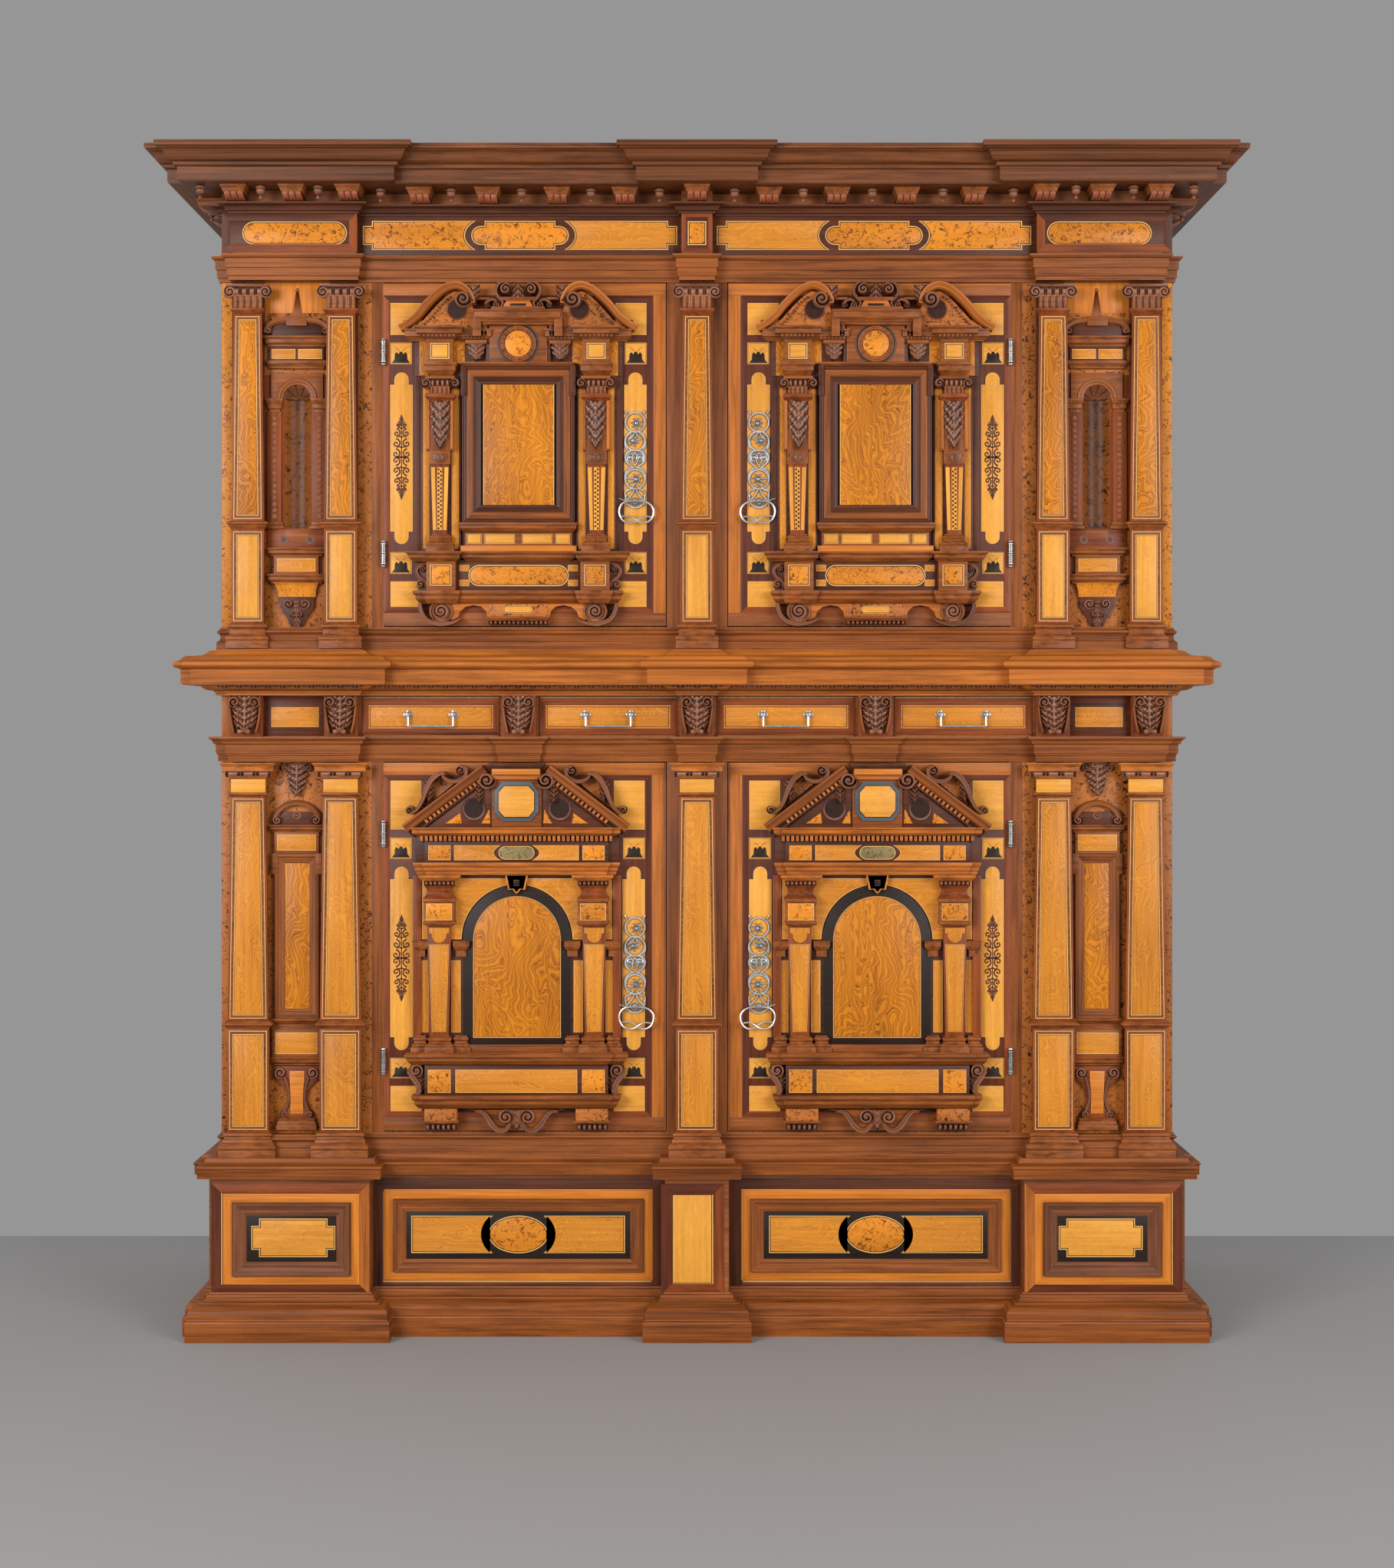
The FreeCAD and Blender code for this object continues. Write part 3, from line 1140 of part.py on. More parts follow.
def modillions_and_drops():
    """Scrolled brackets under the corona, with turned drops hanging between them."""
    points = [(S.modillion_out * u, modillion_foot + S.modillion_high * v)
              for u, v in MODILLION_SHARES]
    half = S.modillion_wide / 2
    bracket = side_prism("modillion", points, (-half, half))
    turnings = [many_sided("drop_part", 6, S.drop_round * wide, S.drop_high * (low - start),
                           (ZERO, ZERO, corona_foot - S.drop_high * low))
                for wide, start, low in DROP_SHARES]
    drop = fuse("drop", *turnings)
    bay = (S.body_half - S.step_in + bay_edge) / 2
    bay_pitch = (S.body_half - S.step_in - bay_edge - S.modillion_wide) / 2 + S.bracket_over
    door_pitch = (bay_edge - S.post_half - S.bracket_inset * 2) / 3
    side_pitch = (S.case_deep - S.side_end) / 5
    crown_axis = (bay_edge + S.post_half) / 2 - S.crown_shift
    brackets, drops = [], []
    fore = out(S.step_out)
    brackets.append(copy(bracket, ZERO, fore))
    for side in (-1, 1):
        for i in (-1, 0, 1):
            brackets.append(copy(bracket, (bay + bay_pitch * i) * side, fore))
        for i in (-0.5, 0.5, 1.5):
            drops.append(copy(drop, (bay + bay_pitch * i) * side, fore - S.drop_out))
        for i in (-1.5, -0.5, 0.5, 1.5):
            brackets.append(copy(bracket, (crown_axis + door_pitch * i) * side, face))
        for i in (-2, -1, 0, 1, 2):
            x = (crown_axis + door_pitch * i) * side
            drops.append(copy(drop, x, out(S.drop_out)))
        outward = FreeCAD.Rotation(FreeCAD.Vector(0, 0, 1), 90 * side)
        for i in (0.5, 1.5, 2.5, 3.5, 4.5):
            y = face + side_pitch * i
            brackets.append(copy(bracket, S.body_half * side, y, ZERO, outward))
        for i in (1, 2, 3, 4):
            x = (S.body_half + S.drop_out) * side
            drops.append(copy(drop, x, face + side_pitch * i))
    node("modillions", brackets)
    node("crown_drops", drops)


# Foot and spring of the niche in the upper fronts, as shares of the opening
WELL_SHARES = (0.28, 0.69)


def build():
    plinth()
    case("lower", lower_foot, lower_sill, lower_head, lower_head + S.girt_high - S.thin_board)
    case("upper", upper_foot, upper_sill, upper_head, crown_foot)
    lower_bolt = (lower_sill + lower_head) / 2
    upper_bolt = (upper_sill + upper_head) / 2
    fronts("lower", lower_sill, lower_head, None, None, lower_bolt)
    niche_foot, niche_spring = (upper_sill + S.upper_opening * share for share in WELL_SHARES)
    fronts("upper", upper_sill, upper_head, niche_foot, niche_spring, upper_bolt)
    pilasters("lower", lower_foot, lower_sill, lower_head, S.lower_wide, S.lower_foot_wide,
              S.lower_pedestal, S.lower_capital, S.lower_neck)
    pilasters("upper", upper_foot, upper_sill, upper_head, S.upper_wide, S.upper_foot_wide,
              S.upper_pedestal, S.upper_capital, S.upper_neck)
    niches()
    frieze()
    drawers()
    crown()
    hinge_seats()
    for side in (-1, 1):
        door("lower", side, lower_sill, lower_head, lower_order(), lower_bolt)
        door("upper", side, upper_sill, upper_head, upper_order(), upper_bolt)


def check_and_write():
    doc.recompute()
    for item in doc.Objects:
        if "Invalid" in item.State or "Error" in item.State:
            raise RuntimeError(f"{item.Name} could not be made: {item.State}")
    os.makedirs("parts", exist_ok=True)
    for item in nodes:
        shape = item.Shape
        if shape.isNull() or not shape.isValid():
            raise RuntimeError(f"{item.Label} is not a valid shape")
    for item in nodes:
        item.Shape.exportStep(f"parts/{item.Label}.step")
    facets = sum(len(item.Shape.tessellate(1)[1]) for item in nodes)
    print(f"{len(nodes)} nodes, about {facets} facets")


build()
check_and_write()
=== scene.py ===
# %% [markdown]
# # Dressing a two-tiered walnut cabinet
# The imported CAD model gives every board, door and drawer its place, and the bodies that move.
# It could be rendered as it is, but its mouldings are plain and its carving is only blocked
# out. So most cells below work out a surface with numpy, in metres and in the CAD's own
# frame, and let it ride on a CAD body in place of the plain solid.

# %% Load the frame
import math
import bpy
import numpy as np
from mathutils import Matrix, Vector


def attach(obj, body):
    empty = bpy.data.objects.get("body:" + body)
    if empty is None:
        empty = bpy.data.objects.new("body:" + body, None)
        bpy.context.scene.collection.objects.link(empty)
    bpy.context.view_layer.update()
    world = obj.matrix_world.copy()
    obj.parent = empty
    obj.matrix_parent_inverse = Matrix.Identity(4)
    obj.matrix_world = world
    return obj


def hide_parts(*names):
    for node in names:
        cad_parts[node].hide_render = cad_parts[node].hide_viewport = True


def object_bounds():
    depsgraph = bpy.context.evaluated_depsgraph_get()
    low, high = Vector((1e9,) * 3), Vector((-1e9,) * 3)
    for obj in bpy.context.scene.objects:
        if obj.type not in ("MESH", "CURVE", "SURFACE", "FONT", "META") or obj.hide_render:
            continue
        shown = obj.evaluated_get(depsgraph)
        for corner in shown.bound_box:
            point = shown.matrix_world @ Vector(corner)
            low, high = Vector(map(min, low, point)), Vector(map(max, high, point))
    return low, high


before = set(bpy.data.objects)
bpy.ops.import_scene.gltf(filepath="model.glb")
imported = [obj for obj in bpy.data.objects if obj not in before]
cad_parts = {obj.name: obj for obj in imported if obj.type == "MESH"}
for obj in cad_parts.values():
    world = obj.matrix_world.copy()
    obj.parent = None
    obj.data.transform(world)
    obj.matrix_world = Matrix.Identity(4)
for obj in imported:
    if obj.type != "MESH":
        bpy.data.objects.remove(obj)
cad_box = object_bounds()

# %% [markdown]
# ## Camera, floor and light
# The photograph was taken square on, from 4.4 m in front of the doors and 1.2 m up. One
# way to match it would be to nudge the camera until the edges meet; reading the vanishing
# point and one known width gives it at once. The lens is shifted down, not tilted, so that
# uprights stay upright.

# %% Camera
MM = 0.001
FACE = -0.225            # depth of the front of the case
DISTANCE = 4400          # from the lens to that front, in millimetres
EYE_HIGH = 1200
PER_MM = 0.65            # pixels of the photograph to a millimetre of the front
MIDDLE, HORIZON = 908.5, 955
PICTURE_HIGH = 2044      # pixels
SENSOR = 36              # millimetres, Blender's default

camera = bpy.data.objects.new("camera", bpy.data.cameras.new("camera"))
bpy.context.collection.objects.link(camera)
camera.location = (0, FACE - DISTANCE * MM, EYE_HIGH * MM)
camera.rotation_euler = (math.radians(90), 0, 0)
camera.data.lens = PER_MM * DISTANCE / PICTURE_HIGH * SENSOR
camera.data.shift_y = (HORIZON - PICTURE_HIGH / 2) / PICTURE_HIGH
bpy.context.scene.camera = camera
bpy.context.scene.view_settings.view_transform = "Standard"
print("lens", round(camera.data.lens, 1), "mm")


# %% Places read from the photograph
def across(pixel, proud=0.0):
    """x of a pixel column, for a point proud of the case front by so many millimetres."""
    return (pixel - MIDDLE) / PER_MM * (1 - proud / DISTANCE) * MM


def up(pixel, proud=0.0):
    """z of a pixel row, for a point proud of the case front by so many millimetres."""
    return (EYE_HIGH - (pixel - HORIZON) / PER_MM * (1 - proud / DISTANCE)) * MM


def fore(proud):
    """y of a point that stands proud of the case front."""
    return FACE - np.asarray(proud) * MM


# %% [markdown]
# The photograph has a plain grey background that meets a grey floor 0.83 m behind the doors.
# A real wall there would hide the cabinet in every view from behind, so the floor ends at
# that line, and what the camera and polished metal see past it is the world, as a flat grey.
# The light is soft: an even sky and two large lamps, one each side of the camera, which
# together give a matt board about the colour that it is painted.

# %% Floor, background and lamps
WALL_Y = FACE + 0.83
REACH = 9                # how far the floor goes to each side and to the front
paint = bpy.data.materials.new("floor_paint")
paint.use_nodes = True
for key, value in (("Base Color", (0.36, 0.350, 0.338, 1)), ("Roughness", 0.9),
                   ("Specular IOR Level", 0.2)):
    paint.node_tree.nodes["Principled BSDF"].inputs[key].default_value = value
mesh = bpy.data.meshes.new("studio_floor")
mesh.from_pydata([(-REACH, -REACH, 0), (REACH, -REACH, 0), (REACH, WALL_Y, 0),
                  (-REACH, WALL_Y, 0)], [], [(0, 1, 2, 3)])
mesh.materials.append(paint)
floor = bpy.data.objects.new("studio_floor", mesh)
bpy.context.collection.objects.link(floor)

world = bpy.data.worlds.new("even_sky")
bpy.context.scene.world = world
world.use_nodes = True
nodes, join = world.node_tree.nodes, world.node_tree.links.new
sky = nodes["Background"]
sky.inputs["Color"].default_value = (0.92, 0.95, 1.0, 1)
sky.inputs["Strength"].default_value = 0.50
backdrop = nodes.new("ShaderNodeBackground")
backdrop.inputs["Color"].default_value = (0.305, 0.305, 0.305, 1)
rays = nodes.new("ShaderNodeLightPath")
seen = rays.outputs["Is Camera Ray"]
for other in ("Is Glossy Ray", "Is Transmission Ray"):
    larger = nodes.new("ShaderNodeMath")
    larger.operation = "MAXIMUM"
    join(larger.inputs[0], seen)
    join(larger.inputs[1], rays.outputs[other])
    seen = larger.outputs[0]
choice = nodes.new("ShaderNodeMixShader")
for socket, source in zip(choice.inputs, (seen, sky.outputs[0], backdrop.outputs[0])):
    join(socket, source)
join(nodes["World Output"].inputs["Surface"], choice.outputs[0])

AIM = (0, FACE, 0.95)    # both lamps point at the heads of the lower doors
for name, place, watts in (("lamp_left", (-3.3, -4.6, 2.1), 190),
                           ("lamp_right", (3.4, -4.4, 2.0), 150)):
    light = bpy.data.lights.new(name, "AREA")
    light.energy, light.size = watts, 2.4
    lamp = bpy.data.objects.new(name, light)
    bpy.context.collection.objects.link(lamp)
    lamp.location = place
    aim = np.subtract(AIM, place)
    lamp.rotation_euler = (math.acos(-aim[2] / np.linalg.norm(aim)), 0,
                           math.atan2(aim[1], aim[0]) - math.pi / 2)

# %% [markdown]
# ## Finishes
# The real case is a sampler of woods: walnut for the architecture, curly ash and burl for
# the flat fields, pale maple tablets on plum-brown doors, ebonised grounds and thin strings.
# Photographs of veneer could be wrapped on, but they repeat and can't follow a mitre. Each
# wood here is a recipe of noise nodes that reads the piece's own UV map, in metres, with u
# along the grain, so a rail, a stile and a mitred moulding can share one recipe. A second
# map, the relief, says where a surface is carved deep or stands proud. The recipe darkens the
# deep parts as painted shade, and brightens what stands proud, part rubbed wear and part
# painted highlight.

# %% A recipe of nodes
class Recipe:
    """A material built step by step; each step returns the socket that it makes."""

    def __init__(self, name):
        self.material = bpy.data.materials.new(name)
        self.material.use_nodes = True
        self.tree = self.material.node_tree
        self.shader = self.tree.nodes["Principled BSDF"]

    def step(self, kind, inputs=(), output=0, **settings):
        node = self.tree.nodes.new(kind)
        for key, value in settings.items():
            setattr(node, key, value)
        for key, value in dict(inputs).items():
            self.give(node.inputs[key], value)
        return node.outputs[output]

    def give(self, socket, value):
        if isinstance(value, bpy.types.NodeSocket):
            self.tree.links.new(value, socket)
        else:
            socket.default_value = value

    def maths(self, operation, first, second=0.0, third=0.0):
        return self.step("ShaderNodeMath", {0: first, 1: second, 2: third},
                         operation=operation)

    def times(self, first, second):
        return self.maths("MULTIPLY", first, second)

    def plus(self, first, second):
        return self.maths("ADD", first, second)

    def noise(self, place, scale, detail, rough=0.55, distort=0.0):
        return self.step("ShaderNodeTexNoise",
                         {"Vector": place, "Scale": scale, "Detail": detail,
                          "Roughness": rough, "Distortion": distort})

    def stretch(self, place, scale):
        return self.step("ShaderNodeMapping", {"Vector": place, "Scale": scale})

    def ramp(self, factor, stops):
        socket = self.step("ShaderNodeValToRGB", {"Fac": factor})
        band = socket.node.color_ramp
        while len(band.elements) < len(stops):
            band.elements.new(0.5)
        for element, (where, colour) in zip(band.elements, stops):
            element.position = where
            element.color = (*colour, 1)
        return socket

    def tint(self, factor, first, colour):
        """A mix of a colour socket with one plain colour."""
        node = self.tree.nodes.new("ShaderNodeMix")
        node.data_type = "RGBA"
        for key, value in (("Factor", factor), ("A", first), ("B", (*colour, 1))):
            self.give(node.inputs[key], value)
        return node.outputs["Result"]

    def finish(self, colour, rough, bump):
        for key, value in (("Base Color", colour), ("Roughness", rough), ("Normal", bump)):
            self.give(self.shader.inputs[key], value)


# %% Wood
def grain_place(recipe, axis):
    """The UV map, or for a CAD board its Object place turned so that X runs with the grain."""
    if axis is None:
        return recipe.step("ShaderNodeTexCoord", output="UV")
    turn = {"x": (0, 0, 0), "y": (0, 0, math.pi / 2), "z": (0, math.pi / 2, 0)}[axis]
    place = recipe.step("ShaderNodeTexCoord", output="Object")
    return recipe.step("ShaderNodeMapping", {"Vector": place, "Rotation": turn})


def wood(name, deep, pale, streak, figure=0.0, burl=0.0, pores=0.35, rough=0.42,
         axis=None, bands=70.0, contrast=0.5):
    """Wood from two colours. Streaks are noise drawn out along u; figure is the sine of a
    band count plus noise, which gives the wavy lines of curly ash; burl adds dark eyes."""
    recipe = Recipe(name)
    times, plus = recipe.times, recipe.plus
    place = grain_place(recipe, axis)
    drift = recipe.noise(recipe.stretch(place, (3.0, 9.0, 9.0)), 1.0, 4.0)
    streaks = recipe.noise(recipe.stretch(place, (5.0, 130.0, 130.0)), 1.0, 5.0, 0.65, 0.4)
    tone = plus(times(streaks, streak), times(drift, 1 - streak))
    if figure:
        flow = recipe.noise(recipe.stretch(place, (7.0, 11.0, 11.0)), 1.0, 2.5, 0.5, 0.9)
        split = recipe.step("ShaderNodeSeparateXYZ", {0: place}, output="Y")
        ripple = recipe.noise(recipe.stretch(place, (60.0, 24.0, 24.0)), 1.0, 3.0, 0.6)
        phase = plus(times(split, bands), times(flow, bands * 0.24))
        phase = plus(phase, times(ripple, 0.9))
        wave = recipe.maths("SINE", times(phase, 2 * math.pi))
        lines = recipe.maths("POWER", recipe.maths("MULTIPLY_ADD", wave, 0.5, 0.5), 2.6)
        rings = recipe.maths("POWER", recipe.maths("FRACT", phase), 3.0)
        lines = plus(times(lines, 0.5), times(rings, 0.7))
        tone = recipe.maths("SUBTRACT", plus(tone, figure * 0.30), times(lines, figure))
    if burl:
        eyes = recipe.noise(place, 95.0, 6.0, 0.75, 1.2)
        specks = recipe.ramp(eyes, [(0.52, (0, 0, 0)), (0.66, (1, 1, 1))])
        clouds = recipe.noise(place, 22.0, 4.0, 0.7, 2.5)
        spread = times(specks, times(clouds, burl * 1.7))
        tone = recipe.maths("SUBTRACT", plus(tone, burl * 0.2), spread)
    middle = tuple(0.45 * a + 0.55 * b for a, b in zip(deep, pale))
    colour = recipe.ramp(tone, [(0.5 - contrast * 0.45, deep), (0.5, middle),
                                (0.5 + contrast * 0.4, pale)])
    pits = recipe.noise(recipe.stretch(place, (60.0, 1500.0, 1500.0)), 1.0, 2.0, 0.5)
    open_pores = recipe.ramp(pits, [(0.28, (1, 1, 1)), (0.42, (0, 0, 0))])
    colour = recipe.tint(times(open_pores, pores), colour, [0.35 * part for part in deep])
    # Painted light from the relief: where it is negative, in hollows and inside corners, the
    # colour is darkened as painted shade; where it is positive, on arrises and ridges, it is
    # brightened, part rubbed wear and part painted highlight, broken up by a noise.
    relief = recipe.step("ShaderNodeAttribute", output="Fac", attribute_name="relief")
    proud = recipe.maths("MAXIMUM", relief, 0.0)
    recess_shade = recipe.maths("MAXIMUM", times(relief, -1.0), 0.0)
    wear_and_sheen = recipe.noise(place, 55.0, 3.0, 0.6)
    colour = recipe.tint(times(proud, wear_and_sheen), colour,
                         [min(1.0, 1.25 * part + 0.11) for part in pale])
    colour = recipe.tint(times(recess_shade, 0.82), colour, [0.16 * part + 0.002 for part in deep])
    bump = recipe.step("ShaderNodeBump", {
        "Strength": 0.16, "Distance": 0.0006,
        "Height": recipe.maths("SUBTRACT", streaks, open_pores)})
    recipe.finish(colour, plus(times(streaks, 0.22), rough - 0.1), bump)
    recipe.shader.inputs["Specular IOR Level"].default_value = 0.26
    return recipe.material


# name, colour of the dark streaks, colour of the pale ones, share of streaks, and the rest
SPECIES = [
    ("walnut", (0.050, 0.010, 0.002), (0.40, 0.110, 0.018), 0.62, dict(contrast=0.46)),
    # The next is walnut darkened as painted shade, for the crown cornice, which the light reaches
    # less.
    ("walnut_shaded", (0.024, 0.006, 0.002), (0.25, 0.076, 0.020), 0.62, dict(contrast=0.46)),
    ("walnut_dark", (0.015, 0.005, 0.003), (0.15, 0.038, 0.012), 0.55, dict(contrast=0.45)),
    ("walnut_light", (0.14, 0.032, 0.005), (0.66, 0.195, 0.026), 0.6, dict(contrast=0.46)),
    ("walnut_red", (0.060, 0.011, 0.002), (0.36, 0.078, 0.013), 0.55, dict(contrast=0.42)),
    ("carved", (0.028, 0.008, 0.004), (0.30, 0.100, 0.040), 0.45, dict(rough=0.28, contrast=0.5)),
    ("ash", (0.20, 0.048, 0.003), (0.84, 0.285, 0.011), 0.35,
     dict(figure=0.62, bands=66.0, contrast=0.72, rough=0.38)),
    ("ash_fine", (0.34, 0.100, 0.009), (0.86, 0.33, 0.030), 0.5,
     dict(figure=0.4, bands=100.0, contrast=0.7, rough=0.4)),
    ("maple", (0.48, 0.160, 0.016), (0.96, 0.45, 0.064), 0.45,
     dict(figure=0.12, bands=30.0, pores=0.12, contrast=0.6, rough=0.38)),
    ("burl", (0.15, 0.036, 0.004), (0.80, 0.270, 0.018), 0.2,
     dict(burl=0.85, pores=0.1, contrast=0.7, rough=0.38)),
    ("burl_dark", (0.045, 0.010, 0.003), (0.55, 0.165, 0.026), 0.3,
     dict(burl=0.9, pores=0.2, contrast=0.66)),
    ("honey", (0.34, 0.085, 0.008), (0.82, 0.27, 0.030), 0.7,
     dict(pores=0.25, contrast=0.5, rough=0.38)),
    ("plum", (0.035, 0.006, 0.002), (0.17, 0.034, 0.008), 0.65, dict(contrast=0.5, rough=0.42)),
    ("ebonised", (0.006, 0.003, 0.002), (0.030, 0.015, 0.009), 0.5, dict(contrast=0.6)),
    ("blue_black", (0.016, 0.022, 0.030), (0.12, 0.155, 0.18), 0.3,
     dict(pores=0.1, contrast=0.5)),
    ("burl_green", (0.05, 0.045, 0.02), (0.36, 0.26, 0.10), 0.2, dict(burl=0.7, contrast=0.6)),
    ("string", (0.55, 0.27, 0.07), (0.90, 0.52, 0.16), 0.5, dict(pores=0.1, contrast=0.5)),
]
WOODS = {name: wood(name, deep, pale, streak, **rest)
         for name, deep, pale, streak, rest in SPECIES}
print(len(WOODS), "woods")

# %% [markdown]
# The irons are forged, filed and once tinned. Their colour follows the relief: brighter on
# ridges and on the front of rods as painted highlight, part tinned wear, and darker in the
# hollows and on the back of rods as painted shade. One metal recipe serves hinges, plates,
# rings and pulls. The unseen boards inside keep the CAD solids and take a plainer walnut that
# reads Object coordinates, because those meshes carry no UV map.

# %% Iron, and the boards that keep their CAD solids
def forged_iron(name):
    recipe = Recipe(name)
    place = recipe.step("ShaderNodeTexCoord", output="Object")
    mottle = recipe.noise(place, 130.0, 5.0, 0.7)
    grime = recipe.noise(place, 34.0, 3.0, 0.6)
    relief = recipe.step("ShaderNodeAttribute", output="Fac", attribute_name="relief")
    # shine is a real mottle plus the relief: painted highlight on ridges and the front of rods,
    # painted shade in hollows and on their backs.
    shine = recipe.plus(recipe.times(mottle, 0.5),
                        recipe.maths("MULTIPLY_ADD", relief, 0.35, 0.25))
    colour = recipe.ramp(shine, [(0.22, (0.05, 0.045, 0.042)), (0.5, (0.34, 0.33, 0.325)),
                                 (0.8, (0.72, 0.71, 0.70))])
    bump = recipe.step("ShaderNodeBump", {"Strength": 0.35, "Distance": 0.0008,
                                          "Height": mottle})
    recipe.finish(colour, recipe.maths("MULTIPLY_ADD", grime, 0.35, 0.2), bump)
    recipe.shader.inputs["Metallic"].default_value = 0.85
    return recipe.material


WOODS["iron"] = forged_iron("iron")
BOARDS = {axis: wood(f"board_{axis}", (0.060, 0.016, 0.005), (0.38, 0.120, 0.034), 0.6,
                     axis=axis, contrast=0.5) for axis in "xz"}
LINING = wood("drawer_lining", (0.12, 0.045, 0.015), (0.40, 0.190, 0.07), 0.6, axis="y",
              contrast=0.6)

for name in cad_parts:
    upright = name in ("upper_case", "lower_case") or name.startswith("door_")
    material = BOARDS["z" if upright else "x"]
    if name.startswith("drawer_") and name != "drawer_rack":
        material = LINING
    if name.startswith(("bolt_", "pulls_", "bail_", "hinge_")) or name.endswith(
            ("_irons", "_ring")):
        material = WOODS["iron"]
    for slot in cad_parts[name].material_slots:
        slot.material = material

# %% [markdown]
# ## The bench
# Three ways of making a solid cover nearly all the joinery, and each is one grid of points.
# A *stack* is a turned post with square sections: at every step of its profile there is a
# rectangle. A *course* carries a profile along a plan with mitred corners. A *tablet* is a
# board cut to an outline with a small bevel round its face. Cutting them with booleans would
# work too, but a grid keeps the arrises where they can be given a brightened edge, part rubbed
# wear and part painted highlight. All pieces of a group are collected and become one mesh.

# %% Collecting grids into a mesh
RNG = np.random.default_rng(11)


def grid_faces(rows, columns, close_rows=False, close_columns=False):
    """Four-sided faces between neighbours of a grid of points stored row by row."""
    row = np.arange(rows if close_rows else rows - 1)[:, None]
    column = np.arange(columns if close_columns else columns - 1)[None, :]
    below, beside = (row + 1) % rows, (column + 1) % columns
    corners = (row * columns + column, row * columns + beside,
               below * columns + beside, below * columns + column)
    return np.stack([corner.ravel() for corner in corners], axis=1)


def tube_faces(rows, sides):
    """The faces of a tube of so many rings, with one long face over each end."""
    ring = np.arange(sides)
    return [grid_faces(rows, sides, close_columns=True), ring, (rows - 1) * sides + ring]


def volume(points, faces):
    """Sum over the fans of every face of p0 . (p1 x p2) / 6: negative if turned inside out."""
    total = 0.0
    for face in faces:
        fan = points[np.atleast_2d(face)]
        for i in range(1, fan.shape[1] - 1):
            total += np.einsum("ij,ij->", fan[:, 0], np.cross(fan[:, i], fan[:, i + 1]))
    return total / 6


class Piece:
    """Closed surfaces, each with its finish, that end up as one object on one body."""

    def __init__(self, name):
        self.name = name
        self.surfaces = []

    def add(self, wood_name, points, faces, grain=None, relief=None):
        """faces is a list of arrays: rows of equal faces, or one long face by itself."""
        points = np.asarray(points, float).reshape(-1, 3)
        if volume(points, faces) < 0:
            faces = [np.atleast_2d(face)[:, ::-1] for face in faces]
        if grain is None:
            grain = points[:, [0, 2]]
        grain = np.asarray(grain, float).reshape(-1, 2)
        relief = np.zeros(len(points)) if relief is None else np.ravel(relief)
        self.surfaces.append((wood_name, points, faces, grain, relief))

    def twin(self, first=0, other=None):
        """Mirrors the surfaces from number first on across x = 0, here or into another."""
        for wood_name, points, faces, grain, relief in self.surfaces[first:]:
            (other or self).add(wood_name, points * [-1, 1, 1], faces, grain, relief)

    def fit_pair(self, body, node=None):
        """Fits this left piece, and then its mirror image on the body of the right."""
        right = Piece(self.name.replace("left", "right"))
        self.twin(other=right)
        self.fit(body, node)
        right.fit(body.replace("left", "right"), node and node.replace("left", "right"))

    def fit(self, body="root", replaces=None):
        """Makes the mesh and lets it ride on its body in place of a CAD node."""
        woods = list(dict.fromkeys(surface[0] for surface in self.surfaces))
        loops, counts, finish, maps, total = [], [], [], [], 0
        for wood_name, points, faces, grain, _ in self.surfaces:
            maps.append(grain + RNG.uniform(0, 9, 2))
            for face in faces:
                face = np.atleast_2d(face)
                loops.append((face + total).ravel())
                counts.append(np.full(len(face), face.shape[1]))
                finish.append(np.full(len(face), woods.index(wood_name)))
            total += len(points)
        points = np.concatenate([surface[1] for surface in self.surfaces])
        loops, counts = np.concatenate(loops), np.concatenate(counts)
        mesh = bpy.data.meshes.new(self.name)
        mesh.vertices.add(len(points))
        mesh.vertices.foreach_set("co", points.astype(np.float32).ravel())
        mesh.loops.add(len(loops))
        mesh.loops.foreach_set("vertex_index", loops.astype(np.int32))
        mesh.polygons.add(len(counts))
        mesh.polygons.foreach_set("loop_start", np.concatenate([[0], np.cumsum(counts)[:-1]]))
        for wood_name in woods:
            mesh.materials.append(WOODS[wood_name])
        mesh.polygons.foreach_set("material_index", np.concatenate(finish))
        mesh.update(calc_edges=True)
        uv_map = mesh.uv_layers.new(name="grain")
        uv_map.data.foreach_set("uv", np.concatenate(maps)[loops].ravel())
        relief = mesh.attributes.new("relief", "FLOAT", "POINT")
        relief.data.foreach_set("value", np.concatenate(
            [surface[4] for surface in self.surfaces]).astype(np.float32))
        mesh.polygons.foreach_set("use_smooth", np.ones(len(counts), bool))
        mesh.set_sharp_from_angle(angle=math.radians(32))
        made = bpy.data.objects.new(self.name, mesh)
        bpy.context.collection.objects.link(made)
        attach(made, body)
        if replaces:
            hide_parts(replaces)
        print(f"{self.name}: {int((counts - 2).sum())} triangles, from",
              points.min(0).round(3), "to", points.max(0).round(3))


# %% Profiles with arrises in rubbed wear and painted highlight
def curve(start, stop, bulge, steps):
    """Points of a shallow arc: the chord plus 4 b t (1 - t) times its length to one side.
    A positive bulge swells to the right of the way."""
    start, stop = np.array(start, float), np.array(stop, float)
    t = np.linspace(0, 1, steps + 1)[:, None]
    side = np.array([stop[1] - start[1], start[0] - stop[0]])
    return (start + (stop - start) * t + side * 4 * bulge * t * (1 - t)).tolist()


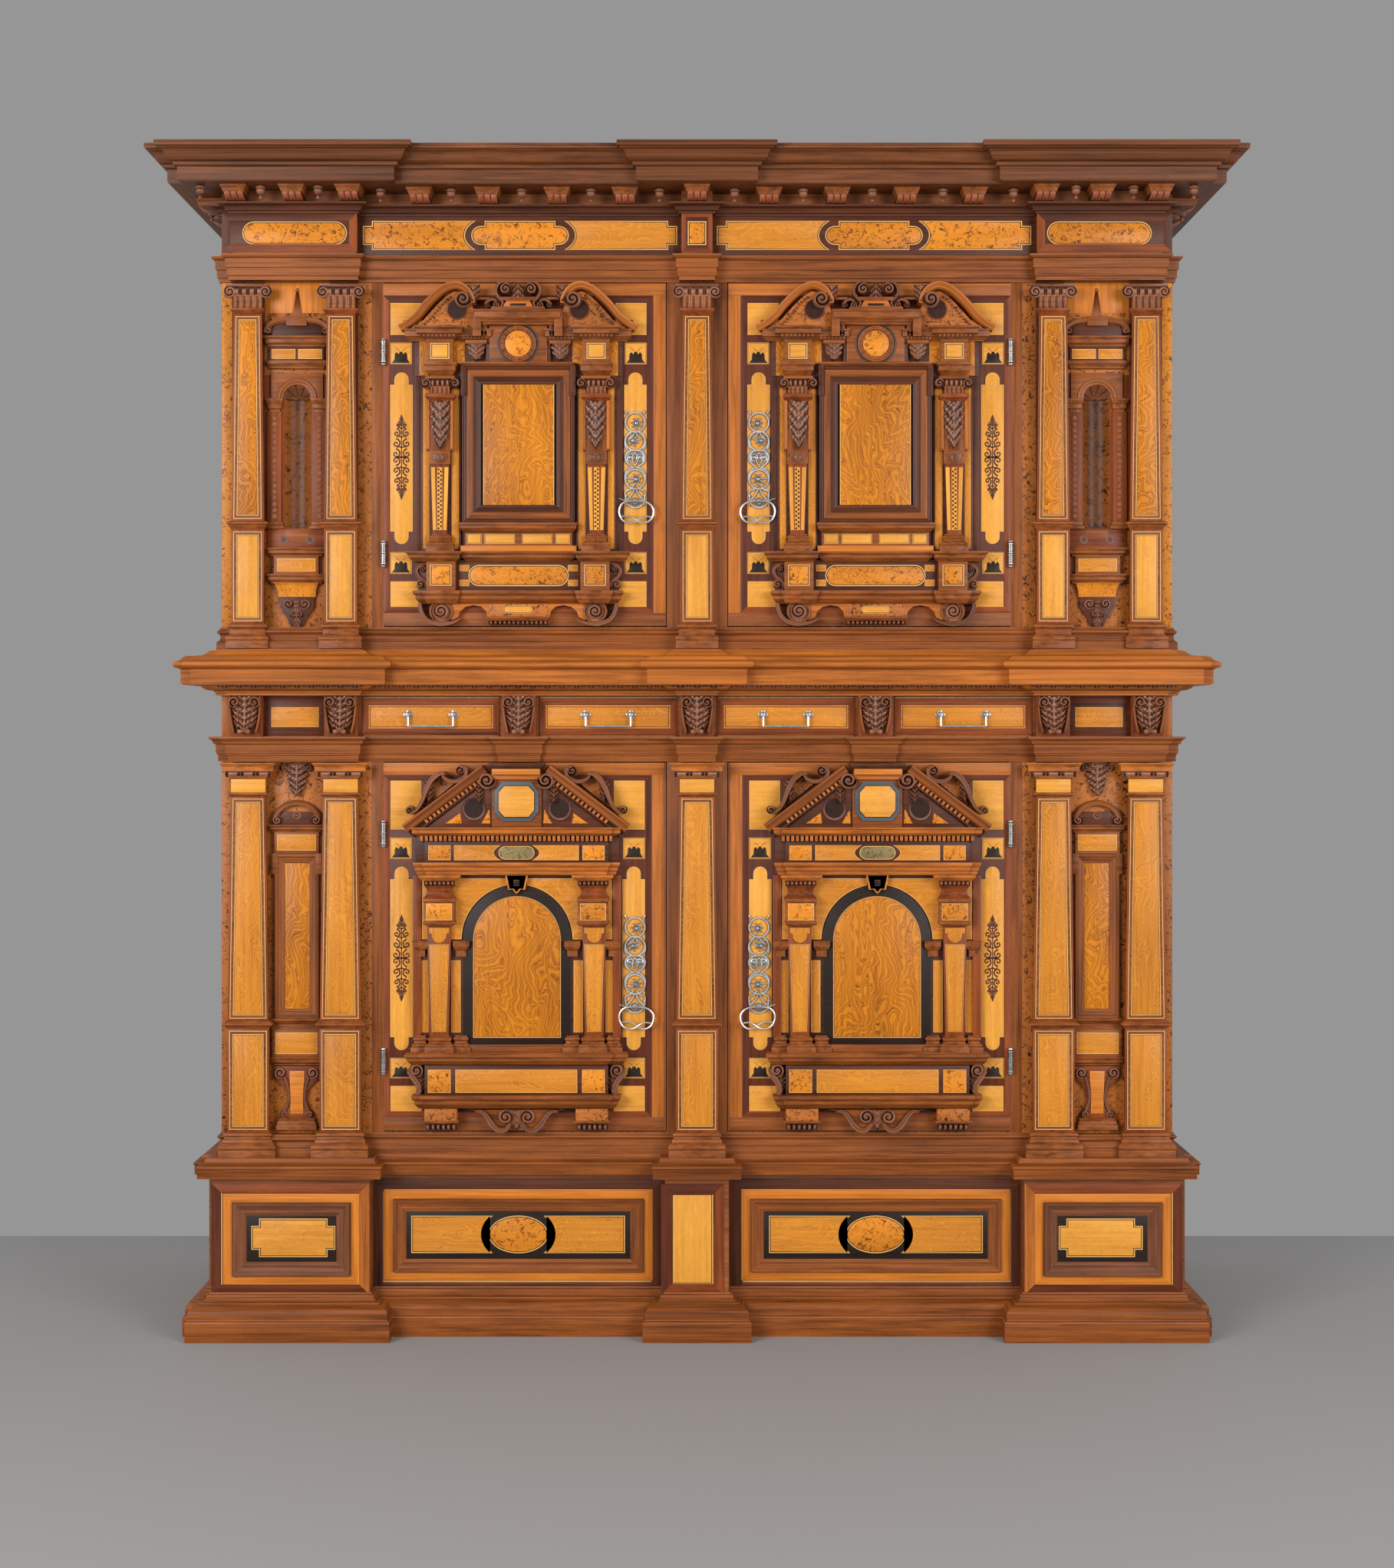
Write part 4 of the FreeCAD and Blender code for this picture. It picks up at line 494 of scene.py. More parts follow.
def soften(profile, radius, closed=False):
    """Rounds every corner over a radius. Gives points, and a relief that is positive on
    corners that turn left (they stand proud) and negative in those that turn right."""
    profile = np.asarray(profile, float)
    before = np.roll(profile, 1, 0)
    after = np.roll(profile, -1, 0)
    if not closed:
        before[0], after[-1] = profile[0], profile[-1]
    way_in, way_out = profile - before, after - profile
    long_in, long_out = (np.maximum(np.linalg.norm(way, axis=1), 1e-9)
                         for way in (way_in, way_out))
    turn = np.arctan2(way_in[:, 0] * way_out[:, 1] - way_in[:, 1] * way_out[:, 0],
                      (way_in * way_out).sum(1))
    if not closed:
        turn[[0, -1]] = 0
    # The wood recipes brighten a positive relief, part rubbed wear and part painted highlight,
    # and darken a negative relief as painted shade.
    points, relief = [], []
    for i, place in enumerate(profile):
        if abs(turn[i]) < 0.25:
            points.append(place)
            relief.append(0.0)
            continue
        reach = min(radius, 0.4 * long_in[i], 0.4 * long_out[i])
        a = place - way_in[i] / long_in[i] * reach
        b = place + way_out[i] / long_out[i] * reach
        points += [a, 0.25 * a + 0.5 * place + 0.25 * b, b]
        strength = min(1.0, abs(turn[i]) / 1.4)
        relief += [0.0, strength if turn[i] > 0 else -strength, 0.0]
    return np.array(points), np.array(relief)


def stretched(values, count):
    """The values drawn out evenly to so many."""
    return np.interp(np.linspace(0, 1, count), np.linspace(0, 1, len(values)), values)


def run_length(points):
    """How far along the line each point lies."""
    steps = np.linalg.norm(np.diff(points, axis=0), axis=1)
    return np.concatenate([[0], np.cumsum(steps)])


# %% Stack, course, tablet
ARRIS = 0.9 * MM


def stack(piece, wood_name, x, y_back, y_front, profile, arris=ARRIS):
    """A rectangle at each (out, z) of the profile: it reaches out past x and y_front."""
    profile, wear_and_shading = soften(profile, arris)
    out, z = profile.T[..., None]
    left, right = x[0] - out, x[1] + out
    front = y_front - out
    back = np.full_like(out, y_back)
    near, nearer = front + arris, front + arris * 0.3
    xs = np.concatenate([left, left, left + arris * 0.3, left + arris,
                         right - arris, right - arris * 0.3, right, right], axis=1)
    ys = np.concatenate([back, near, nearer, front, front, nearer, near, back], axis=1)
    count = xs.shape[1]
    zs = np.repeat(z, count, axis=1)
    points = np.stack([xs, ys, zs], axis=-1)
    faces = tube_faces(len(profile), count)
    along = xs - ys * np.sign(xs - (x[0] + x[1]) / 2)
    climb = np.repeat(run_length(profile)[:, None], count, axis=1)
    grain = np.stack([along, climb], axis=-1)
    # The columns beside each upright arris get a relief of 0.75: a brightened edge, part rubbed
    # wear and part painted highlight.
    corner = np.array([0, 0, 0.75, 0, 0, 0.75, 0, 0])
    wear_and_shading = wear_and_shading[:, None]
    piece.add(wood_name, points, faces, grain,
              np.maximum(wear_and_shading, corner) * (wear_and_shading >= -0.1) + np.minimum(wear_and_shading, 0))


def course(piece, wood_name, plan, profile, arris=ARRIS):
    """A closed profile (out, z) carried along the plan. At a corner it is offset along
    (n1 + n2) / (1 + n1 . n2), the mitre of the two outward normals."""
    plan = np.asarray(plan, float)
    ways = np.diff(plan, axis=0)
    ways /= np.linalg.norm(ways, axis=1)[:, None]
    normals = np.stack([ways[:, 1], -ways[:, 0]], axis=1)
    first, second = np.vstack([normals[:1], normals]), np.vstack([normals, normals[-1:]])
    mitre = (first + second) / (1 + (first * second).sum(1))[:, None]
    profile, wear_and_shading = soften(profile, arris, closed=True)
    out, z = profile.T
    xs = plan[:, 0] + out[:, None] * mitre[:, 0]
    ys = plan[:, 1] + out[:, None] * mitre[:, 1]
    zs = np.repeat(z[:, None], len(plan), axis=1)
    rows, columns = xs.shape
    faces = [grid_faces(rows, columns, close_rows=True), np.arange(rows) * columns,
             np.arange(rows) * columns + columns - 1]
    way = run_length(plan)
    climb = run_length(profile)
    grain = np.stack(np.broadcast_arrays(way[None, :], climb[:, None]), axis=-1)
    piece.add(wood_name, np.stack([xs, ys, zs], axis=-1), faces, grain,
              np.repeat(wear_and_shading[:, None], columns, axis=1))


def inset(outline, distance):
    """The outline moved inwards: each corner goes along the mitre of its two sides."""
    outline = np.asarray(outline, float)
    ways = np.roll(outline, -1, 0) - outline
    ways /= np.maximum(np.linalg.norm(ways, axis=1), 1e-9)[:, None]
    inwards = np.stack([-ways[:, 1], ways[:, 0]], axis=1)
    before = np.roll(inwards, 1, 0)
    mitre = (inwards + before) / np.maximum(1 + (inwards * before).sum(1), 0.35)[:, None]
    return outline + mitre * distance


def anticlockwise(outline):
    outline = np.asarray(outline, float)
    x, z = outline.T
    area = np.sum(x * np.roll(z, -1) - np.roll(x, -1) * z)
    return outline if area > 0 else outline[::-1]


def tablet(piece, wood_name, outline, back, front, bevel=0.5 * MM, upright=False, wear_and_shading=0.6):
    """A board cut to an outline (x, z) between two depths, its front edge bevelled."""
    outline = anticlockwise(outline)
    # The ring a third of the way into the bevel takes the given relief: a brightened edge, part
    # rubbed wear and part painted highlight.
    rings = [(outline, back, 0.0), (outline, front + bevel, 0.0),
             (inset(outline, bevel * 0.3), front + bevel * 0.3, wear_and_shading),
             (inset(outline, bevel), front, 0.0)]
    count = len(outline)
    points = np.concatenate([np.stack([ring[:, 0], np.full(count, y), ring[:, 1]], axis=1)
                             for ring, y, _ in rings])
    relief = np.concatenate([np.full(count, value) for _, _, value in rings])
    grain = points[:, [2, 0]] if upright else points[:, [0, 2]]
    piece.add(wood_name, points, tube_faces(len(rings), count), grain, relief)


def board(piece, wood_name, x, z, back, front, bevel=0.6 * MM, upright=False, wear_and_shading=0.6):
    tablet(piece, wood_name, rectangle(x, z), back, front, bevel, upright, wear_and_shading)


def band(piece, wood_name, outer, inner, back, front):
    """A flat strip between two outlines with as many corners, such as a string."""
    outer, inner = np.asarray(outer, float), np.asarray(inner, float)
    count = len(outer)
    rings = [(outer, back), (outer, front), (inner, front), (inner, back)]
    points = np.concatenate([np.stack([ring[:, 0], np.full(count, y), ring[:, 1]], axis=1)
                             for ring, y in rings])
    piece.add(wood_name, points, [grid_faces(4, count, close_rows=True, close_columns=True)])


def picture_frame(piece, woods, x, z, profile, back, arris=ARRIS):
    """Four mitred lengths round a rectangle. The profile gives (distance in from the
    outline, distance proud of back); each length is its own grid so the grain turns."""
    profile, wear_and_shading = soften(profile, arris)
    corners = np.array(rectangle(x, z))
    inward = np.array([(1, 1), (-1, 1), (-1, -1), (1, -1)])
    rows = len(profile)
    climb = np.repeat(run_length(profile)[:, None], 2, axis=1)
    for i in range(4):
        ends = []
        for k in (i, (i + 1) % 4):
            place = corners[k] + profile[:, :1] * inward[k]
            ends.append(np.column_stack([place[:, 0], back - profile[:, 1], place[:, 1]]))
        points = np.stack(ends, axis=1)
        faces = [grid_faces(rows, 2, close_rows=True), np.arange(rows) * 2,
                 np.arange(rows) * 2 + 1]
        way = points[..., 0] if i % 2 == 0 else points[..., 2]
        piece.add(woods if isinstance(woods, str) else woods[i], points, faces,
                  np.stack([way, climb], axis=-1), np.repeat(wear_and_shading[:, None], 2, axis=1))


def rectangle(x, z):
    return [(x[0], z[0]), (x[1], z[0]), (x[1], z[1]), (x[0], z[1])]


def shrink(span, distance):
    return span[0] + distance, span[1] - distance


LIFT = 0.25 * MM         # how far a veneer stands proud of its ground


def inlay(piece, outline, face_y, bands, field, upright=False):
    """Strings given as (width in mm, wood) from the outside in, then the field. Each is a
    little prouder than the last, so that nothing lies in one plane."""
    outline = anticlockwise(outline)
    front = face_y
    for width, wood_name in bands:
        inner = inset(outline, width * MM)
        front = front - LIFT * 0.3
        band(piece, wood_name, outline, inner, face_y + LIFT, front)
        outline = inner
    if field:
        tablet(piece, field, outline, face_y + LIFT, front - LIFT * 0.2, 0.02 * MM, upright, 0)


AXIS = -0.357            # x of the middle of the upper left door's portal


def pixels(x0, x1, y0, y1, proud):
    """Two spans in metres, x then z, from the pixels of a rectangle's sides. With no x1
    the rectangle is even about the axis of the left door."""
    left = across(x0, proud)
    right = 2 * AXIS - left if x1 is None else across(x1, proud)
    return (left, right), (up(y1, proud), up(y0, proud))


def arc(centre, radius, start, stop, steps):
    """Points of a circular or elliptical arc, with the angles in degrees."""
    turn = np.radians(np.linspace(start, stop, steps + 1))
    radius = np.broadcast_to(radius, 2)
    return [(centre[0] + radius[0] * np.cos(t), centre[1] + radius[1] * np.sin(t))
            for t in turn]


def stadium(x, z):
    """A rectangle with half round ends."""
    radius, middle = (z[1] - z[0]) / 2, (z[0] + z[1]) / 2
    return (arc((x[1] - radius, middle), radius, -90, 90, 10)
            + arc((x[0] + radius, middle), radius, 90, 270, 10))


def notched(x, z, cut_x, cut_z):
    """A rectangle with its four corners stepped in."""
    return [(x[0] + cut_x, z[0]), (x[1] - cut_x, z[0]), (x[1] - cut_x, z[0] + cut_z),
            (x[1], z[0] + cut_z), (x[1], z[1] - cut_z), (x[1] - cut_x, z[1] - cut_z),
            (x[1] - cut_x, z[1]), (x[0] + cut_x, z[1]), (x[0] + cut_x, z[1] - cut_z),
            (x[0], z[1] - cut_z), (x[0], z[0] + cut_z), (x[0] + cut_x, z[0] + cut_z)]


# %% [markdown]
# From here on almost everything is small: tablets, strips, blocks with a moulding round
# them. Naming each by its four sides in the photograph keeps the numbers honest, so these
# helpers take pixels for the sides and millimetres for the depth.

# %% Boards, mouldings and tablets by their pixels
STRINGS = [(1.9, "string"), (1.5, "ebonised")]
THIN = [(0.9, "string")]


def slab(piece, wood_name, x0, x1, y0, y1, front, bevel=0.5, upright=False, wear_and_shading=0.6,
         back=-1):
    """A board between four pixel sides, from one depth to another in millimetres."""
    x, z = pixels(x0, x1, y0, y1, front)
    board(piece, wood_name, x, z, fore(back), fore(front), bevel * MM, upright, wear_and_shading)


def traced(points, proud):
    """An outline (x, z) from pixels of the photograph."""
    return [(across(x, proud), up(y, proud)) for x, y in points]


def cut(piece, wood_name, points, back, front, bevel=0.4, upright=False):
    tablet(piece, wood_name, traced(points, front), fore(back), fore(front), bevel * MM,
           upright)


def moulding(piece, wood_name, x0, x1, y0, y1, front, profile, arris=0.6):
    """A straight length with returned ends. The profile is (out in mm, share of height)
    from the foot up, and its greatest reach lies on the pixel sides."""
    x, z = pixels(x0, x1, y0, y1, front)
    reach = max(out for out, _ in profile)
    steps = [((out - reach) * MM, z[0] + (z[1] - z[0]) * share) for out, share in profile]
    stack(piece, wood_name, x, fore(-1), fore(front), steps, arris * MM)


def panelled(piece, x0, x1, y0, y1, proud, field, strings=STRINGS, upright=False):
    x, z = pixels(x0, x1, y0, y1, proud)
    inlay(piece, rectangle(x, z), fore(proud), strings, field, upright)


# %% [markdown]
# ## Courses that run round the case
# Seven mouldings run round the front and both sides and break forward at both ends and in
# the middle. Each is one profile, read from the photograph in millimetres and carried along
# the plan of the CAD.

# %% Plans of the case and of the plinth
BACK = 0.3747            # the mouldings stop just short of the back of the case


def broken_plan(half, set_in, step, bay_in, centre):
    """Left half of the plan, from the back to the middle, and its mirror image."""
    near = FACE - step
    left = [(-half, BACK), (-half, FACE), (set_in - half, FACE), (set_in - half, near),
            (-bay_in, near), (-bay_in, FACE), (-centre, FACE), (-centre, near)]
    return left + [(-x, y) for x, y in reversed(left)]


BODY_HALF, BAY_EDGE, POST_HALF, STEP = 0.953, 0.680, 0.031, 0.025
CASE_PLAN = broken_plan(BODY_HALF, 0.025, STEP, BAY_EDGE, POST_HALF)
SMALL_BREAK = [(-0.392, FACE), (-0.392, FACE - 0.010), (-0.319, FACE - 0.010), (-0.319, FACE)]
GIRT_PLAN = (CASE_PLAN[:6] + SMALL_BREAK + CASE_PLAN[6:-6]
             + [(-x, y) for x, y in reversed(SMALL_BREAK)] + CASE_PLAN[-6:])
PIER_STEP, PIER_HALF, PLINTH_HALF, PIER_EDGE = 0.046, 0.063, 0.978, 0.649
PLINTH_PLAN = broken_plan(PLINTH_HALF, 0.015, PIER_STEP, PIER_EDGE, PIER_HALF)


def in_metres(profile):
    return (np.asarray(profile, float) * MM).tolist()


FOOT = [(-20, 0), (44, 0), (44, 39), (42.5, 41), (40, 42), (40, 44),
        *curve((39, 45), (23, 69), 0.27, 9), (21, 70), (21, 72.5),
        *curve((20, 73), (9, 79), -0.16, 4), (9, 80.5), *curve((9, 81), (5, 86), 0.3, 4),
        (4, 86.5), (4, 90), (-20, 90)]
CAP = [(-20, 312), (4, 312), (4, 314), *curve((5, 314.5), (9, 317), 0.2, 3), (24, 318), (24, 337),
       *curve((26, 339), (25, 343), 0.25, 3), (20, 345), *curve((18, 345.5), (11, 353), -0.15, 4),
       (10, 356.3), (-45, 356.3)]
GIRT = [(-20, 1142), (6, 1142), (6, 1155), (8, 1156), (8, 1158), (10, 1159), (10, 1176),
        *curve((11, 1177), (15, 1181), 0.25, 3), (15, 1182.5),
        *curve((16, 1183), (21, 1187), -0.15, 3), (22, 1188), (22, 1192), (-20, 1192)]
LINTEL = [(-20, 2102), (5, 2102), (5, 2109), *curve((5.5, 2109.5), (8, 2112), 0.25, 3),
          (8, 2125), *curve((8.5, 2125.5), (11, 2128), 0.25, 3), (11, 2144),
          *curve((12, 2144.5), (17, 2148), 0.12, 3), (18, 2148.5), (18, 2152), (-20, 2152)]
BED = [(-20, 2235), (6, 2235), (6, 2238), *curve((7, 2238.5), (12, 2243), 0.2, 3),
       *curve((12.5, 2243.5), (19, 2249), -0.18, 4), (22, 2250), (24, 2251), (24, 2254),
       (-20, 2254)]
CROWN = [(-20, 2280), (84, 2280), (84, 2281.5), (88, 2281.5), (88, 2306), (90, 2307),
         *curve((91, 2307.5), (95, 2311), 0.3, 4), (95.5, 2311.5), (95.5, 2314),
         *curve((97, 2315), (108, 2325), 0.17, 6), *curve((108.2, 2325.2), (119, 2337), -0.17, 6),
         (120, 2338.5), (124, 2339.5), (125, 2341), (125, 2349), (123.5, 2350), (-20, 2349.6)]
WAIST = [(-20, 1274), (10, 1274), (10, 1279.5), (13, 1280), (13, 1283), (15, 1283.5),
         *curve((15, 1284), (36, 1294), 0.14, 6), (64, 1294.5), (64, 1296), (67, 1296),
         (67, 1325), (70, 1326), (72, 1327.5), (76, 1328),
         *curve((77, 1328.5), (77, 1340), 0.3, 6), (72, 1341), (70, 1342.5),
         *curve((68, 1343), (48, 1351), 0.2, 5), *curve((47, 1351.3), (22, 1362), -0.13, 5),
         (20, 1363), (17, 1363.5), (17, 1365), (-20, 1365)]

for name, plan, profile, wood_name, node in (
        ("foot", PLINTH_PLAN, FOOT, "walnut", "plinth_foot"),
        ("plinth_cap_course", PLINTH_PLAN, CAP, "walnut", "plinth_cap"),
        ("architrave_below_drawers", GIRT_PLAN, GIRT, "walnut", "girt_moulding"),
        ("waist_cornice_course", CASE_PLAN, WAIST, "walnut_light", "waist_cornice"),
        ("crown_architrave", CASE_PLAN, LINTEL, "walnut", "lintel_moulding"),
        ("bed_course", CASE_PLAN, BED, "walnut_dark", "bed_moulding"),
        # The crown cornice takes the darker copy of walnut, as painted shade.
        ("crown_cornice_course", CASE_PLAN, CROWN, "walnut_shaded", "crown_cornice")):
    lengths = Piece(name)
    course(lengths, wood_name, plan, in_metres(profile), arris=1.2 * MM)
    lengths.fit(replaces=node)

# Between the doors and the mouldings that the CAD has, each tier stands on a base course.
UPPER_BASE = [(-20, 1365), (9, 1365), (9, 1377), *curve((8.5, 1378), (7, 1382), 0.3, 3),
              (4, 1384), *curve((4, 1385), (3, 1396), -0.12, 3), (6, 1398),
              *curve((7, 1399), (6, 1404), 0.3, 3), (3, 1406), (3, 1410), (-20, 1410)]
LOWER_BASE = [(-20, 356), (9.5, 356), (9.5, 366), *curve((9, 367), (7.5, 372), 0.3, 3),
              (5, 374), *curve((5, 375), (3, 386), -0.12, 3), (6, 388),
              *curve((7, 389), (6, 393), 0.3, 3), (3, 395), (3, 398), (-20, 398)]
bases = Piece("base_courses")
for profile in (UPPER_BASE, LOWER_BASE):
    course(bases, "walnut", CASE_PLAN, in_metres(profile))
bases.fit()

# %% [markdown]
# ## Plinth
# Each end block is a frame inside a frame: a mitred plum border, a light and a dark string,
# a honey band, a ribbed moulding that slopes down to a black field, and a notched tablet of
# pale veneer on it. The long panels between the piers are alike, with an oval of burl that
# cuts the pale veneer in two.

# %% Plinth panels
RIBBED = [(0, -1), (0, 7), (0.6, 8), (2.4, 8), (3, 7), (4.2, 7), (5, 6.4), (5.6, 6.6), (6.6, 6.4),
          (8, 4.6), (11, 3), (14, 2.2), (17, 2), (17.8, 3), (20.5, 3), (21.2, 2), (24, 1.8),
          (26.5, 0.3), (26.5, -1)]


def ribbed_frame(piece, wood_name, x, z, face_y, wide):
    scale = wide / 26.5
    profile = [(a * scale * MM, b * MM) for a, b in RIBBED]
    picture_frame(piece, wood_name, x, z, profile, face_y, arris=0.5 * MM)


def flat_frame(piece, woods, x, z, wide, face_y, thick=0.5):
    picture_frame(piece, woods, x, z, [(0, -MM), (0, thick * MM), (wide * MM, thick * MM),
                                       (wide * MM, -MM)], face_y, arris=0.25 * MM)


panels = Piece("plinth_panels_dressed")
y = fore(46)
flat_frame(panels, ("plum", "walnut_light", "walnut_red", "plum"),
           *pixels(275.6, 481.5, 1542.3, 1687.5, 46), 19.4, y)
panelled(panels, 288.3, 470.5, 1553.6, 1676.4, 46, None)
flat_frame(panels, "honey", *pixels(290.6, 468.6, 1555.8, 1674.6, 46), 17.6, y, 0.6)
panelled(panels, 302.3, 457.6, 1566.2, 1663.8, 46, None, [(1.4, "ebonised")])
ribbed_frame(panels, "carved", *pixels(303.2, 456.7, 1567.0, 1663.0, 46), y, 28)
board(panels, "ebonised", *pixels(320, 440, 1579, 1650, 46), y + MM, y - 0.3 * MM)
x, z = pixels(327.6, 437.0, 1588.4, 1638.6, 46)
inlay(panels, notched(x, z, 15.4 * MM, 14.6 * MM), y - 0.4 * MM, STRINGS, "maple")
panels.twin()

first = len(panels.surfaces)
y = fore(0.5)
flat_frame(panels, "walnut_dark", *pixels(482.5, 866, 1536, 1690, 0), 26, y, 0.6)
inlay(panels, rectangle(*pixels(498.5, 852.8, 1548.2, 1670.6, 0)), y - 0.3 * MM, STRINGS, None)
flat_frame(panels, "honey", *pixels(500.4, 850.9, 1550.0, 1668.8, 0), 19.0, y, 0.7)
ribbed_frame(panels, "walnut", *pixels(513, 838.4, 1562.4, 1657.6, 0), y, 26)
board(panels, "ebonised", *pixels(528, 823, 1576, 1644, 0), y + MM, y - 0.3 * MM)
middle = (across(675.6), up(1609))
gap = (46.5 / PER_MM * MM, 34.6 / PER_MM * MM)      # radii of the black ring's outer edge
x, z = pixels(536.2, 814.6, 1584.6, 1633.2, 0)
reach = np.degrees(np.arcsin((z[1] - z[0]) / 2 / gap[1]))
for side in (-1, 1):
    bow = arc(middle, gap, reach, -reach, 14)
    if side < 0:
        bow = [(2 * middle[0] - a, b) for a, b in bow]
    edge = x[side > 0]
    inlay(panels, bow + [(edge, z[0]), (edge, z[1])], y - 0.4 * MM, STRINGS, "ash_fine")
inlay(panels, arc(middle, (38.8 / PER_MM * MM, 24.6 / PER_MM * MM), 0, 350, 35), y - 0.4 * MM,
      STRINGS, "burl")
panels.twin(first)

y = fore(46)
flat_frame(panels, ("walnut_red", "walnut_red", "plum", "plum"),
           *pixels(861.6, 944, 1543, 1688, 46), 22, y)
inlay(panels, rectangle(*pixels(874.8, 929.4, 1555.6, 1674.4, 46)), y - 0.3 * MM, STRINGS,
      "maple", upright=True)
panels.fit(replaces="plinth_panels")

# %% [markdown]
# ## Pilasters
# Ten pilasters, five to a tier. Their shafts taper, so base, band, collar and capital are
# stacks, and the shaft is a tablet cut to a trapezium with a field of curly ash inside two
# strings and a brown band. Carved capitals come from a height field: the volute is a spiral
# groove, read off the angle plus a power of the distance from its eye.

# %% Carving helpers
def carve(piece, wood_name, x, y, z, back, gain=1.0):
    """A solid with a carved front. x, y and z are grids; the rim is carried to the back.
    The relief is the height above the mean of the neighbours."""
    x, y, z = (np.asarray(part, float) for part in np.broadcast_arrays(x, y, z))
    height = -y
    # The relief is the height above the neighbours: the wood recipe brightens the heights, part
    # wear and part painted highlight, and darkens the hollows as painted shade.
    mean = sum(np.pad(height, 1, mode="edge")[a:a + height.shape[0], b:b + height.shape[1]]
               for a, b in ((0, 1), (2, 1), (1, 0), (1, 2), (0, 0), (2, 2), (0, 2), (2, 0))) / 8
    relief = np.clip((height - mean) / MM * 2.4 * gain, -1, 1)
    rim = [np.pad(part, 1, mode="edge") for part in (x, y, z)]
    rim[1][[0, -1], :] = back
    rim[1][:, [0, -1]] = back
    rows, columns = rim[0].shape
    number = np.arange(rows * columns).reshape(rows, columns)
    around = np.concatenate([number[0, :-1], number[:-1, -1], number[-1, :0:-1],
                             number[:0:-1, 0]])
    piece.add(wood_name, np.stack(rim, axis=-1), [grid_faces(rows, columns), around],
              relief=np.pad(relief, 1, mode="edge"))


def turned(piece, wood_name, centre, profile, axis="z", sides=16, wear_and_shading=None, flat=1.0):
    """A lathe form: (radius, distance along the axis) in mm from the centre, closed by a
    small flat at either end. The axis y points out of the front; flat squeezes the form."""
    radius, along = np.asarray(profile, float).T * MM
    turn = np.linspace(0, 2 * np.pi, sides, endpoint=False)
    a, b = radius[:, None] * np.cos(turn), radius[:, None] * np.sin(turn) * flat
    c = np.repeat(along[:, None], sides, axis=1)
    order = {"z": (a, b, c), "y": (a, -c, b), "x": (c, a, b)}[axis]
    points = np.stack(order, axis=-1) + np.asarray(centre)
    grain = np.stack(np.broadcast_arrays(c, turn * radius.max()), axis=-1)
    # The relief is the bend of the profile: rings that swell are brightened, part wear and part
    # painted highlight, and grooves are darkened as painted shade.
    bend = np.zeros(len(radius))
    bend[1:-1] = radius[1:-1] - (radius[:-2] + radius[2:]) / 2
    relief = np.repeat(np.clip(bend / MM * 0.7, -1, 1)[:, None], sides, axis=1)
    piece.add(wood_name, points, tube_faces(len(radius), sides), grain,
              relief if wear_and_shading is None else wear_and_shading)


def boss(piece, wood_name, spot, depth, profile, sides, wear_and_shading=None):
    """A turned form that points out of the front, from a place (x, z) and a depth in mm."""
    turned(piece, wood_name, (spot[0], fore(depth), spot[1]), profile, "y", sides, wear_and_shading)


def volute(piece, centre, radius, back, proud, turns, hand, start):
    """A scroll: a dome with a spiral groove. Its phase is the angle over a full turn plus
    turns times the distance from the eye to the power 0.75; the eye itself is a button."""
    rings, sides = 20, 40
    share = np.linspace(0.04, 1, rings)[:, None]
    angle = np.linspace(0, 2 * np.pi, sides, endpoint=False)[None, :]
    turn = hand * (angle - math.radians(start)) / (2 * np.pi)
    phase = (turn + turns * (share ** 0.75)) % 1.0
    ridge = np.sin(np.pi * phase) ** 0.7
    eye = share < 0.22
    high = np.where(eye, 1.12 - (share / 0.22) ** 2 * 0.2, 1.0 - 0.55 * (1 - ridge)
                    - 0.18 * share ** 2)
    high = high * np.where(share > 0.93, 0.75, 1.0)
    x = centre[0] + radius * share * np.cos(angle)
    z = centre[1] + radius * share * np.sin(angle)
    y = back - proud * high
    # The relief follows the spiral: the ridge and eye are brightened, part wear and part painted
    # highlight, and the groove is darkened as painted shade.
    relief = np.clip(np.where(eye, 0.5, (ridge - 0.55) * 2.4), -1, 0.8)
    x, z = (np.vstack([part, part[-1:]]) for part in np.broadcast_arrays(x, z))
    y = np.vstack([y, np.full((1, sides), back)])
    relief = np.vstack([relief, relief[-1:]])
    points = np.stack([x, y, z], axis=-1)
    piece.add("carved", points, tube_faces(rings + 1, sides), points[..., [0, 2]], relief)


def scroll(piece, x, y, seen, radius, back, proud, turns, hand, start):
    """A volute by the pixel of its eye, seen at a depth; its own sizes in millimetres."""
    volute(piece, traced([(x, y)], seen)[0], radius * MM, fore(back), proud * MM, turns, hand,
           start)


def eggs(piece, x, z, back, low, high, count, dart=True):
    """A carved row: across u each egg is a half sine with a dart between two eggs, and the
    row swells from its foot to its head."""
    u = np.linspace(0, count, count * 12 + 1)[None, :]
    t = np.linspace(0, 1, 8)[:, None]
    share = u % 1.0
    egg = np.sqrt(np.clip(1 - ((share - 0.5) / 0.34) ** 2, 0, 1))
    if dart:
        egg = np.maximum(egg, 0.8 * np.clip(1 - np.minimum(share, 1 - share) / 0.07, 0, 1))
    swell = low + (high - low) * np.sin(t * np.pi / 2)
    body = np.clip(np.sin(np.clip(t * 1.15, 0, 1) * np.pi * 0.82 + 0.35), 0.1, 1)
    y = back - (swell * (0.45 + 0.55 * egg * body)) * MM
    carve(piece, "carved", x[0] + (x[1] - x[0]) * u / count, y, z[0] + (z[1] - z[0]) * t,
          back + MM, gain=0.8)


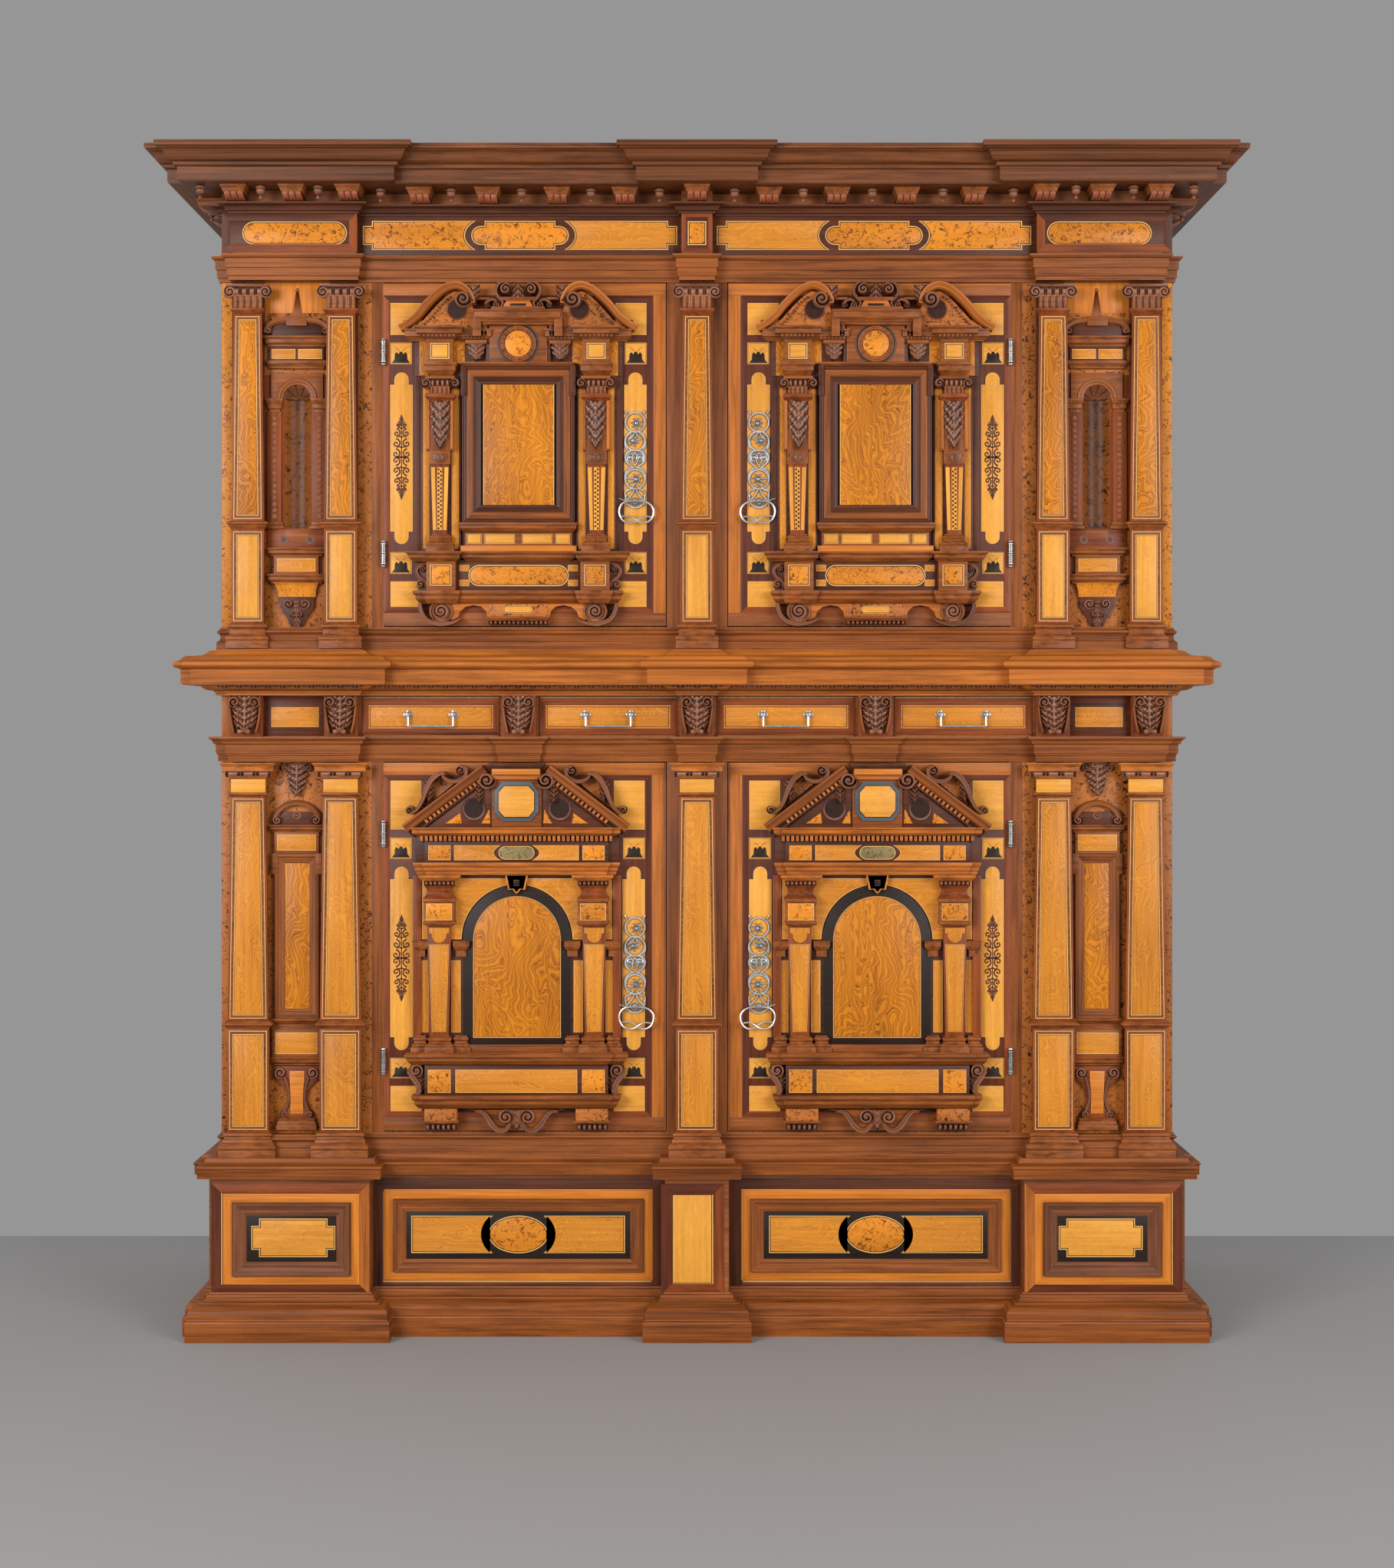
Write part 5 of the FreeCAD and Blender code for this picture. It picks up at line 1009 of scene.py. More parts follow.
# %% Pilasters of both tiers
def fluted(piece, x, z, back, proud, count):
    """A neck with round-headed flutes: cosine troughs that fade out at either end."""
    u = np.linspace(0, 1, count * 10 + 1)[None, :]
    t = np.linspace(0, 1, 9)[:, None]
    trough = np.clip(np.sin((u * (count + 0.3) - 0.15) * np.pi) ** 2 - 0.25, 0, 1) / 0.75
    inside = np.clip(1.25 - np.abs(t - 0.5) * 2.6, 0, 1) ** 0.5
    y = back - (proud - 2.4 * trough * inside) * MM
    carve(piece, "walnut", x[0] + (x[1] - x[0]) * u, y, z[0] + (z[1] - z[0]) * t, back + MM)


def shaft(piece, x_foot, x_head, z, back, proud, field):
    """A tapering shaft with a field inside two strings and a brown band."""
    outline = [(x_foot[0], z[0]), (x_foot[1], z[0]), (x_head[1], z[1]), (x_head[0], z[1])]
    front = back - proud * MM
    tablet(piece, "walnut_red", outline, back, front, 0.8 * MM, upright=True)
    inner = inset(outline, 4.2 * MM)
    inlay(piece, inner, front, [(1.5, "string"), (0.6, "walnut_dark"), (3.8, "walnut"),
                                (0.6, "walnut_dark"), (1.5, "string"), (0.8, "walnut_dark")],
          field, upright=True)


def pilaster(piece, tier, centre, proud):
    """Everything between two levels, from half widths read off the photograph in pixels.
    proud is the ground of the pilaster in millimetres; depths are added to it."""
    back = fore(proud - 0.2)

    def row(half, y0, y1, depth):
        wide = half / PER_MM * (1 - (proud + depth) / DISTANCE) * MM
        return (centre - wide, centre + wide), (up(y1, proud + depth), up(y0, proud + depth))

    def moulded(half, y0, y1, depth, profile, wood_name="walnut"):
        x, z = row(half, y0, y1, depth)
        steps = [(a * MM, z[0] + (z[1] - z[0]) * b) for a, b in profile]
        stack(piece, wood_name, x, back, fore(proud + depth), steps, 0.7 * MM)

    if tier == "upper":
        moulded(21.6, 812.5, 845, 8,
                [(9, 0), (9, 0.29), (8, 0.31), (9.5, 0.36), (9, 0.44), (6.5, 0.5), (3, 0.54),
                 (2, 0.64), (2.4, 0.78), (5, 0.82), (6.5, 0.86), (6.5, 0.92), (3, 0.97), (1, 1)])
        x, z = row(21.4, 690, 812.5, 8)
        shaft(piece, x, x, z, back, 8, "maple")
        moulded(21.6, 679, 690, 8,
                [(0, 0), (1, 0.12), (4, 0.38), (5, 0.55), (7.5, 0.62), (8, 0.78), (7, 0.86),
                 (1, 1)])
        foot, z = row(21.2, 409.5, 679, 8)
        head = row(18.2, 409.5, 679, 8)[0]
        shaft(piece, foot, head, z, back, 8, "ash")
        moulded(18.6, 402.6, 409.5, 8,
                [(0, 0), (1, 0.1), (5, 0.6), (6, 0.75), (6, 1)], "walnut_red")
        x, z = row(18.4, 384, 402.8, 8)
        fluted(piece, x, z, back, 7.5, 4)
        x, z = row(27, 369.6, 373, 14)
        stack(piece, "carved", x, back, fore(proud + 9.5),
              [(0, z[0]), (1.5 * MM, z[0] + 2 * MM), (1.5 * MM, z[1])], 0.6 * MM)
        x, z = row(20, 373, 385.5, 10)
        eggs(piece, x, z, back, 6, 10, 4)
        for side in (-1, 1):
            x, z = row(23.4, 379.6, 379.6, 10)
            place = x[0] if side < 0 else x[1]
            volute(piece, (place, z[0]), 12.4 * MM, back, 10.8 * MM, 2.1, -side, 60)
        return
    moulded(27.4, 1475.5, 1509, 8,
            [(14.5, 0), (14.5, 0.3), (13, 0.33), (15, 0.39), (15, 0.47), (12.5, 0.54), (8, 0.6),
             (7, 0.7), (4.5, 0.74), (4, 0.83), (6.5, 0.88), (5.5, 0.94), (1, 1)])
    x, z = row(27.2, 1341, 1475.5, 8)
    shaft(piece, x, x, z, back, 8, "ash_fine")
    moulded(27.4, 1330.5, 1341, 8,
            [(0, 0), (2, 0.15), (4, 0.35), (7.5, 0.45), (8, 0.65), (5, 0.75), (3.5, 0.9), (1, 1)])
    foot, z = row(26.8, 1038.5, 1330.5, 8)
    head = row(22.6, 1038.5, 1330.5, 8)[0]
    shaft(piece, foot, head, z, back, 8, "ash_fine")
    moulded(23.2, 1033, 1038.5, 8, [(0, 0), (2.5, 0.3), (5, 0.55), (4.5, 0.85), (1, 1)])
    x, z = row(22.4, 1013.6, 1033.2, 7)
    board(piece, "maple", x, z, back, fore(proud + 7), 0.8 * MM)
    moulded(22.6, 1011.5, 1015.5, 8, [(0, 0), (3, 0.4), (3, 1)])
    x, z = row(30, 1004.4, 1013, 12)
    eggs(piece, x, z, back, 8, 13, 3)
    moulded(30.5, 994.4, 1005.4, 9,
            [(3.5, 0), (4, 0.06), (4, 0.5), (5, 0.62), (7.5, 0.8), (8.5, 0.85), (8.5, 1)],
            "walnut_light")


for tier, node, left, inner in (("upper", "upper_pilasters", 322.6, 444.0),
                                ("lower", "lower_pilasters", 323.2, 443.6)):
    group = Piece(tier + "_pilasters_dressed")
    for pixel in (left, inner):
        pilaster(group, tier, across(pixel, 33), 25)
    group.twin()
    pilaster(group, tier, 0.0, 25)
    group.fit(replaces=node)

# %% [markdown]
# ## Crown
# The frieze is veneer on the crown boards. Under the corona stand twenty-five brackets with
# three carved reeds, and a turned acorn hangs between each two.

# %% Frieze veneers
crown = Piece("crown_veneers")
y = fore(25.2)
x, z = pixels(289.6, 465.4, 277.5, 328.6, 25)
flat_frame(crown, ("walnut_red", "walnut_red", "walnut_dark", "walnut_dark"), x, z, 16, y)
board(crown, "walnut_dark", shrink(x, 14 * MM), shrink(z, 14 * MM), y + MM, y - 0.2 * MM)
x, z = pixels(315.9, 452.3, 288.8, 319.1, 25)
inlay(crown, stadium(x, z), y - 0.4 * MM, STRINGS, "burl")
y = fore(0.4)
x, z = pixels(466.5, 888, 280, 333, 0)
board(crown, "walnut_dark", x, z, fore(-1), y)
x, z = pixels(473, 882.2, 288, 325.9, 0)
notch = 11.8 / PER_MM * MM
drop = 6.7 / PER_MM * MM
middle = (across(677.8), (z[0] + z[1]) / 2)
ring = 71.7 / PER_MM * MM
bow = 14 / PER_MM * MM
left_half = ([(x[0] + notch, z[0])]
             + [(middle[0] - ring + bow * (abs(t) ** 2.2), middle[1] + t * (z[1] - z[0]) / 2)
                for t in np.linspace(-1, 1, 15)]
             + [(x[0] + notch, z[1]), (x[0] + notch, z[1] - drop), (x[0], z[1] - drop),
                (x[0], z[0] + drop), (x[0] + notch, z[0] + drop)])
right_half = [(2 * middle[0] - a, b) for a, b in left_half]
for outline in (left_half, right_half):
    inlay(crown, outline, y, STRINGS, "burl" if outline is left_half else "ash_fine")
end = 12.2 / PER_MM * MM
half = 63.5 / PER_MM * MM
core = 46 / PER_MM * MM
high = (z[1] - z[0]) / 2
cartouche = ([(middle[0] - core, middle[1] - high), (middle[0] + core, middle[1] - high),
              (middle[0] + core, middle[1] - end)]
             + arc((middle[0] + half - end, middle[1]), end, -90, 90, 12)
             + [(middle[0] + core, middle[1] + end), (middle[0] + core, middle[1] + high),
                (middle[0] - core, middle[1] + high), (middle[0] - core, middle[1] + end)]
             + arc((middle[0] - half + end, middle[1]), end, 90, 270, 12)
             + [(middle[0] - core, middle[1] - end)])
inlay(crown, cartouche, y, STRINGS, "burl")
crown.twin()
y = fore(25.2)
x, z = pixels(888.4, 928.6, 277.5, 328.6, 25)
flat_frame(crown, "walnut_red", x, z, 9, y)
board(crown, "walnut_dark", shrink(x, 8 * MM), shrink(z, 8 * MM), y + MM, y - 0.2 * MM)
x, z = pixels(896.5, 920.5, 288.5, 319.5, 25)
inlay(crown, rectangle(x, z), y - 0.3 * MM, STRINGS, "burl", upright=True)
crown.fit()

# %% Brackets and drops
ABACUS = [(0, 2265.5), (0.5, 2266), (1.5, 2268.5), (1.5, 2269.5), (2.5, 2270), (2.5, 2271.5),
          (5, 2276), (6, 2277), (6, 2279.8)]


def bracket(piece, centre, ground):
    """Seen from below: three reeds that sweep from the bed moulding out to the abacus."""
    u = np.linspace(-1, 1, 25)[None, :]
    t = np.linspace(0, 1, 9)[:, None]
    reed = np.abs(np.sin((u + 1) * 1.5 * np.pi)) ** 0.45
    sweep = 24 + 31 * np.sin(t * np.pi / 2) ** 1.2
    y = fore(ground + sweep - 3.4 * (1 - reed))
    half = 19.5 * MM
    carve(piece, "walnut_red", centre + u * half, y, (2254.2 + 11.8 * t ** 1.5) * MM,
          fore(ground - 1))
    steps = [(a * MM, b * MM) for a, b in ABACUS]
    x = (centre - half, centre + half)
    stack(piece, "walnut", x, fore(ground - 1), fore(ground + 54.5), steps, 0.7 * MM)


DROP = [(5, 0), (6, -0.5), (6, -2), (9.3, -3), (9.5, -5.5), (8.4, -7), (8.8, -9), (8.6, -12),
        (7, -15.5), (4.4, -18), (2.6, -19.5), (2.4, -20.6), (3.2, -21.4), (4.1, -23.2),
        (3.9, -25.2), (2.6, -27), (0.6, -27.7)]
BRACKET_PIXELS = [(305.0, 25), (380.6, 25), (453.7, 25), (547.0, 0), (635.4, 0), (726.0, 0),
                  (814.7, 0)]
DROP_PIXELS = [(261.0, 25), (339.5, 25), (414.5, 25), (496.0, 0), (588.0, 0), (680.0, 0),
               (770.0, 0), (859.6, 0)]
DROP_TOP = 2.2798        # hidden in the underside of the cornice
brackets, drops = Piece("crown_brackets"), Piece("turned_drops")
for pixel, ground in BRACKET_PIXELS:
    bracket(brackets, across(pixel, ground + 45), ground)
for pixel, ground in DROP_PIXELS:
    turned(drops, "carved", (across(pixel, ground + 45), fore(ground + 45), DROP_TOP), DROP)


def turn_to_side(piece, first, centre_y):
    """Takes surfaces made about x = 0 on the case front to the left side of the case."""
    for i in range(first, len(piece.surfaces)):
        wood_name, points, faces, grain, relief = piece.surfaces[i]
        turned_points = np.column_stack([points[:, 1] - FACE - BODY_HALF,
                                         centre_y - points[:, 0], points[:, 2]])
        piece.surfaces[i] = (wood_name, turned_points, faces, grain, relief)


SIDE_PITCH = 0.116       # between the brackets of a side
for i in range(5):
    first = len(brackets.surfaces)
    bracket(brackets, 0.0, 0)
    turn_to_side(brackets, first, FACE + SIDE_PITCH * (i + 0.5))
for i in range(1, 5):
    turned(drops, "carved", (-BODY_HALF - 0.045, FACE + SIDE_PITCH * i, DROP_TOP), DROP)
brackets.twin()
bracket(brackets, 0.0, 25)
drops.twin()
brackets.fit(replaces="modillions")
drops.fit(replaces="crown_drops")


# %% [markdown]
# ## Lines and leaves
# Scrolls and raking cornices need a profile that follows a drawn line, and the carving needs
# leaves. A leaf could be a bent sheet with a cut edge; here it is a height field whose
# outline is lobed, so that it stays one closed solid on its ground.

# %% A profile along a drawn line
def drawn(points, steps):
    """A smooth line through the points: each span is a cubic, and its slope at either end is
    half the step between the points on both sides of that end."""
    p = np.asarray(points, float)
    p = np.vstack([2 * p[0] - p[1], p, 2 * p[-1] - p[-2]])
    t = np.linspace(0, 1, steps, endpoint=False)[None, :, None]
    a, b, c, d = (p[i:len(p) - 3 + i, None, :] for i in range(4))
    line = 0.5 * (2 * b + (c - a) * t + (2 * a - 5 * b + 4 * c - d) * t ** 2
                  + (3 * b - a - 3 * c + d) * t ** 3)
    return np.vstack([line.reshape(-1, 2), p[-2:-1]])


def sweep(piece, wood_name, line, profile, taper=(1, 1)):
    """The closed profile, (mm to the left of the line, mm proud), along the line (x, z).
    Each point goes along the normal, which is the tangent turned by a right angle."""
    line = np.asarray(line, float)
    way = np.gradient(line, axis=0)
    way /= np.linalg.norm(way, axis=1)[:, None]
    normal = np.stack([-way[:, 1], way[:, 0]], axis=1)
    profile, wear_and_shading = soften(profile, 0.6, closed=True)
    size = stretched(taper, len(line))
    off = profile[None, :, 0] * MM * size[:, None]
    x = line[:, None, 0] + normal[:, None, 0] * off
    z = line[:, None, 1] + normal[:, None, 1] * off
    y = np.broadcast_to(fore(profile[None, :, 1]), x.shape)
    grain = np.stack(np.broadcast_arrays(run_length(line)[:, None],
                                         run_length(profile)[None, :] * MM), axis=-1)
    # The relief is made positive on every rounded corner, so all edges of a swept profile are
    # brightened, part rubbed wear and part painted highlight.
    piece.add(wood_name, np.stack([x, y, z], axis=-1), tube_faces(*x.shape), grain,
              np.repeat(np.abs(wear_and_shading)[None, :], len(x), axis=0))


def curl(centre, radius, start, turns, steps):
    """A spiral line: the radius falls to a sixth while the angle runs through the turns."""
    t = np.linspace(0, 1, steps)
    turn = math.radians(start) + 2 * np.pi * turns * t
    reach = radius * (1 - 0.84 * t ** 0.8)
    return np.column_stack([centre[0] + reach * np.cos(turn), centre[1] + reach * np.sin(turn)])


def strap(width, back, front):
    """The profile of a carved band: a bead at either edge and a hollow between."""
    half = width / 2
    return [(-half, back), (half, back), (half, front - 0.8), (half * 0.72, front),
            (half * 0.45, front - 1.6), (-half * 0.45, front - 1.6), (-half * 0.72, front),
            (-half, front - 0.8)]


def carved_band(piece, points, seen, wide, back, front, taper=(1, 1), steps=5):
    """A carved strap along a smooth line through pixels, seen at a depth."""
    sweep(piece, "carved", drawn(traced(points, seen), steps), strap(wide, back, front), taper)


# %% Halves that are turned over
def whole(piece):
    """Adds the mirror image of every surface whose image isn't in the piece already."""
    def box(points):
        return tuple(np.round(np.concatenate([points.min(0), points.max(0)]), 5))

    there = {box(surface[1]) for surface in piece.surfaces}
    for wood_name, points, faces, grain, relief in list(piece.surfaces):
        image = points * [-1, 1, 1] + [2 * AXIS, 0, 0]
        if box(image) not in there:
            piece.add(wood_name, image, faces, grain, relief)


def even(points, proud):
    """An outline even about the axis, from the pixels of its left half."""
    half = traced(points, proud)
    return half + [(2 * AXIS - x, z) for x, z in reversed(half)]


# %% Leaves and rows of beads
def leaf(piece, x, z, back, proud, lobes=4, tip=-1, hollow=0.45, curl_out=0.5):
    """An acanthus leaf. Its half width falls from root to tip with a ripple of lobes. Its
    height is a vein, plus leaflets in chevrons: the sine of the way down it plus the
    distance from the vein, plus a curl towards the tip."""
    u = np.linspace(-1, 1, 21)[None, :]
    t = np.linspace(0, 1, 25)[:, None]
    lobe = np.abs(np.sin(np.pi * (t * lobes + 0.75))) ** 0.7
    half = (1 - t ** 2.4) ** 0.5 * (0.66 + 0.34 * lobe) * 0.98 + 0.02
    middle = (x[0] + x[1]) / 2
    gx = middle + (x[1] - x[0]) / 2 * half * u
    gz = (z[1] - (z[1] - z[0]) * t) if tip < 0 else (z[0] + (z[1] - z[0]) * t)
    gz = gz + (z[1] - z[0]) * 0.045 * np.abs(u) ** 1.5 * (-tip) * lobe
    rib = np.abs(np.sin(np.pi * (t * lobes + 0.75 * np.abs(u)))) ** 0.6
    rib = rib * (0.8 + 0.2 * np.cos(np.pi * 2 * (t * lobes * 3 + 2.2 * np.abs(u))))
    vein = np.exp(-(u / 0.11) ** 2)
    height = (0.5 * (1 - hollow * u ** 2) + 0.26 * rib * np.clip(np.abs(u) * 5, 0, 1)
              + 0.22 * vein + curl_out * t ** 3 * (1 - 0.5 * u ** 2))
    carve(piece, "carved", gx, back - proud * MM * height / (0.72 + curl_out * 0.6), gz,
          back + MM)


def beads(piece, wood_name, line, count, radius, back, proud):
    """Half-round beads evenly spaced along a line, each a dome of three small rings."""
    line = np.asarray(line, float)
    way = run_length(line)
    for spot in (np.arange(count) + 0.5) / count * way[-1]:
        centre = (np.interp(spot, way, line[:, 0]), back, np.interp(spot, way, line[:, 1]))
        turned(piece, wood_name, centre, [(radius, -1), (radius, proud * 0.4),
                                          (radius * 0.6, proud * 0.9), (radius * 0.1, proud)],
               axis="y", sides=8)


# %% [markdown]
# ## Doors
# Each leaf is a framed plum-brown field with pale tablets let into it, and a small portal of
# its own is planted on the middle. The tablets could be separate boards, but on the real
# door they are flush; a veneer a quarter of a millimetre proud shows the same edge and
# never flickers against the field. The dark scrollwork on the long tablets is drawn for this
# model, from spirals swept as thin strips. The right leaf is the left one mirrored.

# %% Leaf, border and tablets
TAB_LINE = [(0.9, "walnut_dark"), (0.7, "string")]
TAB_EDGE = [(0.8, "string"), (0.8, "walnut_dark")]


def long_tablet(x0, x1, top, shoulder, foot_shoulder, bottom, proud):
    """A long tablet whose round-headed tongue rises between two shoulders."""
    (a, b), (low, high) = pixels(x0, x1, top, bottom, proud)
    shoulder, foot = up(shoulder, proud), up(foot_shoulder, proud)
    middle, half = (a + b) / 2, (b - a) * 0.32
    head = arc((middle, high - half), half, 0, 180, 12)
    toe = arc((middle, low + half), half, 180, 360, 12)
    return ([(b, shoulder), (middle + half, shoulder)] + head + [(middle - half, shoulder),
            (a, shoulder), (a, foot), (middle - half, foot)] + toe
            + [(middle + half, foot), (b, foot)])


def scrollwork(piece, x, z, front):
    """Rows of paired spirals on a stem, with a leaf beside each and a bud at either end."""
    middle, centre = (x[0] + x[1]) / 2, (z[0] + z[1]) / 2
    half, high = (x[1] - x[0]) / 2, (z[1] - z[0]) / 2
    flat = [(-1, front - 0.6), (1, front - 0.6), (1, front + 0.15), (-1, front + 0.15)]
    sweep(piece, "walnut_dark", [(middle, z[0] + high * 0.1), (middle, z[1] - high * 0.1)],
          flat)
    for level, size, way in ((0.08, 0.60, 1), (0.32, 0.58, 1), (0.56, 0.52, 1), (0.76, 0.36, 1),
                             (-0.08, 0.60, -1), (-0.32, 0.58, -1), (-0.56, 0.52, -1),
                             (-0.76, 0.36, -1)):
        for side in (-1, 1):
            place = (middle + side * half * size * 0.95, centre + high * level)
            line = curl(place, half * size * 0.85, 90 if way > 0 else -90, 1.2 * side * way, 20)
            sweep(piece, "walnut_dark", line, flat, (1.7, 1.5, 1.0))
            beads(piece, "walnut_dark", [line[-1], line[-1] + 1e-4], 1, 2.1, fore(front), 0.2)
            root = (middle, centre + high * (level - 0.1 * way))
            line = drawn([root, (root[0] + side * half * 0.3, root[1] + way * high * 0.03),
                          (root[0] + side * half * 0.52, root[1] - way * high * 0.015)], 4)
            sweep(piece, "walnut_dark", line, flat, (1.2, 1.6, 0.5))
    for end in (-1, 1):
        tip, root = centre + end * high, centre + end * high * 0.82
        bud = [(middle, tip), (middle - half * 0.24, root + end * high * 0.05),
               (middle - half * 0.1, root), (middle + half * 0.1, root),
               (middle + half * 0.24, root + end * high * 0.05)]
        tablet(piece, "walnut_dark", bud, fore(front - 1), fore(front + 0.2), 0.05 * MM)


def bell_square(piece, x0, x1, y0, y1, proud):
    """A pale square with a dark bell standing in it and a shaded funnel above."""
    panelled(piece, x0, x1, y0, y1, proud, "maple", TAB_EDGE)
    wide, high = x1 - x0, y1 - y0
    shape = [(0.08, 0.94), (0.2, 0.78), (0.22, 0.52), (0.3, 0.44), (0.39, 0.54), (0.45, 0.42),
             (0.55, 0.42), (0.61, 0.54), (0.7, 0.44), (0.78, 0.52), (0.8, 0.78), (0.92, 0.94)]
    cut(piece, "ebonised", [(x0 + wide * a, y0 + high * b) for a, b in shape],
        proud - 1, proud + 0.35, 0.05)
    for side in (-1, 1):
        wedge = [(0.5, 0.46), (0.5 + side * 0.4, 0.12), (0.5 + side * 0.3, 0.2),
                 (0.5 + side * 0.14, 0.3)]
        cut(piece, "walnut", [(x0 + wide * a, y0 + high * b) for a, b in wedge],
            proud - 1, proud + 0.3, 0.05)


def leaf_front(piece, sides, rows, squares, long, low, scroll_rows):
    """sides: frame left, border left, border right, frame right. rows: top, under the top
    rail, over the bottom rail, bottom. The rest are rows of the tablets."""
    left, inner, outer, right = sides
    top, head, foot, bottom = rows
    slab(piece, "walnut_light", left, right, top, head, 0.5)
    slab(piece, "walnut", left, right, foot, bottom, 0.5)
    slab(piece, "walnut_light", outer, right, head, foot, 0.5, upright=True)
    x, z = pixels(left, outer, head, foot, 0.4)
    flat_frame(piece, ("walnut_red", "plum", "plum", "walnut_red"), x, z, 12.3, fore(0), 0.4)
    slab(piece, "plum", inner, outer - 8, head + 8, foot - 8, 0.2, 0.05, True, 0)
    for y0, y1 in (low[0], low[1]):
        panelled(piece, inner + 0.6, inner + 42, y0, y1, 0.3, "maple", TAB_LINE)
        panelled(piece, outer - 50, outer - 8.6, y0, y1, 0.3, "maple", TAB_LINE)
    for y0, y1 in squares:
        bell_square(piece, inner + 0.7, inner + 29, y0, y1, 0.3)
        bell_square(piece, outer - 37.4, outer - 9, y0, y1, 0.3)
    for x0, x1 in ((inner + 0.2, inner + 30.8), (outer - 38.8, outer - 8.4)):
        inlay(piece, long_tablet(x0, x1, *long, 0.3), fore(0.3), TAB_LINE, "maple", True)
    x, z = pixels(inner + 3, inner + 28, *scroll_rows, 0.6)
    scrollwork(piece, x, z, 0.75)


faces = {tier: Piece(f"door_{tier}_left_face") for tier in ("upper", "lower")}
leaf_front(faces["upper"], (499.5, 507.8, 851.8, 867.5), (369.4, 385.2, 799, 815.4),
           ((446.7, 474.8), (719.8, 748)), (485, 501, 693.5, 709.8),
           ((394.4, 437.2), (757.3, 791.6)), (540, 652))
leaf_front(faces["lower"], (499.8, 507.8, 849.6, 865.6), (994.2, 1010.4, 1456.6, 1473.4),
           ((1092, 1119.4), (1379, 1405.4)), (1129, 1145.5, 1352.5, 1369.4),
           ((1017, 1082), (1415, 1449)), (1192, 1306))
for tier, face in faces.items():
    face.fit_pair(f"door_{tier}_left")

# %% [markdown]
# ## The upper portal
# Swan necks over a window between two herm pillars, all standing on a pedestal with an
# apron. It could be modelled as one relief, yet the real one is built of blocks and lengths
# of moulding, and building it the same way gives every joint and return for nothing. Only
# the left half is written; the rest is turned over about the portal's axis.

# %% Swan necks, crest and raised cornice
# A relief of -0.9 over a whole disc: the wood recipe darkens it as painted shade, so that a flat
# disc reads as a recess.
SHADED_DISC = np.full((3, 28), -0.9)                # the relief of a shaded disc
order = Piece("door_upper_left_portal")
NECK = [(518, 422.5), (527, 417.4), (539.7, 407.2), (551, 393.2), (565.2, 379),
        (578, 369.6), (592, 365.7), (603.4, 368.3), (612.4, 375.3), (618, 385.5),
        (619.4, 394)]
swan = drawn(traced(NECK, 36), 5)
sweep(order, "walnut_light", swan[::-1],
      [(0, 6), (0, 33), (0.8, 36), (4.5, 35), (5.5, 32), (7.5, 31), (8.5, 28), (10.5, 27.5),
       (13.6, 22), (13.6, 6)])
cut(order, "burl_dark", [(534, 428), (540, 424.5), (552, 417), (561, 407), (571, 396),
                         (581, 386.5), (592, 380), (604, 382), (613, 392), (617.5, 404),
                         (617.5, 429)], -1, 15)
eye = (across(595.8, 16), up(403.4, 16))
boss(order, "walnut", eye, 15, [(21, -4), (21, 1.4), (20, 2.2), (18.6, 1.4), (18.2, 0.9)], 28)
# This plum disc is darkened as painted shade by its relief, so that it reads as sunk in its rim.
boss(order, "plum", eye, 15, [(18.4, 0), (18.4, 1.2), (1, 1.2)], 28, SHADED_DISC)
beads(order, "carved", drawn(traced([(551, 423), (561, 413.5), (571, 401.5), (580.5, 390.5),
                                     (588, 385)], 24), 4), 11, 2.6, fore(15), 6)
scroll(order, 602.8, 388.4, 40, 16.5, 12, 30, 2.2, -1, 20)
leaf(order, *pixels(607, 626, 371, 393, 34), fore(20), 16, 3, -1)
scroll(order, 528.5, 419.8, 30, 7, 4, 28, 1.5, 1, 200)
slab(order, "walnut", 620.7, 638, 387.4, 390.2, 22)

tablet(order, "walnut_light", even([(654, 402.8), (660, 391)], 25), fore(-1), fore(25), MM)
slab(order, "ebonised", 664.6, None, 395.4, 398.6, 25.6, 0.1, back=24)
slab(order, "walnut", 640, None, 399.4, 403.4, 30)
slab(order, "walnut_red", 652, None, 386.8, 391.4, 27)
for place, radius, hand in (((658.4, 375.4), 7.4, 1), ((647.2, 397.2), 5.4, 1),
                            ((634.6, 395.8), 3.6, -1), ((666.6, 389.4), 3.6, -1)):
    scroll(order, *place, 28, radius / PER_MM, 4, 24, 1.9, hand, 200)
for line in ([(664, 371), (656, 366.6), (648.6, 371), (646, 380), (650, 388), (655, 394),
              (652, 401)], [(647, 392), (641, 390), (636, 392), (631.6, 396)]):
    carved_band(order, line, 26, 5, 4, 27, (0.7, 1.1, 1.1, 0.7))
leaf(order, *pixels(666.6, None, 367.4, 390, 28), fore(10), 18, 3, 1)

CAPS = [(0, 0), (2, 0.1), (2, 0.16), (6, 0.2), (7, 0.3), (12, 0.44), (13, 0.5), (13, 0.84),
        (15, 0.9), (16, 1)]
moulding(order, "walnut", 616.2, None, 402.6, 421.4, 44, CAPS)
eggs(order, *pixels(624, None, 412.4, 419, 36), fore(24), 6, 10, 16)
slab(order, "walnut", 616.2, 626.6, 403, 437.8, 37)
beads(order, "carved", traced([(630.4, 421.5), (630.4, 437.5)], 30), 4, 2.8, fore(24), 7)
slab(order, "walnut", 626, 634.4, 420, 437.8, 25)

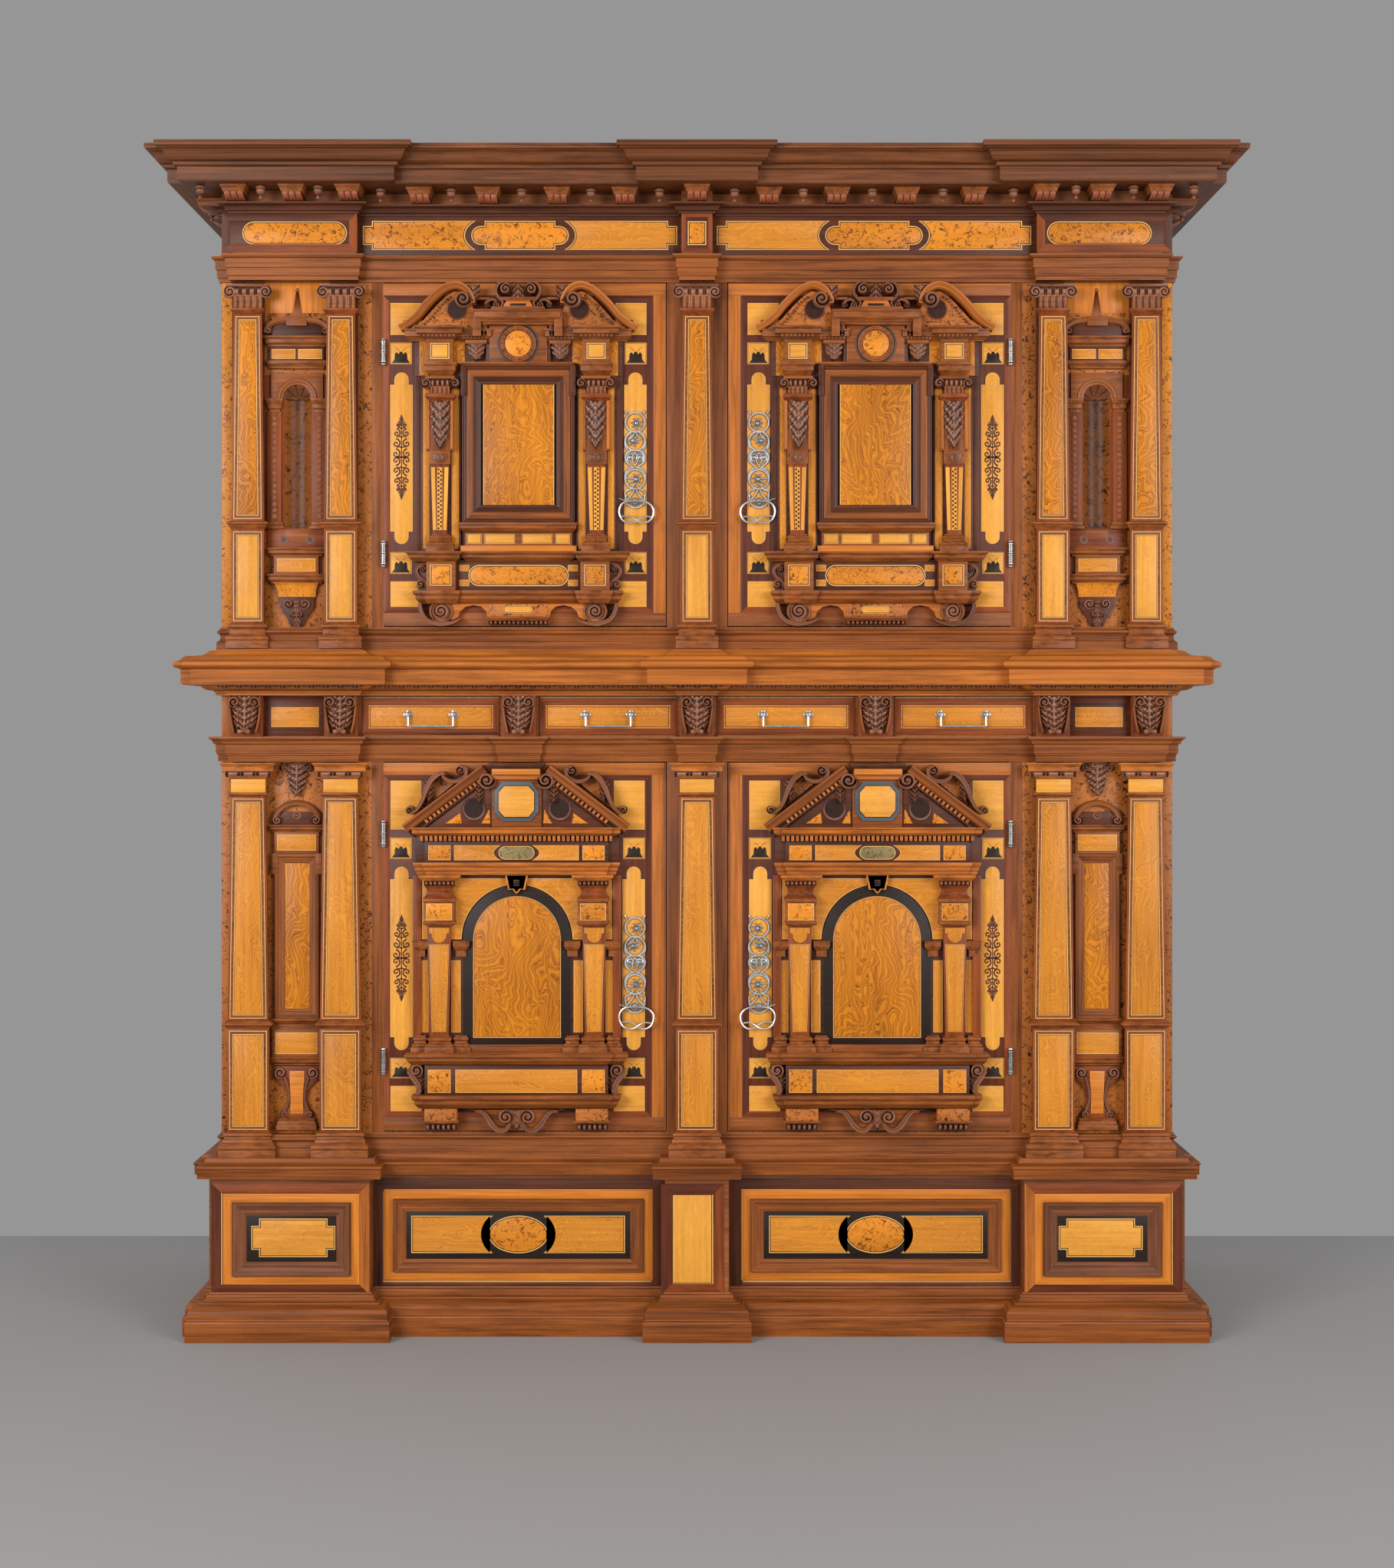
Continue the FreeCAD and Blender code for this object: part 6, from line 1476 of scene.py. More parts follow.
# %% Medallion, side cornices and frieze
slab(order, "walnut_dark", 633.5, None, 420.5, 471.6, 17)
slab(order, "walnut", 637.8, None, 424.6, 471.6, 19, 1.5, back=15)
medal = (AXIS, up(448, 22))
boss(order, "ebonised", medal, 17, [(41, -4), (41, 3.4), (40, 4), (36, 4.2), (36, 1)], 40)
boss(order, "walnut", medal, 17,
     [(36.5, 0), (36.5, 5), (35, 7.5), (32.5, 7), (31, 9), (28.5, 9), (27, 5.5), (26, 5),
      (1, 5.2)], 40)
tablet(order, "burl", arc(medal, 25.6 * MM, 0, 351, 39), fore(20), fore(22.6))
moulding(order, "walnut", 539, 604, 423.8, 442.3, 46,
         [(0, 0), (0, 0.16), (4, 0.2), (6, 0.3), (14, 0.48), (18, 0.5), (18, 0.78), (20, 0.82),
          (22, 0.9), (22, 1)])
eggs(order, *pixels(549, 594, 433, 438.8, 38), fore(28), 4, 9, 8)
moulding(order, "walnut", 526, 641, 428.4, 442.9, 27,
         [(0, 0), (0, 0.08), (3, 0.12), (7, 0.34), (9, 0.38), (9, 0.85), (11, 0.9), (11, 1)])
eggs(order, *pixels(602, 636, 437.8, 442.6, 22), fore(17), 3, 7, 7)
slab(order, "walnut_dark", 541, None, 442.4, 490, 8)
slab(order, "ash", 546.5, 558, 443, 489.5, 9.4, upright=True)
slab(order, "ash", 590, 606, 443, 474, 9.4, upright=True)
slab(order, "walnut", 556.4, 590.4, 442.2, 471.8, 25)
panelled(order, 561, 585.6, 447, 467.6, 25, "maple")
VASE = [(4, 0), (5, 1), (5, 3), (3, 4), (4, 8), (9, 13), (14.5, 21), (16, 29), (14.5, 33),
        (16.5, 35), (19, 37.5), (19, 40)]
turned(order, "carved", (across(620.5, 18), fore(9), up(473.4, 18)), VASE,
       flat=0.8)
leaf(order, *pixels(609, 632, 448, 469, 27), fore(20), 6, 3, -1, curl_out=0.1)
slab(order, "walnut", 606.5, 634, 443, 447.6, 27)
moulding(order, "walnut", 551, 595, 471.4, 490, 32,
         [(0, 0), (3, 0.12), (7, 0.38), (9, 0.42), (9, 0.74), (11, 0.8), (12, 0.84), (12, 1)])
moulding(order, "walnut", 601, None, 471.6, 476, 24, [(0, 0), (3, 0.5), (4, 0.6), (4, 1)])


# %% Herm pillars
def herm_shaft(middle, half, head, foot):
    """A shaft that narrows downwards, from its head row to its foot row. Its half widths
    are shares of that of the whole herm."""
    cut(order, "walnut_red",
        [(middle + half * share, row) for share, row in
         ((-0.62, head), (0.62, head), (0.48, foot), (-0.48, foot))], -1, 20, 0.8, True)


def upper_block(middle):
    """What stands over the shaft: scrolls, eggs and flutes, then a leaf between posts."""
    for side in (-1, 1):
        scroll(order, middle + side * 18.7, 498.4, 34, 10, 8, 26, 1.8, -side, 60)
    slab(order, "walnut", middle - 19, middle + 19, 489.6, 493.2, 32)
    eggs(order, *pixels(middle - 13, middle + 13, 493, 503.4, 28), fore(16), 8, 13, 4)
    fluted(order, *pixels(middle - 12.7, middle + 12.7, 503.4, 513, 24), fore(0), 23, 4)
    moulding(order, "walnut_red", middle - 19.4, middle + 19.4, 512.6, 522.4, 33,
             [(0, 0), (2, 0.1), (4, 0.3), (7, 0.45), (8, 0.6), (8, 0.9), (7, 1)])
    slab(order, "walnut", middle - 17.6, middle + 17.6, 522, 587, 23, 0.8, True)
    for side in (-1, 1):
        a = middle + side * 15.6
        slab(order, "walnut_light", a - 1.9, a + 1.9, 522, 585, 26.6, 0.9, True, back=20)
    leaf(order, *pixels(middle - 13, middle + 13, 523, 586, 36), fore(22.5), 14, 5, -1,
         curl_out=0.35)
    cut(order, "walnut", [(middle - 13.4, 586.6), (middle + 13.4, 586.6), (middle + 13.4, 604.8),
                          (middle - 13.4, 604.8)], -1, 22)
    cut(order, "carved", [(middle - 10 * math.cos(a), 591 + 12.5 * math.sin(a))
                          for a in np.linspace(0, math.pi, 13)], 20, 25)
    boss(order, "carved", (across(middle, 26), up(596, 26)), 24,
         [(8, -2), (8, 2), (6.5, 5), (3, 7), (0.5, 7.5)], 18)


middle = 573.15
upper_block(middle)
herm_shaft(middle, 19.45, 604.6, 696)
for side in (-1, 1):
    strip = [(middle + side * 11.4, 609), (middle + side * 6.2, 609),
             (middle + side * 4.6, 691), (middle + side * 8.8, 691)]
    cut(order, "maple", strip, 19, 20.4, 0.05, True)
slab(order, "maple", middle - 3.4, middle + 3.4, 609, 691, 20.3, 0.05, True, 0, back=19)
for i in range(29):
    a = middle + (1.6 if i % 2 else -1.6)
    slab(order, "ebonised", a - 1.1, a + 1.1, 610.5 + i * 2.75, 613 + i * 2.75, 20.6, 0.05,
         back=19.5)
moulding(order, "walnut", middle - 18.6, middle + 18.6, 695.6, 718.6, 32,
         [(12, 0), (12, 0.3), (10, 0.34), (11.5, 0.42), (10, 0.5), (6, 0.56), (4, 0.66),
          (4, 0.74), (6.5, 0.8), (5, 0.88), (1, 0.94), (1, 1)])
slab(order, "walnut_dark", 548.6, 600.4, 489.8, 719, 8)
for x0, x1 in ((550.8, 560.4), (588, 598.8)):
    panelled(order, x0, x1, 504, 716, 8, "ash_fine", [(1.0, "walnut_dark")], True)
slab(order, "walnut_dark", 541, 549.4, 443, 719, 5, 0.5, True)

# %% Window, sill and pedestal
x, z = pixels(601.8, None, 475.6, 682, 20)
picture_frame(order, "walnut_dark", x, z, in_metres([(0, 0), (0, 20), (2.5, 21), (5, 18),
                                                     (6, 18.5), (9.5, 16), (9.5, 0)]), fore(0))
picture_frame(order, "walnut", shrink(x, 9 * MM), shrink(z, 9 * MM),
              in_metres([(0, 0), (0, 16.5), (12, 16.5), (14, 15), (14, 0)]), fore(0))
picture_frame(order, "walnut_dark", shrink(x, 22.6 * MM), shrink(z, 22.6 * MM),
              in_metres([(0, 0), (0, 14.4), (2, 14.6), (4, 12.6), (11, 9), (12.6, 9.6),
                         (15.2, 8.6), (15.2, 0)]), fore(0))
slab(order, "walnut_dark", 600.6, 607.4, 475.8, 515.4, 21.4)
x, z = pixels(629, None, 499, 673, 9)
board(order, "walnut_dark", x, z, fore(-1), fore(8))
inlay(order, rectangle(x, z), fore(8), [(1.2, "ebonised"), (1.4, "string")], "ash", True)
moulding(order, "walnut", 597.7, None, 681, 692.4, 31,
         [(0, 0), (3, 0.14), (6, 0.36), (7, 0.42), (7, 0.7), (9, 0.78), (9, 1)])
slab(order, "walnut", 606, None, 692, 711.6, 13)
for x0, x1 in ((608.8, 627.4), (631.6, 671)):
    panelled(order, x0, x1, 696, 708.7, 13, "maple", [(0.9, "string"), (0.8, "ebonised")])
slab(order, "honey", 600, None, 711.2, 719, 15)
SHELF = [(0, 0), (2, 0.08), (7, 0.3), (9, 0.36), (9, 0.66), (12, 0.74), (14, 0.86), (14, 1)]
for x0, x1, front in ((528, 601.4, 44), (598, None, 27)):
    moulding(order, "walnut", x0, x1, 718.4, 731, front, SHELF)
slab(order, "walnut_dark", 545, None, 730, 771, 10)
slab(order, "walnut", 555.6, 593.4, 730, 770.4, 27)
panelled(order, 560.4, 588.4, 736, 763.4, 27, "burl")
x, z = pixels(610.6, None, 736.4, 764, 10)
inlay(order, stadium(x, z), fore(10), STRINGS, "burl")
for y0, y1 in ((736.4, 744.6), (755.8, 764)):
    panelled(order, 598.8, 611.6, y0, y1, 10, "ash_fine", [(0.8, "string")])
carved_band(order, [(556, 734), (547, 737), (542.4, 744), (546, 752), (553, 757), (556, 765)],
            16, 6.5, -1, 17)
for x, y, radius, hand in ((547.6, 761.4, 6, 1), (551.4, 741.6, 4.4, -1)):
    scroll(order, x, y, 18, radius / PER_MM, 0, 19, 1.8, hand, 120)

# %% Lower cornice and apron
UNDER = [(0, 0), (3, 0.1), (8, 0.34), (9, 0.38), (9, 0.6), (12, 0.7), (14, 0.8), (14, 1)]
moulding(order, "walnut", 537.6, None, 769.6, 786.4, 32, UNDER)
moulding(order, "walnut", 550.4, 599.4, 769.6, 786.4, 39,
         [(0, 0), (3, 0.1), (6, 0.34), (7, 0.38), (7, 0.6), (9, 0.7), (10, 0.8), (10, 1)])
APRON = [(566, 785.8), (566, 806), (590, 808), (596.6, 805), (599.4, 797), (606.6, 791),
         (617, 788.8), (627, 790.6), (633.2, 796.4), (635.6, 804.8)]
tablet(order, "walnut_light", even(APRON, 16), fore(-1), fore(16), MM)
tablet(order, "burl_dark", even([(637.6, 787.4), (637.6, 803.6)], 17), fore(12), fore(17.6),
       0.4 * MM)
x, z = pixels(656.6, None, 789.8, 799.4, 18)
inlay(order, stadium(x, z), fore(17.6), [(0.9, "string"), (0.8, "ebonised")], "maple")
moulding(order, "walnut", 633.8, None, 804, 808.6, 28, [(0, 0), (1, 0.3), (4, 0.7), (4, 1)])
eggs(order, *pixels(636.6, None, 807.8, 814, 24), fore(2), 18, 24, 13)
spot = traced([(574.2, 796.4)], 30)[0]
boss(order, "walnut", spot, 0,
     [(24, 0), (24, 19), (22.5, 22), (20, 21), (19, 17), (15, 16), (1, 16)], 36)
volute(order, spot, 15.5 * MM, fore(15), 15 * MM, 2.4, 1, 200)
carved_band(order, [(600, 806.6), (592, 810.4), (583, 812.6), (569, 812.8), (556, 808),
                    (549, 798), (546.8, 786.5)], 24, 7.5, -1, 26, (0.5, 1.0, 1.2, 1.2, 0.9))

whole(order)
order.fit_pair("door_upper_left", "door_upper_left_order")

# %% [markdown]
# ## The lower portal
# Below, the little building is sterner: a broken gable with leafwork on its rakes, a frieze
# of five tablets, an arch between two more herm pillars, and a pedestal on two fluted
# feet. A raking cornice could be cut from the level one by mitring in a modeller; here the
# same sweep that made the swan necks follows a straight line.

# %% Gable
AXIS = -0.3602           # the lower portals stand 3 mm nearer the hinges
order = Piece("door_lower_left_portal")
rake = np.array(traced([(523.6, 1075.6), (627, 997.4)], 40))
rake = rake[0] + (rake[1] - rake[0]) * np.linspace(0, 1, 9)[:, None]
sweep(order, "walnut", rake[::-1],
      [(0, 2), (0, 39), (1, 41), (4.5, 41), (6, 38), (9, 36), (10, 34), (16, 33.4), (17, 31),
       (19.5, 27), (19.5, 2)])
sweep(order, "ebonised", rake[::-1], [(19, 0), (19, 22), (27, 22), (27, 0)])
sweep(order, "walnut_dark", rake[::-1], [(26.5, 0), (26.5, 23), (30.5, 22), (30.5, 0)])
way = (rake[-1] - rake[0]) / np.linalg.norm(rake[-1] - rake[0])
side = np.array([way[1], -way[0]])
for share in np.linspace(0.2, 0.86, 14):
    foot = rake[0] + (rake[-1] - rake[0]) * share + side * 19.2 * MM
    block = [foot, foot + way * 5.6 * MM, foot + way * 5.6 * MM + side * 7.8 * MM,
             foot + side * 7.8 * MM]
    tablet(order, "walnut_light", block, fore(20), fore(28), 0.5 * MM)
cut(order, "walnut_dark",
    [(556, 1078.6), (618, 1031), (640, 1012), (642.6, 1012), (642.6, 1078.6)], -1, 15)
cut(order, "burl", [(580.6, 1073.4), (599.6, 1060), (601.6, 1073.4)], 14, 15.6, 0.1)
cut(order, "burl", [(627.6, 1073.4), (637.6, 1055), (639, 1073.4)], 14, 15.6, 0.1)
cut(order, "burl_dark", [(546, 1059), (555, 1029), (572, 1012), (591, 1020), (606, 1010)], -1, 7)
eye = (across(617.4, 18), up(1055, 18))
boss(order, "walnut_dark", eye, 15, [(24, -4), (24, 1), (22.8, 2.4), (21.4, 1), (1, 0.6)], 32)
# The inner disc is dark walnut, darkened further as painted shade by its relief, so that it reads
# as a recess in its rim.
boss(order, "walnut_dark", (eye[0], eye[1] + 2 * MM), 15.2, [(19.6, -2), (19.6, 1.1), (1, 1.1)],
     28, SHADED_DISC)
carved_band(order, [(533.4, 1061), (543, 1055), (550, 1043), (555, 1029), (562, 1016.5),
                    (571, 1009), (579, 1008)], 40, 8, 2, 37, (0.5, 0.8, 1.1, 1.3, 0.8), 6)
carved_band(order, [(574, 1008.4), (580, 1015.6), (590, 1018.8), (600, 1016.6), (606.4, 1010),
                    (606, 1001.6), (599, 998.6)], 40, 6.6, 2, 36, (0.6, 1.2, 1.1, 0.8), 6)
for x, y, radius, hand in ((599.6, 1004.4, 6.2, -1), (532.6, 1056.2, 5.2, 1)):
    scroll(order, x, y, 38, radius / PER_MM, 2, 36, 1.8, hand, 30)
leaf(order, *pixels(551, 566, 1018, 1046, 30), fore(6), 22, 4, -1)

slab(order, "walnut", 641, None, 1009, 1079, 20)
moulding(order, "walnut_dark", 635.4, None, 995.2, 1003, 44,
         [(0, 0), (2, 0.2), (5, 0.5), (6, 0.6), (6, 1)])
slab(order, "honey", 641, None, 1002.4, 1009.6, 40)
slab(order, "walnut_light", 640, None, 1009, 1016, 28)
x, z = pixels(644.4, None, 1019.2, 1070.4, 24)
nick = 6.4 / PER_MM * MM
nook = np.array([(1.5, 0), (1.1, 0.6), (0.3, 1.5), (0, 1.9)]) * nick
outer = np.concatenate([
    [x[0], z[0]] + nook[:1], [x[1], z[0]] + nook * [-1, 1], [x[1], z[1]] - nook[::-1],
    [x[0], z[1]] + nook * [1, -1], [x[0], z[0]] + nook[:0:-1]])
tablet(order, "blue_black", outer, fore(18), fore(25), 1.2 * MM)
tablet(order, "walnut_dark", inset(anticlockwise(outer), 6.6 * MM), fore(20), fore(25.6),
       0.2 * MM)
tablet(order, "maple", inset(anticlockwise(outer), 8.6 * MM), fore(20), fore(26), 0.1 * MM)
scroll(order, 633.6, 1017.4, 44, 18, 4, 38, 2.3, -1, 40)
leaf(order, *pixels(617, 630.5, 1022, 1047, 34), fore(6), 26, 4, -1)
leaf(order, *pixels(620, 634, 1000, 1018, 36), fore(6), 28, 3, 1)

# %% Level cornice, dentils, frieze and architrave
LEVEL = [(0, 0), (4, 0.1), (8, 0.3), (9, 0.36), (9, 0.74), (11, 0.82), (12, 0.9), (12, 1)]
for x0, front in ((534.4, 36), (545, 43)):
    moulding(order, "walnut_light", x0, None, 1079, 1089.6, front, LEVEL)
slab(order, "ebonised", 547.6, None, 1089.2, 1097.4, 24, 0.2)
x, z = pixels(547.8, None, 1089.6, 1096.4, 28)
for left_edge in np.linspace(x[0], x[1] - 5.6 * MM, 41):
    board(order, "walnut_light", (left_edge, left_edge + 5.6 * MM), z, fore(20), fore(31),
          0.5 * MM)
slab(order, "walnut_dark", 541, None, 1089, 1126, 13)
slab(order, "walnut_dark", 553.4, None, 1096.6, 1125.4, 23)
panelled(order, 558.2, 587.2, 1102.2, 1121.2, 23, "burl", THIN)
(x0, x1), z = pixels(591.8, 648.6, 1102, 1121.4, 23)
middle_z, high = (z[0] + z[1]) / 2, (z[1] - z[0]) / 2
cup = [(x1 - high * 0.16 * (2 - 6 * t * t) - 3 * MM,
        middle_z + high * t) for t in np.linspace(-1, 1, 13)]
inlay(order, [(x0, z[0])] + cup + [(x0, z[1])], fore(23), THIN, "ash_fine")
x, z = pixels(648.8, None, 1102.2, 1121.2, 23.4)
inlay(order, stadium(x, z), fore(23.2), [(1.2, "walnut_dark"), (1.2, "string")], "burl_green")
for x0, front in ((538, 29), (549.4, 36)):
    moulding(order, "walnut_light", x0, None, 1124.6, 1141.2, front,
             [(0, 0), (2, 0.1), (2, 0.3), (5, 0.4), (5, 0.62), (8, 0.74), (9, 0.84), (9, 1)])


# %% Lower herms
def lower_block(middle):
    moulding(order, "walnut_light", middle - 27, middle + 27, 1141, 1148.4, 41,
             [(0, 0), (3, 0.3), (5, 0.5), (6, 0.6), (6, 1)])
    eggs(order, *pixels(middle - 20, middle + 20, 1148, 1155.6, 34), fore(18), 6, 15, 7)
    moulding(order, "walnut_red", middle - 21.4, middle + 21.4, 1155, 1172.4, 31,
             [(8, 0), (7, 0.08), (2, 0.3), (0, 0.55), (1.5, 0.8), (5, 1)], 0.3)
    moulding(order, "walnut", middle - 21.4, middle + 21.4, 1171.8, 1207, 36,
             [(0, 0), (3, 0.03), (5, 0.12), (2.4, 0.16), (2.4, 0.86), (4.6, 0.9), (4.6, 0.98),
              (3, 1)])
    panelled(order, middle - 17, middle + 17, 1177.8, 1199.6, 33.8, "burl", THIN)


middle = 572.2
lower_block(middle)
herm_shaft(middle, 25.2, 1206.6, 1351)
trunk = [(middle - 13, 1231), (middle + 13, 1231), (middle + 9.2, 1345), (middle - 9.2, 1345)]
inlay(order, traced(trunk, 20.2), fore(20.2), [(0.8, "string"), (0.7, "walnut_dark")], "ash_fine",
      True)
inlay(order, anticlockwise(traced([(middle - 13.6, 1209), (middle + 13.6, 1209),
                                   (middle + 13.4, 1217), (middle + 10, 1217.6)]
                                  + [(middle + 10 * math.cos(a), 1219 + 10.5 * math.sin(a))
                                     for a in np.linspace(0.1, math.pi - 0.1, 13)]
                                  + [(middle - 10, 1217.6), (middle - 13.4, 1217)], 20.2)),
      fore(20.4), [(0.7, "walnut_dark")], "ash_fine", True)
moulding(order, "walnut", middle - 18.8, middle + 18.8, 1351, 1373.6, 37,
         [(13, 0), (13, 0.34), (11, 0.38), (11.5, 0.46), (7, 0.56), (5, 0.66), (7.5, 0.74),
          (8, 0.84), (3, 0.92), (1, 1)])

# %% Arch
slab(order, "walnut_dark", 544.6, None, 1141, 1375, 6)
for x0, x1 in ((548.6, 558.6), (588.4, 600.4)):
    panelled(order, x0, x1, 1252, 1345.6, 6, "ash_fine", THIN, True)
centre = (AXIS, up(1225.6, 12))
big, small = 70.5 / PER_MM * MM, 57.4 / PER_MM * MM
z1 = up(1144, 7)
round_arch = arc(centre, big * 1.012, 180, 100, 18)
spandrel = [(across(549, 7), z1), (across(549, 7), centre[1]), *round_arch,
            (round_arch[-1][0], z1)]
tablet(order, "walnut_dark", spandrel, fore(4), fore(8.4), 0.3 * MM)
inlay(order, inset(anticlockwise(spandrel), 1.6 * MM), fore(8.4), [(1.1, "string")], "ash_fine")
foot_z = up(1362, 8)
opening = arc(centre, big, 0, 180, 30) + [(AXIS - big, foot_z), (AXIS + big, foot_z)]
inner_z = up(1353, 8)
inside = arc(centre, small, 0, 180, 30) + [(AXIS - small, inner_z), (AXIS + small, inner_z)]
tablet(order, "ebonised", opening, fore(4), fore(10.5), 1.2 * MM)
inlay(order, inside, fore(10.5), [(1.0, "walnut"), (1.2, "string"), (0.8, "walnut_dark")], "ash",
      True)
for x0, x1 in ((537, 558), (589.5, 612)):
    moulding(order, "walnut", x0, x1, 1226.8, 1247.4, 21,
             [(0, 0), (0, 0.4), (3, 0.46), (5, 0.6), (6, 0.66), (6, 0.9), (7, 1)])
    moulding(order, "walnut", x0 - 2, x1 + 1, 1351, 1374, 25,
             [(9, 0), (9, 0.34), (6, 0.4), (7, 0.5), (3, 0.58), (2, 0.7), (4.5, 0.78),
              (4.5, 0.88), (1, 0.94), (1, 1)])
slab(order, "walnut_red", 538, 548.8, 1141, 1352, 12, 0.8, True)
cut(order, "honey", [(659.8, 1141), (687.8, 1141), (684.2, 1160), (678.8, 1159), (674, 1165),
                     (669.2, 1159), (664, 1160)], 0, 22, 0.8)
slab(order, "walnut_dark", 669.6, None, 1147, 1155, 22.6, 0.2, back=20)
slab(order, "ebonised", 669.4, None, 1148.2, 1154.2, 23, 0.2, back=20)

# %% Shelf, pedestal and feet
slab(order, "walnut", 600, None, 1362, 1374.6, 20)
for x0, front in ((526, 38), (544, 46)):
    moulding(order, "walnut", x0, None, 1373, 1389.4, front,
             [(0, 0), (3, 0.1), (8, 0.32), (9, 0.36), (9, 0.56), (13, 0.64), (14, 0.78),
              (11, 0.92), (9, 1)])
slab(order, "walnut_dark", 553.4, None, 1388.8, 1430, 26)
panelled(order, 557.6, 587.4, 1394.4, 1424.6, 26, "burl", THIN)
panelled(order, 593.6, None, 1394.4, 1424.6, 26, "ash_fine", THIN)
scroll(order, 542, 1396, 24, 14.5, -0.5, 26, 2.0, 1, 120)
carved_band(order, [(533, 1394), (536.6, 1403), (542, 1410.6), (545.4, 1418), (545, 1427),
                    (550, 1431)], 20, 9, -1, 20, (0.8, 1.2, 1.2, 1.0, 0.8), 6)
leaf(order, *pixels(541, 554.6, 1402, 1427, 24), fore(2), 18, 4, -1)
for x0, front in ((536, 34), (546, 41)):
    moulding(order, "walnut", x0, None, 1429, 1446.6, front, UNDER)
slab(order, "burl_dark", 553, 595, 1446, 1463, 32)
moulding(order, "walnut", 549.6, 597.6, 1461.4, 1465.4, 35, [(0, 0), (3, 0.5), (3, 1)])
eggs(order, *pixels(553.4, 594, 1465, 1475.4, 33), fore(2), 20, 31, 6, False)
slab(order, "ebonised", 595, 624, 1446.4, 1449.6, 8)
cut(order, "walnut", [(610, 1446.6), (626, 1449), (634, 1456), (643, 1466), (652, 1473.6),
                      (674.5, 1473.6), (674.5, 1446.6)], -1, 15)
carved_band(order, [(619, 1448.6), (628, 1449.4), (635, 1457), (641.6, 1467), (650, 1473.4),
                    (659.4, 1472.4), (664.8, 1465)], 24, 8.5, 2, 27, (0.5, 1.0, 1.25, 1.1, 0.8),
            6)
scroll(order, 658.8, 1457, 26, 15.4, 4, 22, 2.2, 1, 300)
leaf(order, *pixels(667, 681, 1449, 1473, 24), fore(6), 14, 3, -1)
whole(order)
order.fit_pair("door_lower_left", "door_lower_left_order")

# %% [markdown]
# ## Front boards and niches
# The case front between the mouldings is walnut with burl strips up its outer edges. Between
# each outer pair of pilasters stands a niche. Upstairs it is a real hollow with a shell in
# its head, so the CAD cuts one; the shell is ribs fanning from its hinge. Downstairs it
# is only a frame with a cartouche below.

# %% Front boards
fronts = Piece("front_board_veneers")
for y0, y1 in ((369, 818), (992, 1477)):
    slab(fronts, "burl" if y0 < 900 else "burl_dark", 289.2, 302.6, y0, y1, 0.5, 0.3, True)
    slab(fronts, "walnut_dark", 302.2, 345, y0, y1, 0.3, 0.2, True)
    slab(fronts, "walnut_dark", 421.6, 466.6, y0, y1, 0.3, 0.2, True)
    slab(fronts, "burl_dark", 466.8, 484.6, y0, y1, 0.5, 0.3, True)
    slab(fronts, "walnut", 484.8, 498.6, y0, y1, 0.6, 0.4, True)
fronts.twin()
for y0, y1 in ((369, 818), (992, 1477)):
    x, z = pixels(869.2, 947.8, y0, y1, 0)
    board(fronts, "walnut", x, z, fore(-1), fore(0.5), 0.5 * MM, True)
fronts.fit()

# %% Upper niches
AXIS = -0.801            # from here on, the middle of the left niche
niche = Piece("upper_niches_dressed")
slab(niche, "honey", 345.6, None, 368.6, 408, 0.5, 0.2, True)
slab(niche, "burl_dark", 345.4, None, 407.6, 489, 0.4, 0.2, True)
slab(niche, "burl_dark", 345.4, None, 692, 818, 0.4, 0.2, True)
slab(niche, "walnut_red", 345.4, 370.2, 488.6, 692.4, 0.4, 0.2, True)
turned(niche, "walnut", (AXIS, fore(0.6), up(423.8, 6)),
       [(12, 0), (12, 3), (9.5, 4), (9.5, 7), (5.4, 9), (5.4, 13), (10.6, 15), (10.6, 17),
        (3.2, 66), (2.6, 67), (4.6, 69), (4.6, 71.5), (2.6, 74), (0.6, 75)], sides=4)
scroll(niche, 349.4, 430, 12, 5.8 / PER_MM, 0, 15, 1.9, 1, 200)
sweep(niche, "walnut", drawn(traced([(343, 433), (345.5, 424), (352, 418.4), (362, 415),
                                     (373, 413.6)], 12), 5)[::-1],
      [(0, 0), (0, 12), (2, 13.4), (7, 12), (10, 9.4), (10, 0)])
tablet(niche, "walnut_dark", even([(354, 437.8), (357, 425), (372, 419)], 8), fore(-1), fore(8))
slab(niche, "walnut", 373, None, 411.4, 424.4, 14)
SILL = [(0, 0), (2, 0.1), (2, 0.22), (6, 0.36), (7, 0.42), (7, 0.72), (9, 0.8), (10, 0.9),
        (10, 1)]
moulding(niche, "walnut", 342.8, None, 437.4, 451.4, 18, SILL)
slab(niche, "walnut_dark", 351.3, None, 451, 470.2, 9)
panelled(niche, 354, 385, 455, 467.8, 9, "ash_fine", [(1.0, "string")])
moulding(niche, "walnut", 347.6, None, 469.8, 480.2, 13,
         [(0, 0), (2, 0.1), (2, 0.3), (4, 0.5), (6, 0.7), (6, 1)])
centre = (AXIS, up(519.4, 5))
(x0, x1), (z0, z1) = pixels(353.4, None, 486, 519.4, 6)
tablet(niche, "walnut", [(x0, z0)] + arc(centre, 27.4 * MM, 180, 0, 24) + [(x1, z0), (x1, z1),
       (x0, z1)], fore(-0.5), fore(5.4), 0.5 * MM)
sweep(niche, "walnut", arc(centre, 33.4 * MM, 180, 0, 24),
      [(0, 4), (6.6, 4), (6.6, 7), (5, 8.4), (3, 7.4), (1.2, 7.8), (0, 6.4)])
moulding(niche, "walnut", 345.6, 368.4, 519.2, 536.4, 13,
         [(0, 0), (0, 0.2), (3, 0.3), (3, 0.6), (5, 0.7), (7, 0.9), (7, 1)])
slab(niche, "walnut_red", 348.4, 366.6, 536, 681, 5.4, 0.6, True)
